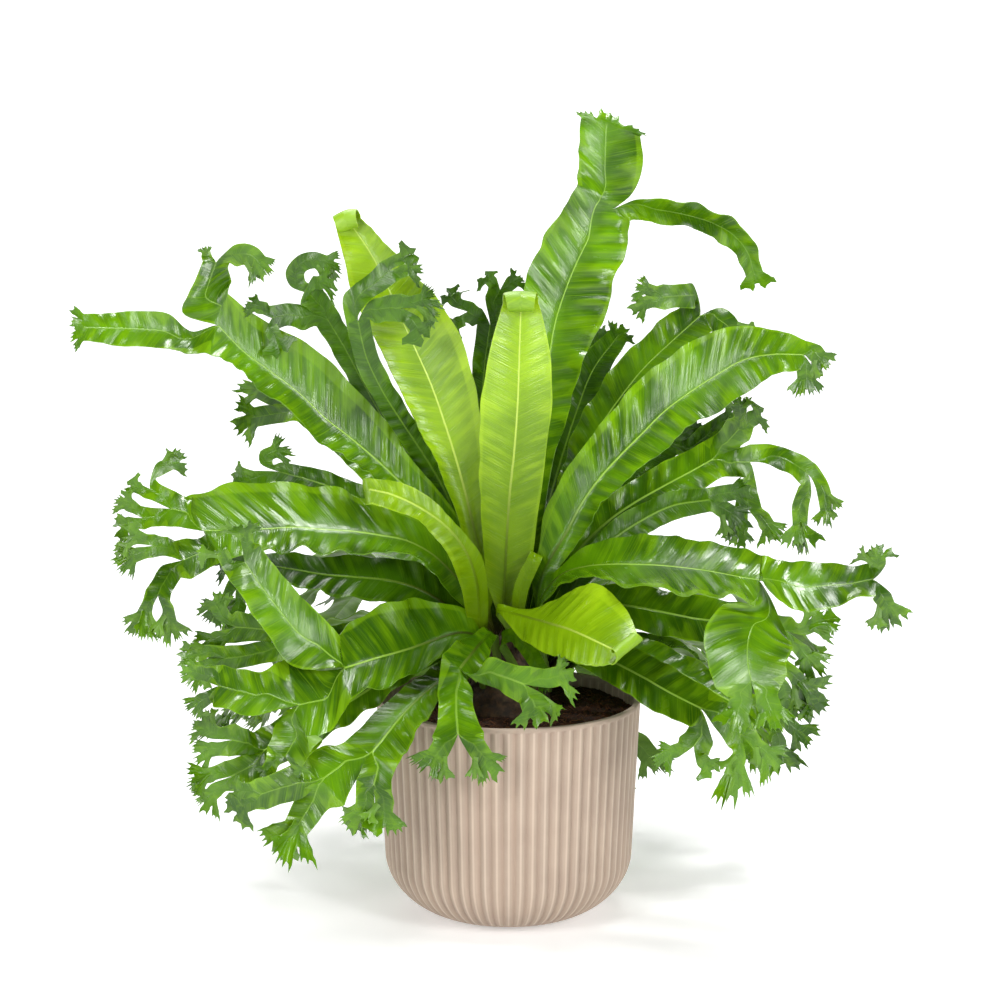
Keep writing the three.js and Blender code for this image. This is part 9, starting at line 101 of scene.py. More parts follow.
  ["frond_back_mid_left","mature",[[[-20.7,17.8,165.5,-19.2,19.9,165.3,-17.1,21.3,165.5],[-34.4,20.3,184.7,-27.6,29.5,183.5,-18.2,35.9,184.7],[-47.7,27.9,202.3,-37.9,40.6,200.2,-24.8,49.9,202.3],[-62.1,37.2,218.3,-49.5,52.7,215.2,-33.7,64.6,218.3],[-77.7,48.9,230.6,-62.8,66.2,226.5,-45.1,80.4,230.6],[-94.4,63.0,237.6,-77.6,81.2,232.8,-58.9,97.3,237.6],[-110.7,79.2,239.4,-93.1,97.0,234.4,-74.8,114.0,239.4],[-127.7,94.9,236.9,-108.6,112.8,231.7,-90.1,131.2,236.9],[-144.2,110.2,230.1,-123.6,128.0,224.9,-105.1,147.9,230.1]],[[[[-144.2,110.2,230.1,-133.9,119.1,227.5,-123.6,128.0,224.9],[-153.5,116.3,222.8,-146.0,127.0,221.8,-138.6,137.7,220.7],[-164.9,122.9,216.4,-158.4,133.5,214.7,-151.9,144.1,213.1],[-176.8,128.1,208.8,-170.6,138.8,206.6,-164.4,149.5,204.3],[-189.9,130.1,200.8,-182.4,143.2,197.4,-175.0,156.3,194.0]],[[[[-189.9,130.1,200.8,-186.1,136.6,199.1,-182.4,143.2,197.4],[-191.7,128.5,200.6,-191.9,135.4,195.7,-192.0,142.4,190.8],[-198.5,126.2,196.8,-197.9,133.2,191.8,-197.3,140.2,186.8],[-204.8,124.0,192.3,-203.5,131.1,187.3,-202.2,138.3,182.4]],[],[3,15.8,60],0],[[[-182.4,143.2,197.4,-178.7,149.7,195.7,-175.0,156.3,194.0],[-188.3,149.1,189.0,-181.4,153.7,191.0,-174.5,158.3,192.9],[-189.9,153.4,183.4,-183.3,158.5,185.5,-176.7,163.5,187.6],[-191.5,157.3,177.4,-185.0,162.8,179.7,-178.5,168.4,181.9]],[],[3,18.4,60],0]],0,0],[[[-123.6,128.0,224.9,-114.4,138.0,227.5,-105.1,147.9,230.1],[-132.8,143.3,220.7,-121.9,150.4,221.8,-110.9,157.4,222.8],[-138.7,156.8,213.1,-127.9,162.9,214.7,-117.0,169.1,216.4],[-143.7,169.5,204.3,-132.8,175.3,206.6,-121.8,181.1,208.8],[-150.1,180.3,194.0,-136.7,187.3,197.4,-123.3,194.3,200.8]],[[[[-150.1,180.3,194.0,-143.4,183.8,195.7,-136.7,187.3,197.4],[-152.2,180.1,192.8,-147.2,186.8,191.0,-142.2,193.4,189.1],[-157.2,182.6,187.5,-151.8,188.9,185.5,-146.4,195.3,183.4],[-161.9,184.7,181.7,-156.0,190.9,179.6,-150.2,197.2,177.5]],[],[3,23.3,60],0],[[[-136.7,187.3,197.4,-130.0,190.8,199.1,-123.3,194.3,200.8],[-137.5,195.3,191.0,-130.1,196.5,194.9,-122.6,197.6,198.8],[-136.5,200.6,186.4,-129.1,202.3,190.3,-121.6,204.0,194.2],[-135.7,205.5,181.4,-128.1,207.7,185.3,-120.5,210.0,189.1]],[],[3,22.6,60],0]],0,0]],0,0]],
  ["frond_side_low_left","dark",[[[-28.7,5.6,158.5,-28.5,8.2,158.3,-27.4,10.4,158.5],[-41.3,2.3,171.5,-40.1,11.6,170.2,-36.2,20.2,171.5],[-55.5,2.6,182.1,-53.4,15.5,180.1,-48.4,27.5,182.1],[-71.3,4.1,190.1,-68.3,19.7,187.2,-62.6,34.7,190.1],[-88.3,6.5,194.9,-84.1,24.3,191.4,-78.3,41.6,194.9],[-105.7,9.9,196.3,-100.5,29.0,192.3,-94.8,47.9,196.3],[-122.7,14.5,194.1,-116.7,33.6,190.2,-111.7,52.9,194.1],[-139.2,18.2,188.8,-132.1,37.9,184.9,-127.7,58.4,188.8],[-154.4,21.7,180.3,-146.3,41.9,176.6,-142.4,63.4,180.3]],[[[[-154.4,21.7,180.3,-150.3,31.8,178.5,-146.3,41.9,176.6],[-162.5,21.1,172.2,-161.3,32.1,170.9,-160.0,43.1,169.6],[-172.4,20.7,164.5,-171.6,31.4,162.6,-170.9,42.0,160.7],[-181.9,19.3,156.0,-181.4,29.9,153.7,-180.8,40.4,151.3],[-191.2,15.2,147.5,-190.5,27.9,144.2,-189.9,40.6,140.9]],[[[[-191.2,15.2,147.5,-190.8,21.5,145.9,-190.5,27.9,144.2],[-192.8,13.4,145.9,-194.5,19.3,141.8,-196.1,25.2,137.6],[-196.7,9.7,141.6,-197.9,16.0,137.6,-199.1,22.2,133.6],[-200.2,6.2,136.9,-201.1,12.8,133.0,-201.9,19.4,129.1]],[],[3,17.7,60],0],[[[-190.5,27.9,144.2,-190.2,34.3,142.6,-189.9,40.6,140.9],[-196.1,28.1,136.7,-193.5,35.0,137.9,-190.9,41.8,139.1],[-198.8,29.9,131.3,-196.5,36.9,132.6,-194.1,43.9,133.9],[-201.4,31.4,125.8,-199.2,38.7,127.1,-197.0,46.0,128.4]],[],[3,16.0,60],0]],0,0],[[[-146.3,41.9,176.6,-144.3,52.7,178.5,-142.4,63.4,180.3],[-157.2,47.7,168.4,-152.4,57.7,169.7,-147.6,67.6,171.1],[-164.3,53.8,158.3,-159.3,63.3,160.2,-154.3,72.7,162.1],[-170.4,59.8,147.7,-165.3,69.1,150.0,-160.2,78.3,152.4],[-176.7,63.9,136.1,-170.5,75.1,139.4,-164.3,86.2,142.7]],[[[[-176.7,63.9,136.1,-173.6,69.5,137.7,-170.5,75.1,139.4],[-179.9,63.7,136.7,-178.9,70.8,134.8,-178.0,77.9,133.0],[-185.8,63.7,133.1,-184.5,70.8,131.2,-183.1,77.9,129.3],[-191.4,63.6,129.3,-189.7,70.9,127.4,-187.9,78.2,125.5]],[],[3,17.3,60],0],[[[-170.5,75.1,139.4,-167.4,80.6,141.0,-164.3,86.2,142.7],[-174.8,78.9,131.8,-170.4,83.6,135.5,-166.1,88.3,139.2],[-177.3,82.7,126.8,-173.1,87.8,130.3,-168.9,92.8,133.9],[-180.2,86.2,121.7,-176.0,91.8,125.1,-171.9,97.3,128.6]],[],[3,14.6,60],0]],0,0]],0,0]],
  ["frond_side_low_right","dark",[[[28.0,8.5,158.5,29.0,6.2,158.3,29.1,3.6,158.5],[36.8,17.4,169.9,40.0,8.6,168.6,40.7,-0.8,169.9],[48.4,23.6,179.2,52.5,11.3,177.0,53.8,-1.7,179.2],[61.8,29.5,185.8,66.3,14.2,182.9,68.4,-1.6,185.8],[76.4,34.9,189.5,80.9,17.3,185.9,84.0,-0.7,189.5],[91.7,39.7,189.8,95.8,20.4,185.9,99.9,1.1,189.8],[107.0,43.2,186.8,110.4,23.5,182.9,115.3,4.1,186.8],[121.3,47.2,180.9,124.1,26.4,177.1,130.0,6.3,180.9],[134.3,50.7,172.2,136.4,29.0,168.6,143.3,8.3,172.2]],[[[[134.3,50.7,172.2,135.4,39.9,170.4,136.4,29.0,168.6],[139.7,54.4,164.5,143.7,44.1,163.0,147.7,33.8,161.6],[146.9,58.7,157.1,151.1,48.9,155.1,155.4,39.2,153.1],[153.5,63.7,149.1,157.8,54.1,146.7,162.1,44.4,144.2],[158.6,71.0,141.2,163.8,59.3,137.8,169.0,47.7,134.4]],[[[[158.6,71.0,141.2,161.2,65.1,139.5,163.8,59.3,137.8],[159.4,72.9,139.3,163.3,67.9,135.4,167.2,62.9,131.6],[161.1,77.0,135.1,164.7,71.7,131.4,168.4,66.3,127.7],[162.4,81.0,130.6,166.0,75.1,127.0,169.6,69.3,123.5]],[],[3,15.5,60],0],[[[163.8,59.3,137.8,166.4,53.5,136.1,169.0,47.7,134.4],[168.4,61.4,130.3,169.1,54.2,131.9,169.8,47.0,133.5],[171.0,60.8,125.5,172.1,53.6,127.1,173.2,46.3,128.6],[173.4,60.5,120.5,174.8,53.0,122.1,176.2,45.6,123.7]],[],[3,17.8,60],0]],0,0],[[[136.4,29.0,168.6,139.9,18.6,170.4,143.3,8.3,172.2],[148.7,29.2,161.6,149.2,18.2,163.0,149.8,7.1,164.5],[157.9,27.4,153.1,158.0,16.8,155.1,158.1,6.1,157.1],[166.2,25.3,144.2,166.2,14.8,146.7,166.1,4.2,149.1],[173.8,25.1,134.4,173.8,12.4,137.8,173.7,-0.3,141.2]],[[[[173.8,25.1,134.4,173.8,18.8,136.1,173.8,12.4,137.8],[174.9,25.7,132.6,176.7,18.6,131.8,178.5,11.4,131.0],[177.8,27.0,127.7,179.4,19.7,126.9,181.0,12.5,126.1],[180.4,28.3,122.7,181.9,20.8,121.8,183.3,13.2,121.0]],[],[3,13.0,60],0],[[[173.8,12.4,137.8,173.7,6.0,139.5,173.7,-0.3,141.2],[178.7,9.0,131.3,176.5,3.7,136.0,174.4,-1.7,140.6],[180.8,5.8,127.9,179.1,0.1,132.3,177.5,-5.7,136.8],[182.9,3.0,124.0,181.6,-3.2,128.4,180.2,-9.5,132.7]],[],[3,12.3,60],0]],0,0]],0,0]],
]

STEP = 2.3  # mm between rows along a blade
BLADE = 0.5  # blade thickness
VEIN_SLANT = 0.5  # lateral veins run outwards and this much towards the tip


def unit(v):
    v = np.asarray(v, float)
    return v / max(float(np.linalg.norm(v)), 1e-9)


def smooth(x):
    x = np.clip(x, 0, 1)
    return x * x * (3 - 2 * x)


def resample(rows, step, first=None):
    """a smooth run of rows through the given ones, about step apart along the midrib"""
    p = rows.reshape(len(rows), 9)
    gap = np.linalg.norm(np.diff(rows[:, 1], axis=0), axis=1)
    t = np.r_[0, np.cumsum(np.maximum(gap, 0.6))]
    m = np.empty_like(p)
    m[1:-1] = (p[2:] - p[:-2]) / (t[2:] - t[:-2])[:, None] if len(p) > 2 else m[1:-1]
    m[0] = (p[1] - p[0]) / (t[1] - t[0])
    m[-1] = (p[-1] - p[-2]) / (t[-1] - t[-2])
    if first is not None:
        m[0] = 0.45 * m[0] + 0.55 * np.tile(first, 3)
    n = max(2, int(round(t[-1] / step)))
    x = np.linspace(0, t[-1], n + 1)
    k = np.clip(np.searchsorted(t, x, side="right") - 1, 0, len(t) - 2)
    h = (t[k + 1] - t[k])[:, None]
    s = ((x - t[k])[:, None]) / h
    out = (
        (2 * s**3 - 3 * s**2 + 1) * p[k]
        + (s**3 - 2 * s**2 + s) * h * m[k]
        + (-2 * s**3 + 3 * s**2) * p[k + 1]
        + (s**3 - s**2) * h * m[k + 1]
    )
    return out.reshape(-1, 3, 3), x


def across(L, M, R, u):
    """points of a row: u runs from -1 at the left margin over 0 at the middle to 1 at the right margin"""
    q = (np.asarray(u, float) + 1) / 2
    q = q[..., None]
    return L * (2 * (q - 0.5) * (q - 1)) + M * (4 * q * (1 - q)) + R * (2 * q * (q - 0.5))


def column_places(nh, half, rib):
    """2 nh + 1 places from -1 to 1, the middle one on the rib, close together beside it"""
    out = []
    for side in (-1, 1):
        room = 1 - side * rib
        near = min(1.0 / max(half, 1e-6) / max(room, 0.05), 0.75 / nh)
        f = np.r_[0, np.linspace(near, 1, nh)]
        out.append(rib + side * f * room)
    return np.r_[out[0][::-1], out[1][1:]]


class Sheet:
    """thin surfaces that share vertices, turned into closed solids at the end"""

    def __init__(self, rng, ident, tone=0.0):
        self.tone = tone
        self.P, self.co, self.aux, self.T, self.F, self.more = [], [], [], [], [], []
        self.n = 0
        self.rng, self.ident = rng, ident

    def row(self, pts, x, v, u, brown, thick, keel, ribbed=0.0, pleat=0.0):
        k = len(pts)
        ids = np.arange(self.n, self.n + k)
        self.n += k
        self.P.append(np.asarray(pts, float))
        one = np.ones(k)
        self.co.append(np.stack([x * one, v * one, self.ident * one], 1))
        self.aux.append(np.stack([np.abs(u) * one, brown * one, keel * one], 1))
        self.T.append(thick * one)
        self.more.append(np.stack([ribbed * one, pleat * one, self.tone * one], 1))
        return ids

    def strip(self, a, b):
        """triangles between two rows that may have different numbers of points"""
        i = j = 0
        na, nb = len(a) - 1, len(b) - 1
        if na == nb:
            for i in range(na):
                if (i < na / 2):
                    self.F += [(a[i], a[i + 1], b[i]), (a[i + 1], b[i + 1], b[i])]
                else:
                    self.F += [(a[i], a[i + 1], b[i + 1]), (a[i], b[i + 1], b[i])]
            return
        while i < na or j < nb:
            if j >= nb or (i < na and (i + 1) / na <= (j + 1) / nb + 1e-9):
                self.F.append((a[i], a[i + 1], b[j]))
                i += 1
            else:
                self.F.append((a[i], b[j + 1], b[j]))
                j += 1


def noise1(rng, n=5):
    """a smooth random wave of one variable, about -1 to 1"""
    f = rng.uniform(0.5, 1.6, n)
    ph = rng.uniform(0, 6.283, n)
    return lambda x: sum(np.sin(x * f[i] + ph[i]) for i in range(n)) / (0.62 * n)


def fan(sh, ids, L, M, R, t, n, v, size, fingers, spread, brown=1.0, droop=0.2, ruffle=0.25):
    """the crest: a palmate plate cut into fingers, each with two or three small points"""
    rng = sh.rng
    A = unit(R - L)
    t = unit(t - A * np.dot(t, A))
    n = np.cross(A, t)
    a = math.radians(spread / 2)
    at = np.linspace(-a, a, fingers) if fingers > 1 else np.array([0.0])
    at = at + rng.uniform(-0.12, 0.12, fingers)
    gap = 2 * a / max(1, fingers - 1) if fingers > 1 else 1.0
    place, angle, length, tip = [], [], [], []

    def column(p, th, ln, tp=0.0):
        place.append(p)
        angle.append(th)
        length.append(ln)
        tip.append(tp)

    edge = rng.uniform(0.3, 0.42)
    column(0.0, at[0] - gap * 0.4, edge)
    for k in range(fingers):
        reach = rng.uniform(0.76, 1.05) * (1 - 0.14 * abs(2 * (k + 0.5) / fingers - 1))
        h = gap * rng.uniform(0.3, 0.39)
        teeth = int(rng.choice([2, 3, 3, 4])) if size > 13 else int(rng.choice([2, 2, 3]))
        lean = rng.uniform(-0.08, 0.08)
        marks = [(-1.0, 0.6, 0)]
        for q in range(teeth):
            c = -1 + 2 * q / (teeth - 1) + rng.uniform(-0.1, 0.1)
            g = 2 / (teeth - 1)
            low = rng.uniform(0.76, 0.84)
            marks.append((c - 0.26 * g, low if q else low - 0.06, 0))
            marks.append((c, rng.uniform(0.93, 1.08), 1))
            marks.append((c + 0.26 * g, rng.uniform(0.76, 0.84) if q < teeth - 1 else 0.74, 0))
        marks.append((1.0, 0.6, 0))
        for q, (c, ln, tp) in enumerate(marks):
            column((k + 0.12 + 0.76 * q / (len(marks) - 1)) / fingers, at[k] + h * c, reach * (ln + lean * c), tp)
        if k < fingers - 1:
            column((k + 1.0) / fingers, (at[k] + at[k + 1]) / 2, rng.uniform(0.34, 0.52))
    column(1.0, at[-1] + gap * 0.4, edge)
    u = 2 * np.array(place) - 1
    th = np.array(angle)
    length = np.array(length) * size
    tip = np.array(tip)
    B = across(L, M, R, u)
    ph1, ph2 = rng.uniform(0, 6.28, 2)
    bend = rng.uniform(-0.25, 0.4)
    w = ruffle * (0.8 * np.sin(2.6 * u + ph1) + 0.5 * np.sin(5.2 * u + ph2)) + bend
    down = np.array([0, 0, -1.0])
    steps = 6 if size < 16 else 8
    prev = ids
    # fingers leave straight and spread on the way
    for i in range(1, steps + 1):
        s = i / steps
        q = th * (0.7 + 0.3 * s)
        dirs = np.cos(q)[:, None] * t + np.sin(q)[:, None] * A
        P = (
            B
            + dirs * (length * s)[:, None]
            + n * (w * s**1.7 * length)[:, None]
            + down * (droop * s * s * length)[:, None]
        )
        x = u * (3 + size * 0.5 * s)
        now = sh.row(P, x, v + length * s, np.abs(u) * 0.6, brown * smooth((s - 0.8) / 0.2) * tip, BLADE * (1 - 0.2 * s), 0.0, 0.0, 0.5 * np.sin(9 * u + ph1))
        sh.strip(prev, now)
        prev = now


def lobe(sh, P, A, t, v, w, size, fingers, spread, tilt):
    """a small branch of its own: it starts inside the blade and ends in a crest"""
    rng = sh.rng
    A, t = unit(A), unit(t)
    A = unit(A - t * np.dot(A, t))
    n = np.cross(A, t)
    prev = None
    down = np.array([0, 0, -1.0])
    k = 5
    p = np.array(P, float)
    d = t
    for i in range(k + 1):
        s = i / k
        ww = w * (1 - 0.25 * math.sin(math.pi * s)) * (1 + 0.25 * s)
        q = np.array([-1, -0.5, 0, 0.5, 1.0])
        pts = p + np.outer(q, A) * ww / 2 + np.outer(q * q, n) * 0.18 * ww
        ids = sh.row(pts, q * ww / 2, v + s * size * 0.6, np.abs(q) * 0.6, 0.0, BLADE * 0.9, 0.1)
        if prev is not None:
            sh.strip(prev, ids)
        prev = ids
        if i < k:
            d = unit(d + n * tilt / k + down * 0.3 / k)
            p = p + d * size * 0.6 / k
            A = unit(A - d * np.dot(A, d))
            n = np.cross(A, d)
    fan(sh, prev, pts[0], pts[2], pts[4], d, n, v + size * 0.6, size * 0.62, fingers, spread, ruffle=0.3)


def roll(sh, ids, rows, v, radius, turns, side, nh):
    """the still rolled tip of a young frond"""
    L, M, R = rows[-1]
    A = unit(R - L)
    w = np.linalg.norm(R - L)
    t = unit(M - rows[-3][1])
    t = unit(t - A * np.dot(t, A))
    n = np.cross(A, t) * side
    sagL, sagR = (L + R) / 2 - M, None
    steps = int(turns * 26)
    p = (L + R) / 2
    cup = float(np.dot(M - p, n))
    prev = ids
    dth = turns * 2 * math.pi / steps
    u = np.linspace(-1, 1, 2 * nh + 1)
    rough = noise1(sh.rng)
    for i in range(1, steps + 1):
        f = i / steps
        th = i * dth
        r = radius * (1 - 0.42 * f)
        d = t * math.cos(th) + n * math.sin(th)
        nn = -t * math.sin(th) + n * math.cos(th)
        p = p + d * r * dth
        ww = w * (1 - 0.22 * smooth(np.array(f * 1.6))) * (1 - 0.3 * f * f)
        wave = 0.35 * np.sin(u * 5 + th * 1.3) * np.abs(u) ** 2 + 0.25 * rough(u * 3 + th)
        pts = p + np.outer(u, A) * ww / 2 + np.outer(cup * (1 - u * u) * max(0, 1 - 2 * f) + wave * 0.8, nn)
        now = sh.row(pts, u * ww / 2, v + f * turns * 6.28 * radius, np.abs(u), 0.12, BLADE, 0.25 * (1 - f))
        sh.strip(prev, now)
        prev = now


def grow(sh, seg, start, first, side, depth, v0, look):
    rng = sh.rng
    rows = np.array(seg[0], float).reshape(-1, 3, 3)
    if side and len(rows) > 2:
        i = 2 if side < 0 else 0
        rows[1][i] = rows[1][i] + (rows[1][1] - rows[1][i]) * (0.28 if np.linalg.norm(rows[1][2] - rows[1][0]) < 12 else 0.1)
    wide = np.linalg.norm(rows[:, 2] - rows[:, 0], axis=1)
    wmax = float(wide.max())
    step = STEP if wmax > 16 else 1.9
    D, x = resample(rows, step, first)
    D[0] = rows[0]
    nh = int(np.clip(round(wmax / 2 / 2.2), 2, 9))
    total = x[-1]
    N = len(D)
    half = np.linalg.norm(D[:, 2] - D[:, 0], axis=1) / 2
    # the rib of a branch starts where the parent's rib ends
    at_end, at_start = seg[4] if len(seg) > 4 else (0, 9)
    rib = -side * 0.93 * (1 - smooth(x / min(total * 0.45, 26.0))) if side else np.zeros(N)
    if at_start != 9:
        rib = at_start * (1 - smooth(x / min(total * 0.45, 26.0)))
    if at_end:
        rib = rib + at_end * smooth((x - total + 30) / 30)
    G = np.empty((N, 2 * nh + 1, 3))
    U = np.empty((N, 2 * nh + 1))
    for i in range(N):
        U[i] = column_places(nh, half[i], float(rib[i]))
        G[i] = across(D[i, 0], D[i, 1], D[i, 2], U[i])
    # ragged margins: each side runs a little in and out
    e = [noise1(rng), noise1(rng)]
    v = v0 + x
    for k, s in ((0, -1), (1, 1)):
        f = 1 + look["ragged"] * e[k](v / 6.0)
        cols = np.where(np.arange(2 * nh + 1) < nh if s < 0 else np.arange(2 * nh + 1) > nh)[0]
        mid = G[:, nh : nh + 1]
        keep = smooth(np.minimum(x, 12.0) / 12.0) * smooth(np.minimum(total - x, 8.0) / 8.0)
        g = 1 + (f - 1) * keep
        G[:, cols] = mid + (G[:, cols] - mid) * g[:, None, None]
    gx = np.gradient(G, axis=1)
    gv = np.gradient(G, axis=0)
    Nn = np.cross(gx, gv)
    Nn /= np.maximum(np.linalg.norm(Nn, axis=2, keepdims=True), 1e-9)
    dist = np.zeros((N, 2 * nh + 1))
    sl = np.linalg.norm(np.diff(G, axis=1), axis=2)
    dist[:, nh + 1 :] = np.cumsum(sl[:, nh:], axis=1)
    dist[:, :nh] = -np.cumsum(sl[:, :nh][:, ::-1], axis=1)[:, ::-1]
    au = np.abs(dist) / np.maximum(half[:, None], 1e-6)
    au = np.clip(au, 0, 1.2)
    V = np.repeat(v[:, None], 2 * nh + 1, axis=1)
    sgn = np.sign(dist)
    c = V - VEIN_SLANT * np.abs(dist)
    # fades: near the crown, and where stretches meet
    near = np.linalg.norm(G[..., :2], axis=2)
    calm = smooth((near - 26) / 40.0)
    ends = np.ones(N)
    if depth:
        ends *= 0.15 + 0.85 * smooth(x / 12.0)
    if seg[1]:
        ends *= 0.25 + 0.75 * smooth((total - x) / 12.0)
    amp = np.minimum(1, half / 11.0)[:, None] * ends[:, None] * calm
    drift = look["drift"]
    pleat = np.sin(c * 6.2832 / look["pleat"] + 1.5 * drift[0](c / 24.0) + (sgn > 0) * look["phase"])
    strength = 0.65 + 0.5 * drift[1](c / 17.0 + 9 * (sgn > 0))
    d = look["pleat_mm"] * pleat * np.clip(strength, 0.1, 1.3) * smooth(au / 0.55) * (1 - 0.35 * smooth((au - 0.75) / 0.25))
    fine = np.sin(c * 6.2832 / (look["pleat"] * 0.37) + 3 * drift[2](c / 11.0))
    d += 0.13 * look["pleat_mm"] * fine * smooth(au / 0.3)
    wave = drift[3](V / 5.5 + 40 * (sgn > 0))
    d += look["wave_mm"] * wave * np.clip(au, 0, 1) ** 2.6
    P0 = d / look['pleat_mm']
    d = d * amp
    # the rib stands a little proud of a shallow gutter
    ribline = np.exp(-((dist / 1.1) ** 2))
    rib_h = 0.55 * np.exp(-v / 330.0) * (1 - smooth((v - 60) / 600.0))
    d += ribline * rib_h[:, None] * (0.35 if wmax < 14 else 1.0)
    d -= 0.5 * np.exp(-((dist / 4.5) ** 2)) * amp
    if start is not None:
        d[0] = 0
    G = G + Nn * d[..., None]
    stalk = np.exp(-v / 26.0)
    prev = start
    for i in range(N):
        if i == 0 and start is not None:
            continue
        thick = (BLADE if depth else BLADE + 0.15) + 2.2 * stalk[i] * np.exp(-((dist[i] / 3.0) ** 2))
        keel = np.exp(-((dist[i] / (1.0 + 0.9 * stalk[i])) ** 2)) * (0.35 + 1.1 * math.exp(-v[i] / 150.0)) * (1 if wmax > 14 else 0.5)
        ids = sh.row(G[i], dist[i], v[i], au[i], 0.0, thick, keel, float(smooth((half[i] - 3.5) / 9.0)) * (1.0, 0.55, 0.35, 0.3, 0.3)[depth], P0[i])
        if prev is not None:
            sh.strip(prev, ids)
        prev = ids
    last = rows[-1]
    t = unit(D[-1, 1] - D[-2, 1])
    A = unit(last[2] - last[0])
    n = np.cross(A, t)
    vend = v[-1]
    if seg[1]:
        h = int(np.argmin(np.abs(U[-1])))
        if len(seg[1]) == 2:
            grow(sh, seg[1][0], prev[: h + 1], t, -1, depth + 1, vend, look)
            grow(sh, seg[1][1], prev[h:], t, 1, depth + 1, vend, look)
        else:
            grow(sh, seg[1][0], prev, t, 0, depth + 1, vend, look)
    elif seg[3]:
        r, turns, sd = seg[3]
        roll(sh, prev, D, vend, r, turns, sd, nh)
    elif seg[2]:
        forks, length, spread = seg[2]
        w = float(np.linalg.norm(last[2] - last[0]))
        size = max(5.0, length / 1.44 * 1.2 + 2.5)
        fingers = int(rng.choice([2, 3])) if forks < 3 else int(rng.choice([3, 3, 4]))
        fan(sh, prev, last[0], last[1], last[2], t, n, vend, size, fingers, min(125, spread + 22), ruffle=0.22)
        P = D[-1, 1]
        # further lobes of the crest stand across the first one
        if forks >= 3 and depth and size > 15 and rng.rand() < 0.45:
            q = int(rng.randint(2))
            th = math.radians(rng.uniform(30, 65)) * (1 if q else -1)
            A2 = unit(A * math.cos(th) + n * math.sin(th))
            t2 = unit(t + A * rng.uniform(-0.4, 0.4) + n * rng.uniform(0.1, 0.5) * (1 if q else -1))
            lobe(sh, P - t * 2.5, A2, t2, vend, w * 0.75, size * rng.uniform(0.9, 1.2), int(rng.choice([2, 3])), 75, rng.uniform(-0.5, 0.5))
        # side lobes on the margins of the last stretch
        if depth and 13 < total < 70:
            for q in range(1 if rng.rand() < 0.55 else 0):
                i = int(N * (rng.uniform(0.35, 0.6) if q else rng.uniform(0.6, 0.85)))
                i = min(max(i, 1), N - 2)
                sd = -1 if (q + int(rng.randint(2))) % 2 else 1
                Ai = unit(G[i, -1] - G[i, 0])
                ti = unit(G[min(i + 1, N - 1), nh] - G[i - 1, nh])
                ni = np.cross(Ai, ti)
                edge = G[i, -1] if sd > 0 else G[i, 0]
                out = unit(Ai * sd * 0.8 + ti * 0.8 + ni * rng.uniform(-0.5, 0.5))
                base = edge - Ai * sd * 2.2
                lobe(sh, base, np.cross(out, unit(ni + 0.3 * Ai)) * -1, out, v[i], 4.4, rng.uniform(10, 17), int(rng.choice([2, 2, 3])), 60, rng.uniform(-0.6, 0.6))


def solidify(sh):
    """the sheets as closed solids; returns points (m), triangles, and the two attributes"""
    P = np.concatenate(sh.P)
    co = np.concatenate(sh.co)
    aux = np.concatenate(sh.aux)
    T = np.concatenate(sh.T)
    F = np.array(sh.F, int)
    a, b, c = P[F[:, 0]], P[F[:, 1]], P[F[:, 2]]
    fn = np.cross(b - a, c - a)
    N = np.zeros_like(P)
    for k in range(3):
        np.add.at(N, F[:, k], fn)
    N /= np.maximum(np.linalg.norm(N, axis=1, keepdims=True), 1e-12)
    keel = aux[:, 2]
    top = P + N * (T / 2)[:, None]
    bot = P - N * (T / 2 + keel)[:, None]
    n = len(P)
    E = {}
    for f in F.tolist():
        for p, q in ((f[0], f[1]), (f[1], f[2]), (f[2], f[0])):
            if (q, p) in E:
                del E[(q, p)]
            else:
                E[(p, q)] = 1
    rim = np.array(list(E), int)
    tris = [F, F[:, ::-1] + n]
    if len(rim):
        p, q = rim[:, 0], rim[:, 1]
        tris += [np.stack([q, p, p + n], 1), np.stack([q, p + n, q + n], 1)]
    tri = np.concatenate(tris)
    pts = np.concatenate([top, bot]) * MM
    low = aux.copy()
    high = aux.copy()
    high[:, 2] = 1.0
    low[:, 2] = 0.0
    more = np.concatenate(sh.more)
    return pts, tri, np.concatenate([co, co]), np.concatenate([high, low]), np.concatenate([more, more])


def mesh_object(name, pts, tri, attributes=(), angle=None, smooth_shade=True):
    me = bpy.data.meshes.new(name)
    me.vertices.add(len(pts))
    me.vertices.foreach_set("co", np.asarray(pts, np.float32).ravel())
    me.loops.add(3 * len(tri))
    me.loops.foreach_set("vertex_index", np.asarray(tri, np.int32).ravel())
    me.polygons.add(len(tri))
    me.polygons.foreach_set("loop_start", np.arange(0, 3 * len(tri), 3, dtype=np.int32))
    me.polygons.foreach_set("loop_total", np.full(len(tri), 3, np.int32))
    me.update(calc_edges=True)
    me.validate()
    if smooth_shade:
        me.polygons.foreach_set("use_smooth", np.ones(len(me.polygons), bool))
        if angle:
            me.set_sharp_from_angle(angle=math.radians(angle))
    for label, values in attributes:
        at = me.attributes.new(label, "FLOAT_VECTOR", "POINT")
        at.data.foreach_set("vector", np.asarray(values, np.float32).ravel())
    ob = bpy.data.objects.new(name, me)
    bpy.context.scene.collection.objects.link(ob)
    return ob


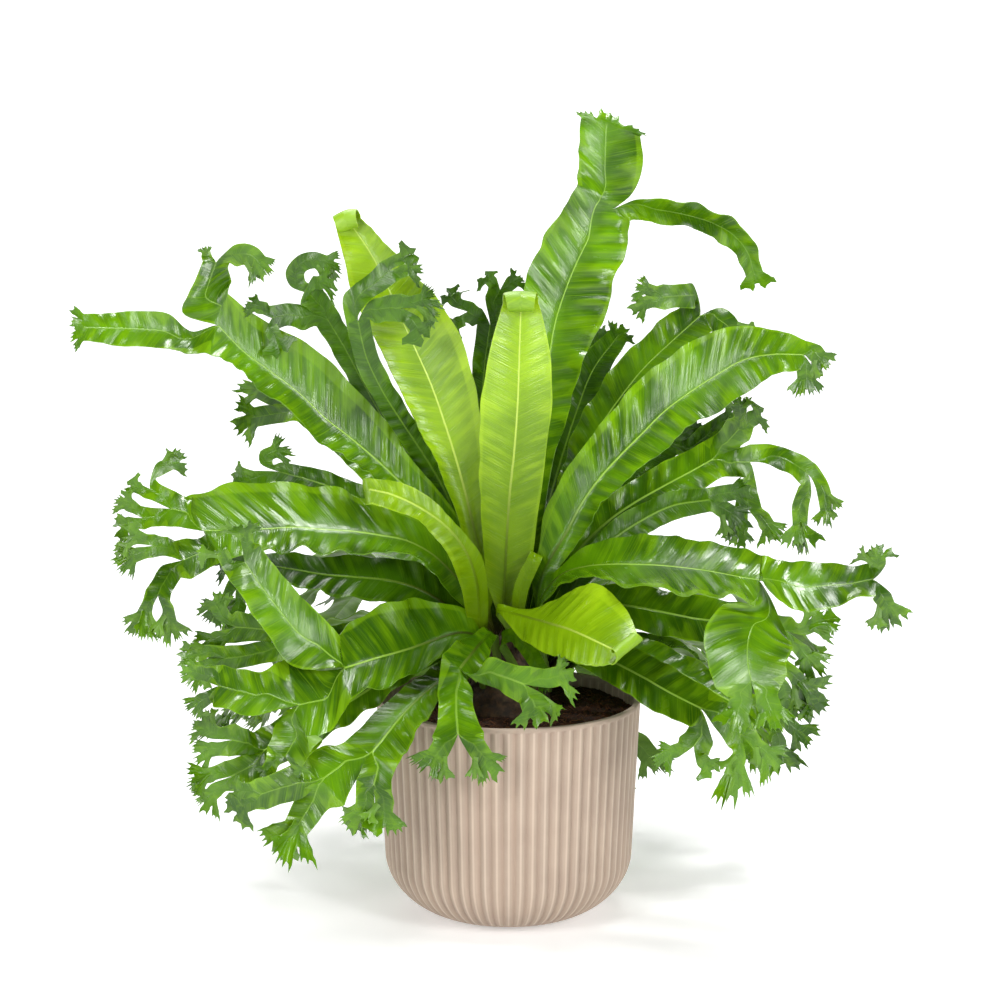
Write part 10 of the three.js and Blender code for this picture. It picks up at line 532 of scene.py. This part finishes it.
# ---------------------------------------------------------------- materials
class Nodes:
    def __init__(self, name):
        self.mat = bpy.data.materials.new(name)
        self.mat.use_nodes = True
        self.nt = self.mat.node_tree
        self.bsdf = next(n for n in self.nt.nodes if n.type == "BSDF_PRINCIPLED")

    def link(self, a, b):
        self.nt.links.new(a, b)

    def put(self, socket, value):
        if hasattr(value, "is_output"):
            self.link(value, socket)
        else:
            socket.default_value = value

    def math(self, op, a, b=0.0, c=0.0, clamp=False):
        n = self.nt.nodes.new("ShaderNodeMath")
        n.operation = op
        n.use_clamp = clamp
        for s, v in zip(n.inputs, (a, b, c)):
            self.put(s, v)
        return n.outputs[0]

    def ramp(self, x, lo, hi, a=0.0, b=1.0):
        n = self.nt.nodes.new("ShaderNodeMapRange")
        n.interpolation_type = "SMOOTHSTEP"
        self.put(n.inputs["Value"], x)
        n.inputs["From Min"].default_value = lo
        n.inputs["From Max"].default_value = hi
        n.inputs["To Min"].default_value = a
        n.inputs["To Max"].default_value = b
        return n.outputs[0]

    def mix(self, f, a, b, blend="MIX"):
        n = self.nt.nodes.new("ShaderNodeMix")
        n.data_type = "RGBA"
        n.blend_type = blend
        n.clamp_factor = True
        self.put(n.inputs[0], f)
        for s, v in ((n.inputs[6], a), (n.inputs[7], b)):
            self.put(s, v if hasattr(v, "is_output") else (*v, 1.0))
        return n.outputs[2]

    def noise(self, scale, detail=3.0, rough=0.55, vector=None, out="Fac"):
        n = self.nt.nodes.new("ShaderNodeTexNoise")
        n.inputs["Scale"].default_value = scale
        n.inputs["Detail"].default_value = detail
        n.inputs["Roughness"].default_value = rough
        self.link(vector if vector is not None else self.coord(), n.inputs["Vector"])
        return n.outputs[out]

    def coord(self):
        if not hasattr(self, "_c"):
            self._c = self.nt.nodes.new("ShaderNodeTexCoord").outputs["Object"]
        return self._c

    def coord_xyz(self):
        s = self.nt.nodes.new("ShaderNodeSeparateXYZ")
        self.link(self.coord(), s.inputs[0])
        return s.outputs[0], s.outputs[1], s.outputs[2]

    def combine(self, x, y, z):
        n = self.nt.nodes.new("ShaderNodeCombineXYZ")
        for s, v in zip(n.inputs, (x, y, z)):
            self.put(s, v)
        return n.outputs[0]

    def attribute(self, name):
        n = self.nt.nodes.new("ShaderNodeAttribute")
        n.attribute_type = "GEOMETRY"
        n.attribute_name = name
        s = self.nt.nodes.new("ShaderNodeSeparateXYZ")
        self.link(n.outputs["Vector"], s.inputs[0])
        return s.outputs[0], s.outputs[1], s.outputs[2]

    def bump(self, height, strength, distance):
        n = self.nt.nodes.new("ShaderNodeBump")
        n.inputs["Strength"].default_value = strength
        n.inputs["Distance"].default_value = distance
        self.link(height, n.inputs["Height"])
        return n.outputs[0]


def lin(r, g, b):
    f = lambda c: (c / 255 / 12.92) if c / 255 <= 0.04045 else ((c / 255 + 0.055) / 1.055) ** 2.4
    return (f(r), f(g), f(b))


def leaf_material(name, deep, mid, light, rib, rough, gloss, shade=0.55, fine=0.0009, reach=180.0):
    deepest = tuple(c * 0.45 for c in deep)
    m = Nodes(name)
    x, v, ident = m.attribute("leafco")
    au, brown, upper = m.attribute("leafaux")
    ribbed, pleat, tone = m.attribute("leafmore")
    ax = m.math("ABSOLUTE", x)
    c = m.math("SUBTRACT", v, m.math("MULTIPLY", ax, VEIN_SLANT))
    side = m.math("SIGN", x)
    # colour: broad patches, then bands along the lateral veins that are partly vein colour and partly painted highlight
    # streaks, then painted highlight and shade on the pleats, then hair-fine veins
    patch = m.noise(22.0, 3.0, 0.5)
    bands = m.noise(1.0, 3.0, 0.6, m.combine(m.math("MULTIPLY", c, 0.16), m.math("MULTIPLY", ax, 0.012), m.math("ADD", m.math("MULTIPLY", ident, 37.0), m.math("MULTIPLY", side, 5.0))))
    hairs = m.noise(1.0, 2.0, 0.5, m.combine(m.math("MULTIPLY", c, 1.15), m.math("MULTIPLY", ax, 0.02), m.math("MULTIPLY", side, 9.0)))
    col = m.mix(m.ramp(patch, 0.32, 0.68), deep, mid)
    # lighter bands along the lateral veins: partly vein colour, partly painted highlight streaks
    col = m.mix(m.math("MULTIPLY", m.ramp(bands, 0.45, 0.72), 0.3), col, light)
    # painted highlight on the pleat crests and painted shade in the pleat hollows
    col = m.mix(m.ramp(pleat, 0.1, 0.9, 0.0, 0.3), col, light)
    col = m.mix(m.ramp(pleat, -0.1, -0.9, 0.0, 0.35), col, deep)
    col = m.mix(m.math("MULTIPLY", m.ramp(hairs, 0.5, 0.75), 0.28), col, light)
    col = m.mix(m.math("MULTIPLY", m.ramp(hairs, 0.45, 0.2), 0.3), col, deep)
    col = m.mix(tone, col, deepest)
    # the thin margin is paler
    col = m.mix(m.math("MULTIPLY", m.ramp(au, 0.93, 1.0), 0.35), col, light)
    # the midrib: pale, brown towards the crown
    w = m.math("ADD", 0.42, m.math("MULTIPLY", m.ramp(v, 0.0, 260.0, 1.0, 0.0), 0.7))
    onrib = m.ramp(m.math("DIVIDE", ax, w), 1.25, 0.55)
    ribcol = m.mix(m.ramp(v, 45.0, 140.0), lin(52, 34, 18), rib)
    col = m.mix(m.math("MULTIPLY", m.math("MULTIPLY", onrib, ribbed), m.ramp(v, 150.0, 420.0, 0.75, 0.42)), col, ribcol)
    # painted shade: each blade darkens towards its foot, deep in the crown
    col = m.mix(m.ramp(v, reach, 15.0, 0.0, shade), col, deepest)
    stalk = m.ramp(v, 34.0, 6.0)
    col = m.mix(m.math("MULTIPLY", stalk, 0.8), col, lin(46, 32, 16))
    # brown points of the crest teeth
    spots = m.noise(160.0, 2.0, 0.6)
    col = m.mix(m.math("MULTIPLY", m.ramp(m.math("ADD", brown, m.math("MULTIPLY", spots, 0.35)), 0.98, 1.22), 0.8), col, lin(108, 100, 62))
    # paler, duller underside
    dull = m.mix(0.3, col, lin(112, 152, 50))
    col = m.mix(m.math("SUBTRACT", 1.0, upper), col, dull)
    m.link(col, m.bsdf.inputs["Base Color"])
    r = m.math("ADD", rough, m.math("MULTIPLY", m.ramp(bands, 0.35, 0.7, 0.1, -0.06), 1.0))
    r = m.math("ADD", r, m.math("MULTIPLY", m.math("SUBTRACT", 1.0, upper), 0.18))
    r = m.math("ADD", r, m.math("MULTIPLY", m.math("SUBTRACT", spots, 0.5), 0.06), clamp=True)
    m.link(r, m.bsdf.inputs["Roughness"])
    h = m.math("ADD", m.math("MULTIPLY", hairs, 0.55), m.math("MULTIPLY", m.noise(420.0, 2.0, 0.6), 0.18))
    h = m.math("ADD", h, m.math("MULTIPLY", onrib, 0.25))
    m.link(m.bump(h, 0.55, fine), m.bsdf.inputs["Normal"])
    # the foot of a frond is duller than its blade
    m.link(m.ramp(v, 30.0, 230.0, 0.08, gloss), m.bsdf.inputs["Specular IOR Level"])
    return m.mat


LEAF = {
    "mature": leaf_material("leaf_mature", lin(42, 78, 2), lin(82, 129, 3), lin(124, 168, 12), lin(152, 192, 70), 0.17, 0.42, 0.56, 0.0007),
    "young": leaf_material("leaf_young", lin(102, 140, 5), lin(138, 178, 10), lin(170, 206, 30), lin(200, 222, 96), 0.19, 0.48, 0.85, 0.0010, 205.0),
    # the dark kind is a darker copy of the mature leaf, used for the fronds behind and under the crown: painted shade
    "dark": leaf_material("leaf_dark", lin(38, 72, 2), lin(64, 106, 4), lin(98, 142, 12), lin(130, 168, 56), 0.22, 0.34),
}

LOOK = {
    "mature": dict(pleat=12.0, pleat_mm=0.85, wave_mm=2.7, ragged=0.045),
    "young": dict(pleat=9.0, pleat_mm=0.6, wave_mm=1.6, ragged=0.03),
    "dark": dict(pleat=11.0, pleat_mm=0.85, wave_mm=2.5, ragged=0.055),
}
# how much darker than its kind each frond is
TONE = {"frond_front_young": 0.1, "frond_left_small_young": 0.2, "frond_left_young": 0.12, "frond_centre_young": 0.0, "frond_left_low": 0.08,
        "frond_left_middle": 0.16, "frond_right_low": 0.16, "frond_top": 0.0, "frond_left_long": 0.0, "frond_right_long": 0.0}
for index, (name, kind, tree) in enumerate(FRONDS):
    rng = np.random.RandomState(100 + index)
    look = dict(LOOK[kind])
    look["pleat"] *= rng.uniform(0.88, 1.15)
    look["phase"] = rng.uniform(0.8, 2.4)
    look["drift"] = [noise1(rng) for _ in range(4)]
    sh = Sheet(rng, rng.uniform(0, 1), TONE.get(name, 0.08))
    grow(sh, tree, None, None, 0, 0, 0.0, look)
    pts, tri, co, aux, more = solidify(sh)
    ob = mesh_object("leaf_" + name, pts, tri, (("leafco", co), ("leafaux", aux), ("leafmore", more)), 55)
    ob.data.materials.append(LEAF[kind])
    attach(ob, "root")
    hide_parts(name)

# ---------------------------------------------------------------- pot
POT = dict(rim=92.0, h=152.0, foot_r=86.5, foot_z=42.0, base=40.0, wall=4.2, floor=5.0, flutes=68, depth=1.75, lip=2.0)


def pot_radius(z):
    p = POT
    z = np.asarray(z, float)
    up = p["foot_r"] + (p["rim"] - p["foot_r"]) * (z - p["foot_z"]) / (p["h"] - p["foot_z"])
    a = np.arcsin(np.clip(1 - z / p["foot_z"], 0, 1) ** (1 / 1.1))
    low = p["base"] + (p["foot_r"] - p["base"]) * np.cos(a) ** 1.1
    return np.where(z >= p["foot_z"], up, low)


def build_pot():
    p = POT
    per = 12
    n = p["flutes"] * per
    th = np.arange(n) * 2 * math.pi / n
    wave = 0.5 + 0.5 * np.cos(th * p["flutes"])  # 1 on a ridge
    groove = (1 - wave**0.62) ** 1.15
    prof = []
    zs = list(np.linspace(0.6, 3.5, 4)) + list(np.linspace(5, p["foot_z"], 18)) + list(np.linspace(p["foot_z"] + 6, p["h"] - p["lip"] - 3, 16))
    zs += [p["h"] - p["lip"] - 2.0, p["h"] - p["lip"] - 1.2, p["h"] - p["lip"] - 0.6, p["h"] - p["lip"] - 0.1]
    prof.append((p["base"] - 1.0, 0.0, 0.0))
    prof.append((p["base"] + 0.2, 0.12, 0.0))
    for z in zs:
        f = float(smooth((z - 0.6) / 6.0) * smooth((p["h"] - p["lip"] - 0.2 - z) / 1.9))
        prof.append((float(pot_radius(z)), z, p["depth"] * f))
    for z, r in ((p["h"] - p["lip"] + 0.3, 91.75), (p["h"] - 1.6, 91.9), (p["h"] - 0.9, 91.85), (p["h"] - 0.4, 91.6), (p["h"] - 0.1, 91.1), (p["h"], 90.5), (p["h"], 89.0), (p["h"] - 0.15, 88.4), (p["h"] - 0.6, 87.95), (p["h"] - 1.4, 87.75)):
        prof.append((r, z, 0.0))
    for z in (p["h"] - 4, p["h"] - 9, 120.0, 80.0, 42.0, 30.0, 20.0, 12.0):
        prof.append((float(pot_radius(z)) - p["wall"], z, 0.0))
    prof.append((p["base"], p["floor"], 0.0))
    rings = []
    for r, z, d in prof:
        rr = r - d * groove
        rings.append(np.stack([rr * np.cos(th), rr * np.sin(th), np.full(n, z)], 1))
    pts = np.concatenate(rings + [np.array([[0, 0, 0.0], [0, 0, p["floor"]]])])
    tri = []
    i = np.arange(n)
    j = (i + 1) % n
    for k in range(len(rings) - 1):
        a, b = k * n, (k + 1) * n
        tri += [np.stack([a + i, a + j, b + j], 1), np.stack([a + i, b + j, b + i], 1)]
    cb = len(rings) * n
    tri.append(np.stack([np.full(n, cb), j, i], 1))
    last = (len(rings) - 1) * n
    tri.append(np.stack([np.full(n, cb + 1), last + i, last + j], 1))
    return pts * MM, np.concatenate(tri)


def pot_material():
    m = Nodes("pot_clay")
    x, y, z = (m.nt.nodes.new("ShaderNodeSeparateXYZ"), None, None)
    m.link(m.coord(), x.inputs[0])
    px, py, pz = x.outputs
    ang = m.math("ARCTAN2", py, px)
    ridge = m.math("COSINE", m.math("MULTIPLY", ang, float(POT["flutes"])))
    band = m.math("MULTIPLY", m.ramp(pz, 0.1498, 0.148), m.ramp(pz, 0.002, 0.008))
    # painted shade: the flute hollows are darkened in colour
    groove = m.math("MULTIPLY", m.ramp(ridge, 0.1, -0.95), band)
    body = m.mix(m.ramp(m.noise(30.0, 4.0, 0.6), 0.3, 0.7), lin(158, 141, 126), lin(168, 151, 135))
    body = m.mix(m.math("MULTIPLY", groove, 0.5), body, lin(148, 128, 113))
    # painted highlight: the flute ridges are lightened in colour
    crest = m.math("MULTIPLY", m.ramp(ridge, 0.72, 1.0), band)
    body = m.mix(m.math("MULTIPLY", crest, 0.4), body, lin(208, 190, 172))
    speck = m.noise(900.0, 2.0, 0.7)
    body = m.mix(m.math("MULTIPLY", m.ramp(speck, 0.62, 0.75), 0.3), body, lin(172, 150, 131))
    # each flute a touch different, as in glazed clay
    streak = m.noise(1.0, 2.0, 0.5, m.combine(m.math("MULTIPLY", ang, 20.0), m.math("MULTIPLY", pz, 6.0), 0.0))
    body = m.mix(m.math("MULTIPLY", m.ramp(streak, 0.4, 0.7), 0.22), body, lin(186, 163, 143))
    m.link(body, m.bsdf.inputs["Base Color"])
    m.link(m.math("ADD", 0.6, m.math("MULTIPLY", m.noise(60.0, 3.0, 0.6), 0.14)), m.bsdf.inputs["Roughness"])
    m.bsdf.inputs["Specular IOR Level"].default_value = 0.35
    h = m.math("ADD", m.math("MULTIPLY", m.noise(500.0, 3.0, 0.65), 0.5), m.math("MULTIPLY", m.noise(60.0, 3.0, 0.5), 0.5))
    m.link(m.bump(h, 0.25, 0.0006), m.bsdf.inputs["Normal"])
    return m.mat


pts, tri = build_pot()
pot = mesh_object("pot_fine", pts, tri, (), 40)
pot.data.materials.append(pot_material())
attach(pot, "root")
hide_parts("pot")

# ---------------------------------------------------------------- soil
SOIL_Z, SOIL_RISE = 143.0, 2.0


def value_noise(seed, size=64):
    g = np.random.RandomState(seed).rand(size, size)

    def f(x, y):
        x, y = np.asarray(x, float) % size, np.asarray(y, float) % size
        i, j = x.astype(int) % size, y.astype(int) % size
        a, b = smooth(x - np.floor(x)), smooth(y - np.floor(y))
        i2, j2 = (i + 1) % size, (j + 1) % size
        return (g[i, j] * (1 - a) + g[i2, j] * a) * (1 - b) + (g[i, j2] * (1 - a) + g[i2, j2] * a) * b

    return f


def soil_top(x, y):
    r = np.hypot(x, y)
    z = SOIL_Z + SOIL_RISE * smooth((80 - r) / 55.0)
    n1, n2, n3 = value_noise(3), value_noise(4), value_noise(5)
    z = z + 2.6 * (n1(x / 9 + 20, y / 9 + 20) - 0.5) + 2.4 * (n2(x / 3.6 + 30, y / 3.6 + 30) - 0.5) + 1.6 * (n3(x / 1.5 + 31, y / 1.5 + 31) - 0.5)
    return z - 0.4


def build_soil():
    rng = np.random.RandomState(21)
    n = 220
    th = np.arange(n) * 2 * math.pi / n
    edge = lambda z: float(pot_radius(z)) - POT["wall"] - 0.3
    radii = np.r_[np.linspace(1.5, 20, 10), np.linspace(22, edge(SOIL_Z) - 0.05, 46)]
    rings = []
    for r in radii:
        x, y = r * np.cos(th), r * np.sin(th)
        z = soil_top(x, y)
        rings.append(np.stack([x, y, z], 1))
    for z in (130.0, 90.0, 42.0, 24.0, 12.0):
        r = edge(z) - 0.2
        rings.append(np.stack([r * np.cos(th), r * np.sin(th), np.full(n, z)], 1))
    rings.append(np.stack([38.0 * np.cos(th), 38.0 * np.sin(th), np.full(n, POT["floor"] + 0.3)], 1))
    pts = [np.concatenate(rings), np.array([[0, 0, float(soil_top(np.array([0.0]), np.array([0.0]))[0])], [0, 0, POT["floor"] + 0.3]])]
    tri = []
    i = np.arange(n)
    j = (i + 1) % n
    for k in range(len(rings) - 1):
        a, b = k * n, (k + 1) * n
        tri += [np.stack([a + i, b + j, a + j], 1), np.stack([a + i, b + i, b + j], 1)]
    c = len(rings) * n
    tri.append(np.stack([np.full(n, c), i, j], 1))
    last = (len(rings) - 1) * n
    tri.append(np.stack([np.full(n, c + 1), last + j, last + i], 1))
    base = c + 2
    tone = [np.zeros(base)]
    # coir fibres and crumbs lying in the surface
    for q in range(900):
        r = 30 + (edge(SOIL_Z) - 34) * math.sqrt(rng.rand())
        a = rng.uniform(0, 6.2832)
        x, y = r * math.cos(a), r * math.sin(a)
        ln, rad = rng.uniform(3, 11), rng.uniform(0.16, 0.34)
        way = rng.uniform(0, 6.2832)
        bend = rng.uniform(-0.9, 0.9)
        k = 5
        body = []
        px, py = x, y
        for s in range(k):
            f = s / (k - 1)
            w = way + bend * f
            px += math.cos(w) * ln / k
            py += math.sin(w) * ln / k
            rr = math.hypot(px, py)
            if rr > edge(SOIL_Z) - 0.8:
                px, py = px * (edge(SOIL_Z) - 0.8) / rr, py * (edge(SOIL_Z) - 0.8) / rr
            pz = float(soil_top(np.array([px]), np.array([py]))[0]) + rng.uniform(0.0, 0.6) + 0.5 * math.sin(math.pi * f)
            side = np.array([-math.sin(w), math.cos(w), 0])
            t = rad * (0.5 + math.sin(math.pi * (0.15 + 0.7 * f)))
            C = np.array([px, py, pz])
            body += [C + side * t, C - side * t * 0.5 + np.array([0, 0, t * 0.85]), C - side * t * 0.5 - np.array([0, 0, t * 0.85])]
        b = base
        pts.append(np.array(body))
        base += len(body)
        tone.append(np.full(len(body), rng.uniform(0.25, 1.0)))
        T = []
        for s in range(k - 1):
            for e in range(3):
                p0, p1 = b + 3 * s + e, b + 3 * s + (e + 1) % 3
                q0, q1 = p0 + 3, p1 + 3
                T += [(p0, q1, p1), (p0, q0, q1)]
        T += [(b, b + 1, b + 2), (b + 3 * k - 3, b + 3 * k - 1, b + 3 * k - 2)]
        tri.append(np.array(T))
    P = np.concatenate(pts)
    t = np.concatenate(tone)
    return P * MM, np.concatenate(tri), np.stack([t, t, t], 1)


def soil_material():
    m = Nodes("soil_coir")
    t, _, _ = m.attribute("tone")
    n = m.noise(240.0, 4.0, 0.65)
    big = m.noise(45.0, 3.0, 0.5)
    col = m.mix(m.ramp(n, 0.3, 0.72), lin(26, 15, 9), lin(74, 45, 27))
    col = m.mix(m.math("MULTIPLY", m.ramp(big, 0.45, 0.7), 0.5), col, lin(48, 28, 16))
    col = m.mix(m.math("MULTIPLY", t, 0.7), col, lin(116, 76, 46))
    m.link(col, m.bsdf.inputs["Base Color"])
    m.link(m.math("ADD", 0.82, m.math("MULTIPLY", n, 0.15)), m.bsdf.inputs["Roughness"])
    m.bsdf.inputs["Specular IOR Level"].default_value = 0.25
    m.link(m.bump(m.noise(700.0, 4.0, 0.7), 0.7, 0.0012), m.bsdf.inputs["Normal"])
    return m.mat


pts, tri, tone = build_soil()
soil = mesh_object("soil_fine", pts, tri, (("tone", tone),), None)
soil.data.materials.append(soil_material())
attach(soil, "root")
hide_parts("soil")

# ---------------------------------------------------------------- crown
CROWN = [(0, 143.5), (31.5, 143.5), (31, 147), (28, 160), (24.5, 172), (20, 182), (13.5, 190), (7, 195), (0, 197)]


def build_crown():
    rng = np.random.RandomState(31)
    n = 96
    th = np.arange(n) * 2 * math.pi / n
    zs = np.array([c[1] for c in CROWN[1:]], float)
    rs = np.array([c[0] for c in CROWN[1:]], float)
    z = np.linspace(zs[0], 196.4, 40)
    r = np.interp(z, zs, rs)
    f = value_noise(12)
    rings = []
    for k in range(len(z)):
        w = f(th * 64 / 6.2832 * 0.5, np.full(n, z[k] / 2.6)) + 0.6 * f(th * 64 / 6.2832, np.full(n, z[k] / 1.2 + 7))
        rr = r[k] * (1 - 0.1 * (1.2 - w))
        rings.append(np.stack([rr * np.cos(th), rr * np.sin(th), np.full(n, z[k])], 1))
    pts = [np.concatenate(rings), np.array([[0, 0, zs[0]], [0, 0, 197.0]])]
    i = np.arange(n)
    j = (i + 1) % n
    tri = []
    for k in range(len(rings) - 1):
        a, b = k * n, (k + 1) * n
        tri += [np.stack([a + i, a + j, b + j], 1), np.stack([a + i, b + j, b + i], 1)]
    c = len(rings) * n
    tri.append(np.stack([np.full(n, c), j, i], 1))
    last = (len(rings) - 1) * n
    tri.append(np.stack([np.full(n, c + 1), last + i, last + j], 1))
    base = c + 2
    # papery scales, pointing up
    for q in range(420):
        zz = rng.uniform(150, 194)
        a = rng.uniform(0, 6.2832)
        R = float(np.interp(zz, zs, rs)) * 0.97
        rad = np.array([math.cos(a), math.sin(a), 0])
        tan = np.array([-math.sin(a), math.cos(a), 0])
        up = unit(np.array([0, 0, 1.0]) - rad * 0.35 + rad * rng.uniform(-0.1, 0.45) + tan * rng.uniform(-0.4, 0.4))
        ln, w = rng.uniform(4, 9), rng.uniform(0.9, 1.8)
        P0 = rad * R + np.array([0, 0, zz])
        body = [P0 - tan * w / 2, P0 + tan * w / 2, P0 - rad * 0.5, P0 + up * ln * 0.55 - tan * w * 0.35, P0 + up * ln * 0.55 + tan * w * 0.35, P0 + up * ln * 0.55 - rad * 0.4, P0 + up * ln]
        pts.append(np.array(body))
        b = base
        T = [(0, 1, 4), (0, 4, 3), (1, 2, 5), (1, 5, 4), (2, 0, 3), (2, 3, 5), (3, 4, 6), (4, 5, 6), (5, 3, 6), (0, 2, 1)]
        tri.append(np.array(T) + b)
        base += 7
    return np.concatenate(pts) * MM, np.concatenate(tri)


def crown_material():
    m = Nodes("crown_scales")
    n = m.noise(180.0, 4.0, 0.6)
    col = m.mix(m.ramp(n, 0.3, 0.7), lin(32, 22, 12), lin(78, 56, 32))
    col = m.mix(m.math("MULTIPLY", m.ramp(m.noise(40.0, 2.0, 0.5), 0.5, 0.7), 0.4), col, lin(60, 62, 26))
    m.link(col, m.bsdf.inputs["Base Color"])
    m.link(m.math("ADD", 0.72, m.math("MULTIPLY", n, 0.2)), m.bsdf.inputs["Roughness"])
    m.link(m.bump(m.noise(600.0, 4.0, 0.7), 0.6, 0.001), m.bsdf.inputs["Normal"])
    return m.mat


pts, tri = build_crown()
crown = mesh_object("crown_fine", pts, tri, (), 50)
crown.data.materials.append(crown_material())
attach(crown, "root")
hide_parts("crown")

# ---------------------------------------------------------------- floor, light, camera
def floor_material():
    m = Nodes("floor_white")
    n = m.noise(3.0, 2.0, 0.5)
    m.link(m.mix(n, (0.86, 0.86, 0.86), (0.88, 0.88, 0.88)), m.bsdf.inputs["Base Color"])
    m.bsdf.inputs["Roughness"].default_value = 0.75
    m.bsdf.inputs["Specular IOR Level"].default_value = 0.15
    m.bsdf.inputs["Emission Color"].default_value = (1, 1, 1, 1)
    # the studio's pale surround is evenly lit far off and fades out overhead
    x, y, z = m.coord_xyz()
    r = m.math("SQRT", m.math("ADD", m.math("MULTIPLY", x, x), m.math("MULTIPLY", y, y)))
    m.link(m.math("MULTIPLY", m.ramp(r, 0.5, 2.6, 0.34, 0.96), m.ramp(z, 0.8, 1.7, 1.0, 0.14)), m.bsdf.inputs["Emission Strength"])
    return m.mat


def surround():
    """a round studio floor that turns up into a low pale wall, far outside every view of the plant"""
    prof = [(0.4, 0.0), (1.0, 0.0), (2.0, 0.0), (4.0, 0.0), (6.5, 0.0)]
    for k in range(1, 13):
        a = math.radians(90 * k / 12)
        prof.append((6.5 + 1.5 * math.sin(a), 1.5 - 1.5 * math.cos(a)))
    prof.append((8.0, 4.5))
    n = 96
    pts = [(0.0, 0.0, -0.0004)]
    for r, z in prof:
        for k in range(n):
            th = 2 * math.pi * k / n
            pts.append((r * math.cos(th), r * math.sin(th), z - 0.0004))
    tri = [(0, 1 + k, 1 + (k + 1) % n) for k in range(n)]
    for j in range(len(prof) - 1):
        for k in range(n):
            a, b = 1 + j * n + k, 1 + j * n + (k + 1) % n
            tri += [(a, a + n, b + n), (a, b + n, b)]
    return np.array(pts), np.array(tri)


pts, tri = surround()
floor = mesh_object("floor", pts, tri, (), None)
floor.data.materials.append(floor_material())
floor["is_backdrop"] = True

world = bpy.data.worlds.new("studio")
world.use_nodes = True
bg = next(n for n in world.node_tree.nodes if n.type == "BACKGROUND")
bg.inputs["Color"].default_value = (1.0, 1.0, 1.0, 1.0)
bg.inputs["Strength"].default_value = 0.07
bpy.context.scene.world = world


def area(name, place, target, size, power, size_y=None):
    d = bpy.data.lights.new(name, "AREA")
    d.energy = power
    d.shape = "RECTANGLE"
    d.size = size
    d.size_y = size_y or size
    o = bpy.data.objects.new(name, d)
    o.location = place
    o.rotation_euler = (Vector(target) - Vector(place)).to_track_quat("-Z", "Y").to_euler()
    bpy.context.scene.collection.objects.link(o)
    return o


area("side_left", (-0.95, -1.35, 0.95), (0, 0, 0.28), 0.35, 13.0, 0.7)
area("side_right", (1.0, -1.3, 0.85), (0, 0, 0.28), 0.35, 13.6, 0.7)
area("over", (0.3, -0.1, 1.8), (0, 0, 0.3), 0.4, 22.0)
area("over_back", (-0.3, 0.9, 1.7), (0, 0, 0.3), 0.6, 18.0)

cam = bpy.data.cameras.new("camera")
cam.sensor_fit = "HORIZONTAL"
cam.sensor_width = 36.0
cam.lens = 2882.0 / 1000.0 * 36.0
cam.clip_end = 100.0
camera = bpy.data.objects.new("camera", cam)
camera.location = (-0.0059, -1.9580, 0.6225)
camera.rotation_euler = (math.radians(90 - 9.6), 0, 0)
bpy.context.scene.collection.objects.link(camera)
bpy.context.scene.camera = camera
bpy.context.scene.view_settings.view_transform = "Standard"

# ---------------------------------------------------------------- size, then finish
size_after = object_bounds()
corners = lambda b: [[float(x) for x in b[0]], [float(x) for x in b[1]]]
{"before": corners(size_before), "after": corners(size_after)}
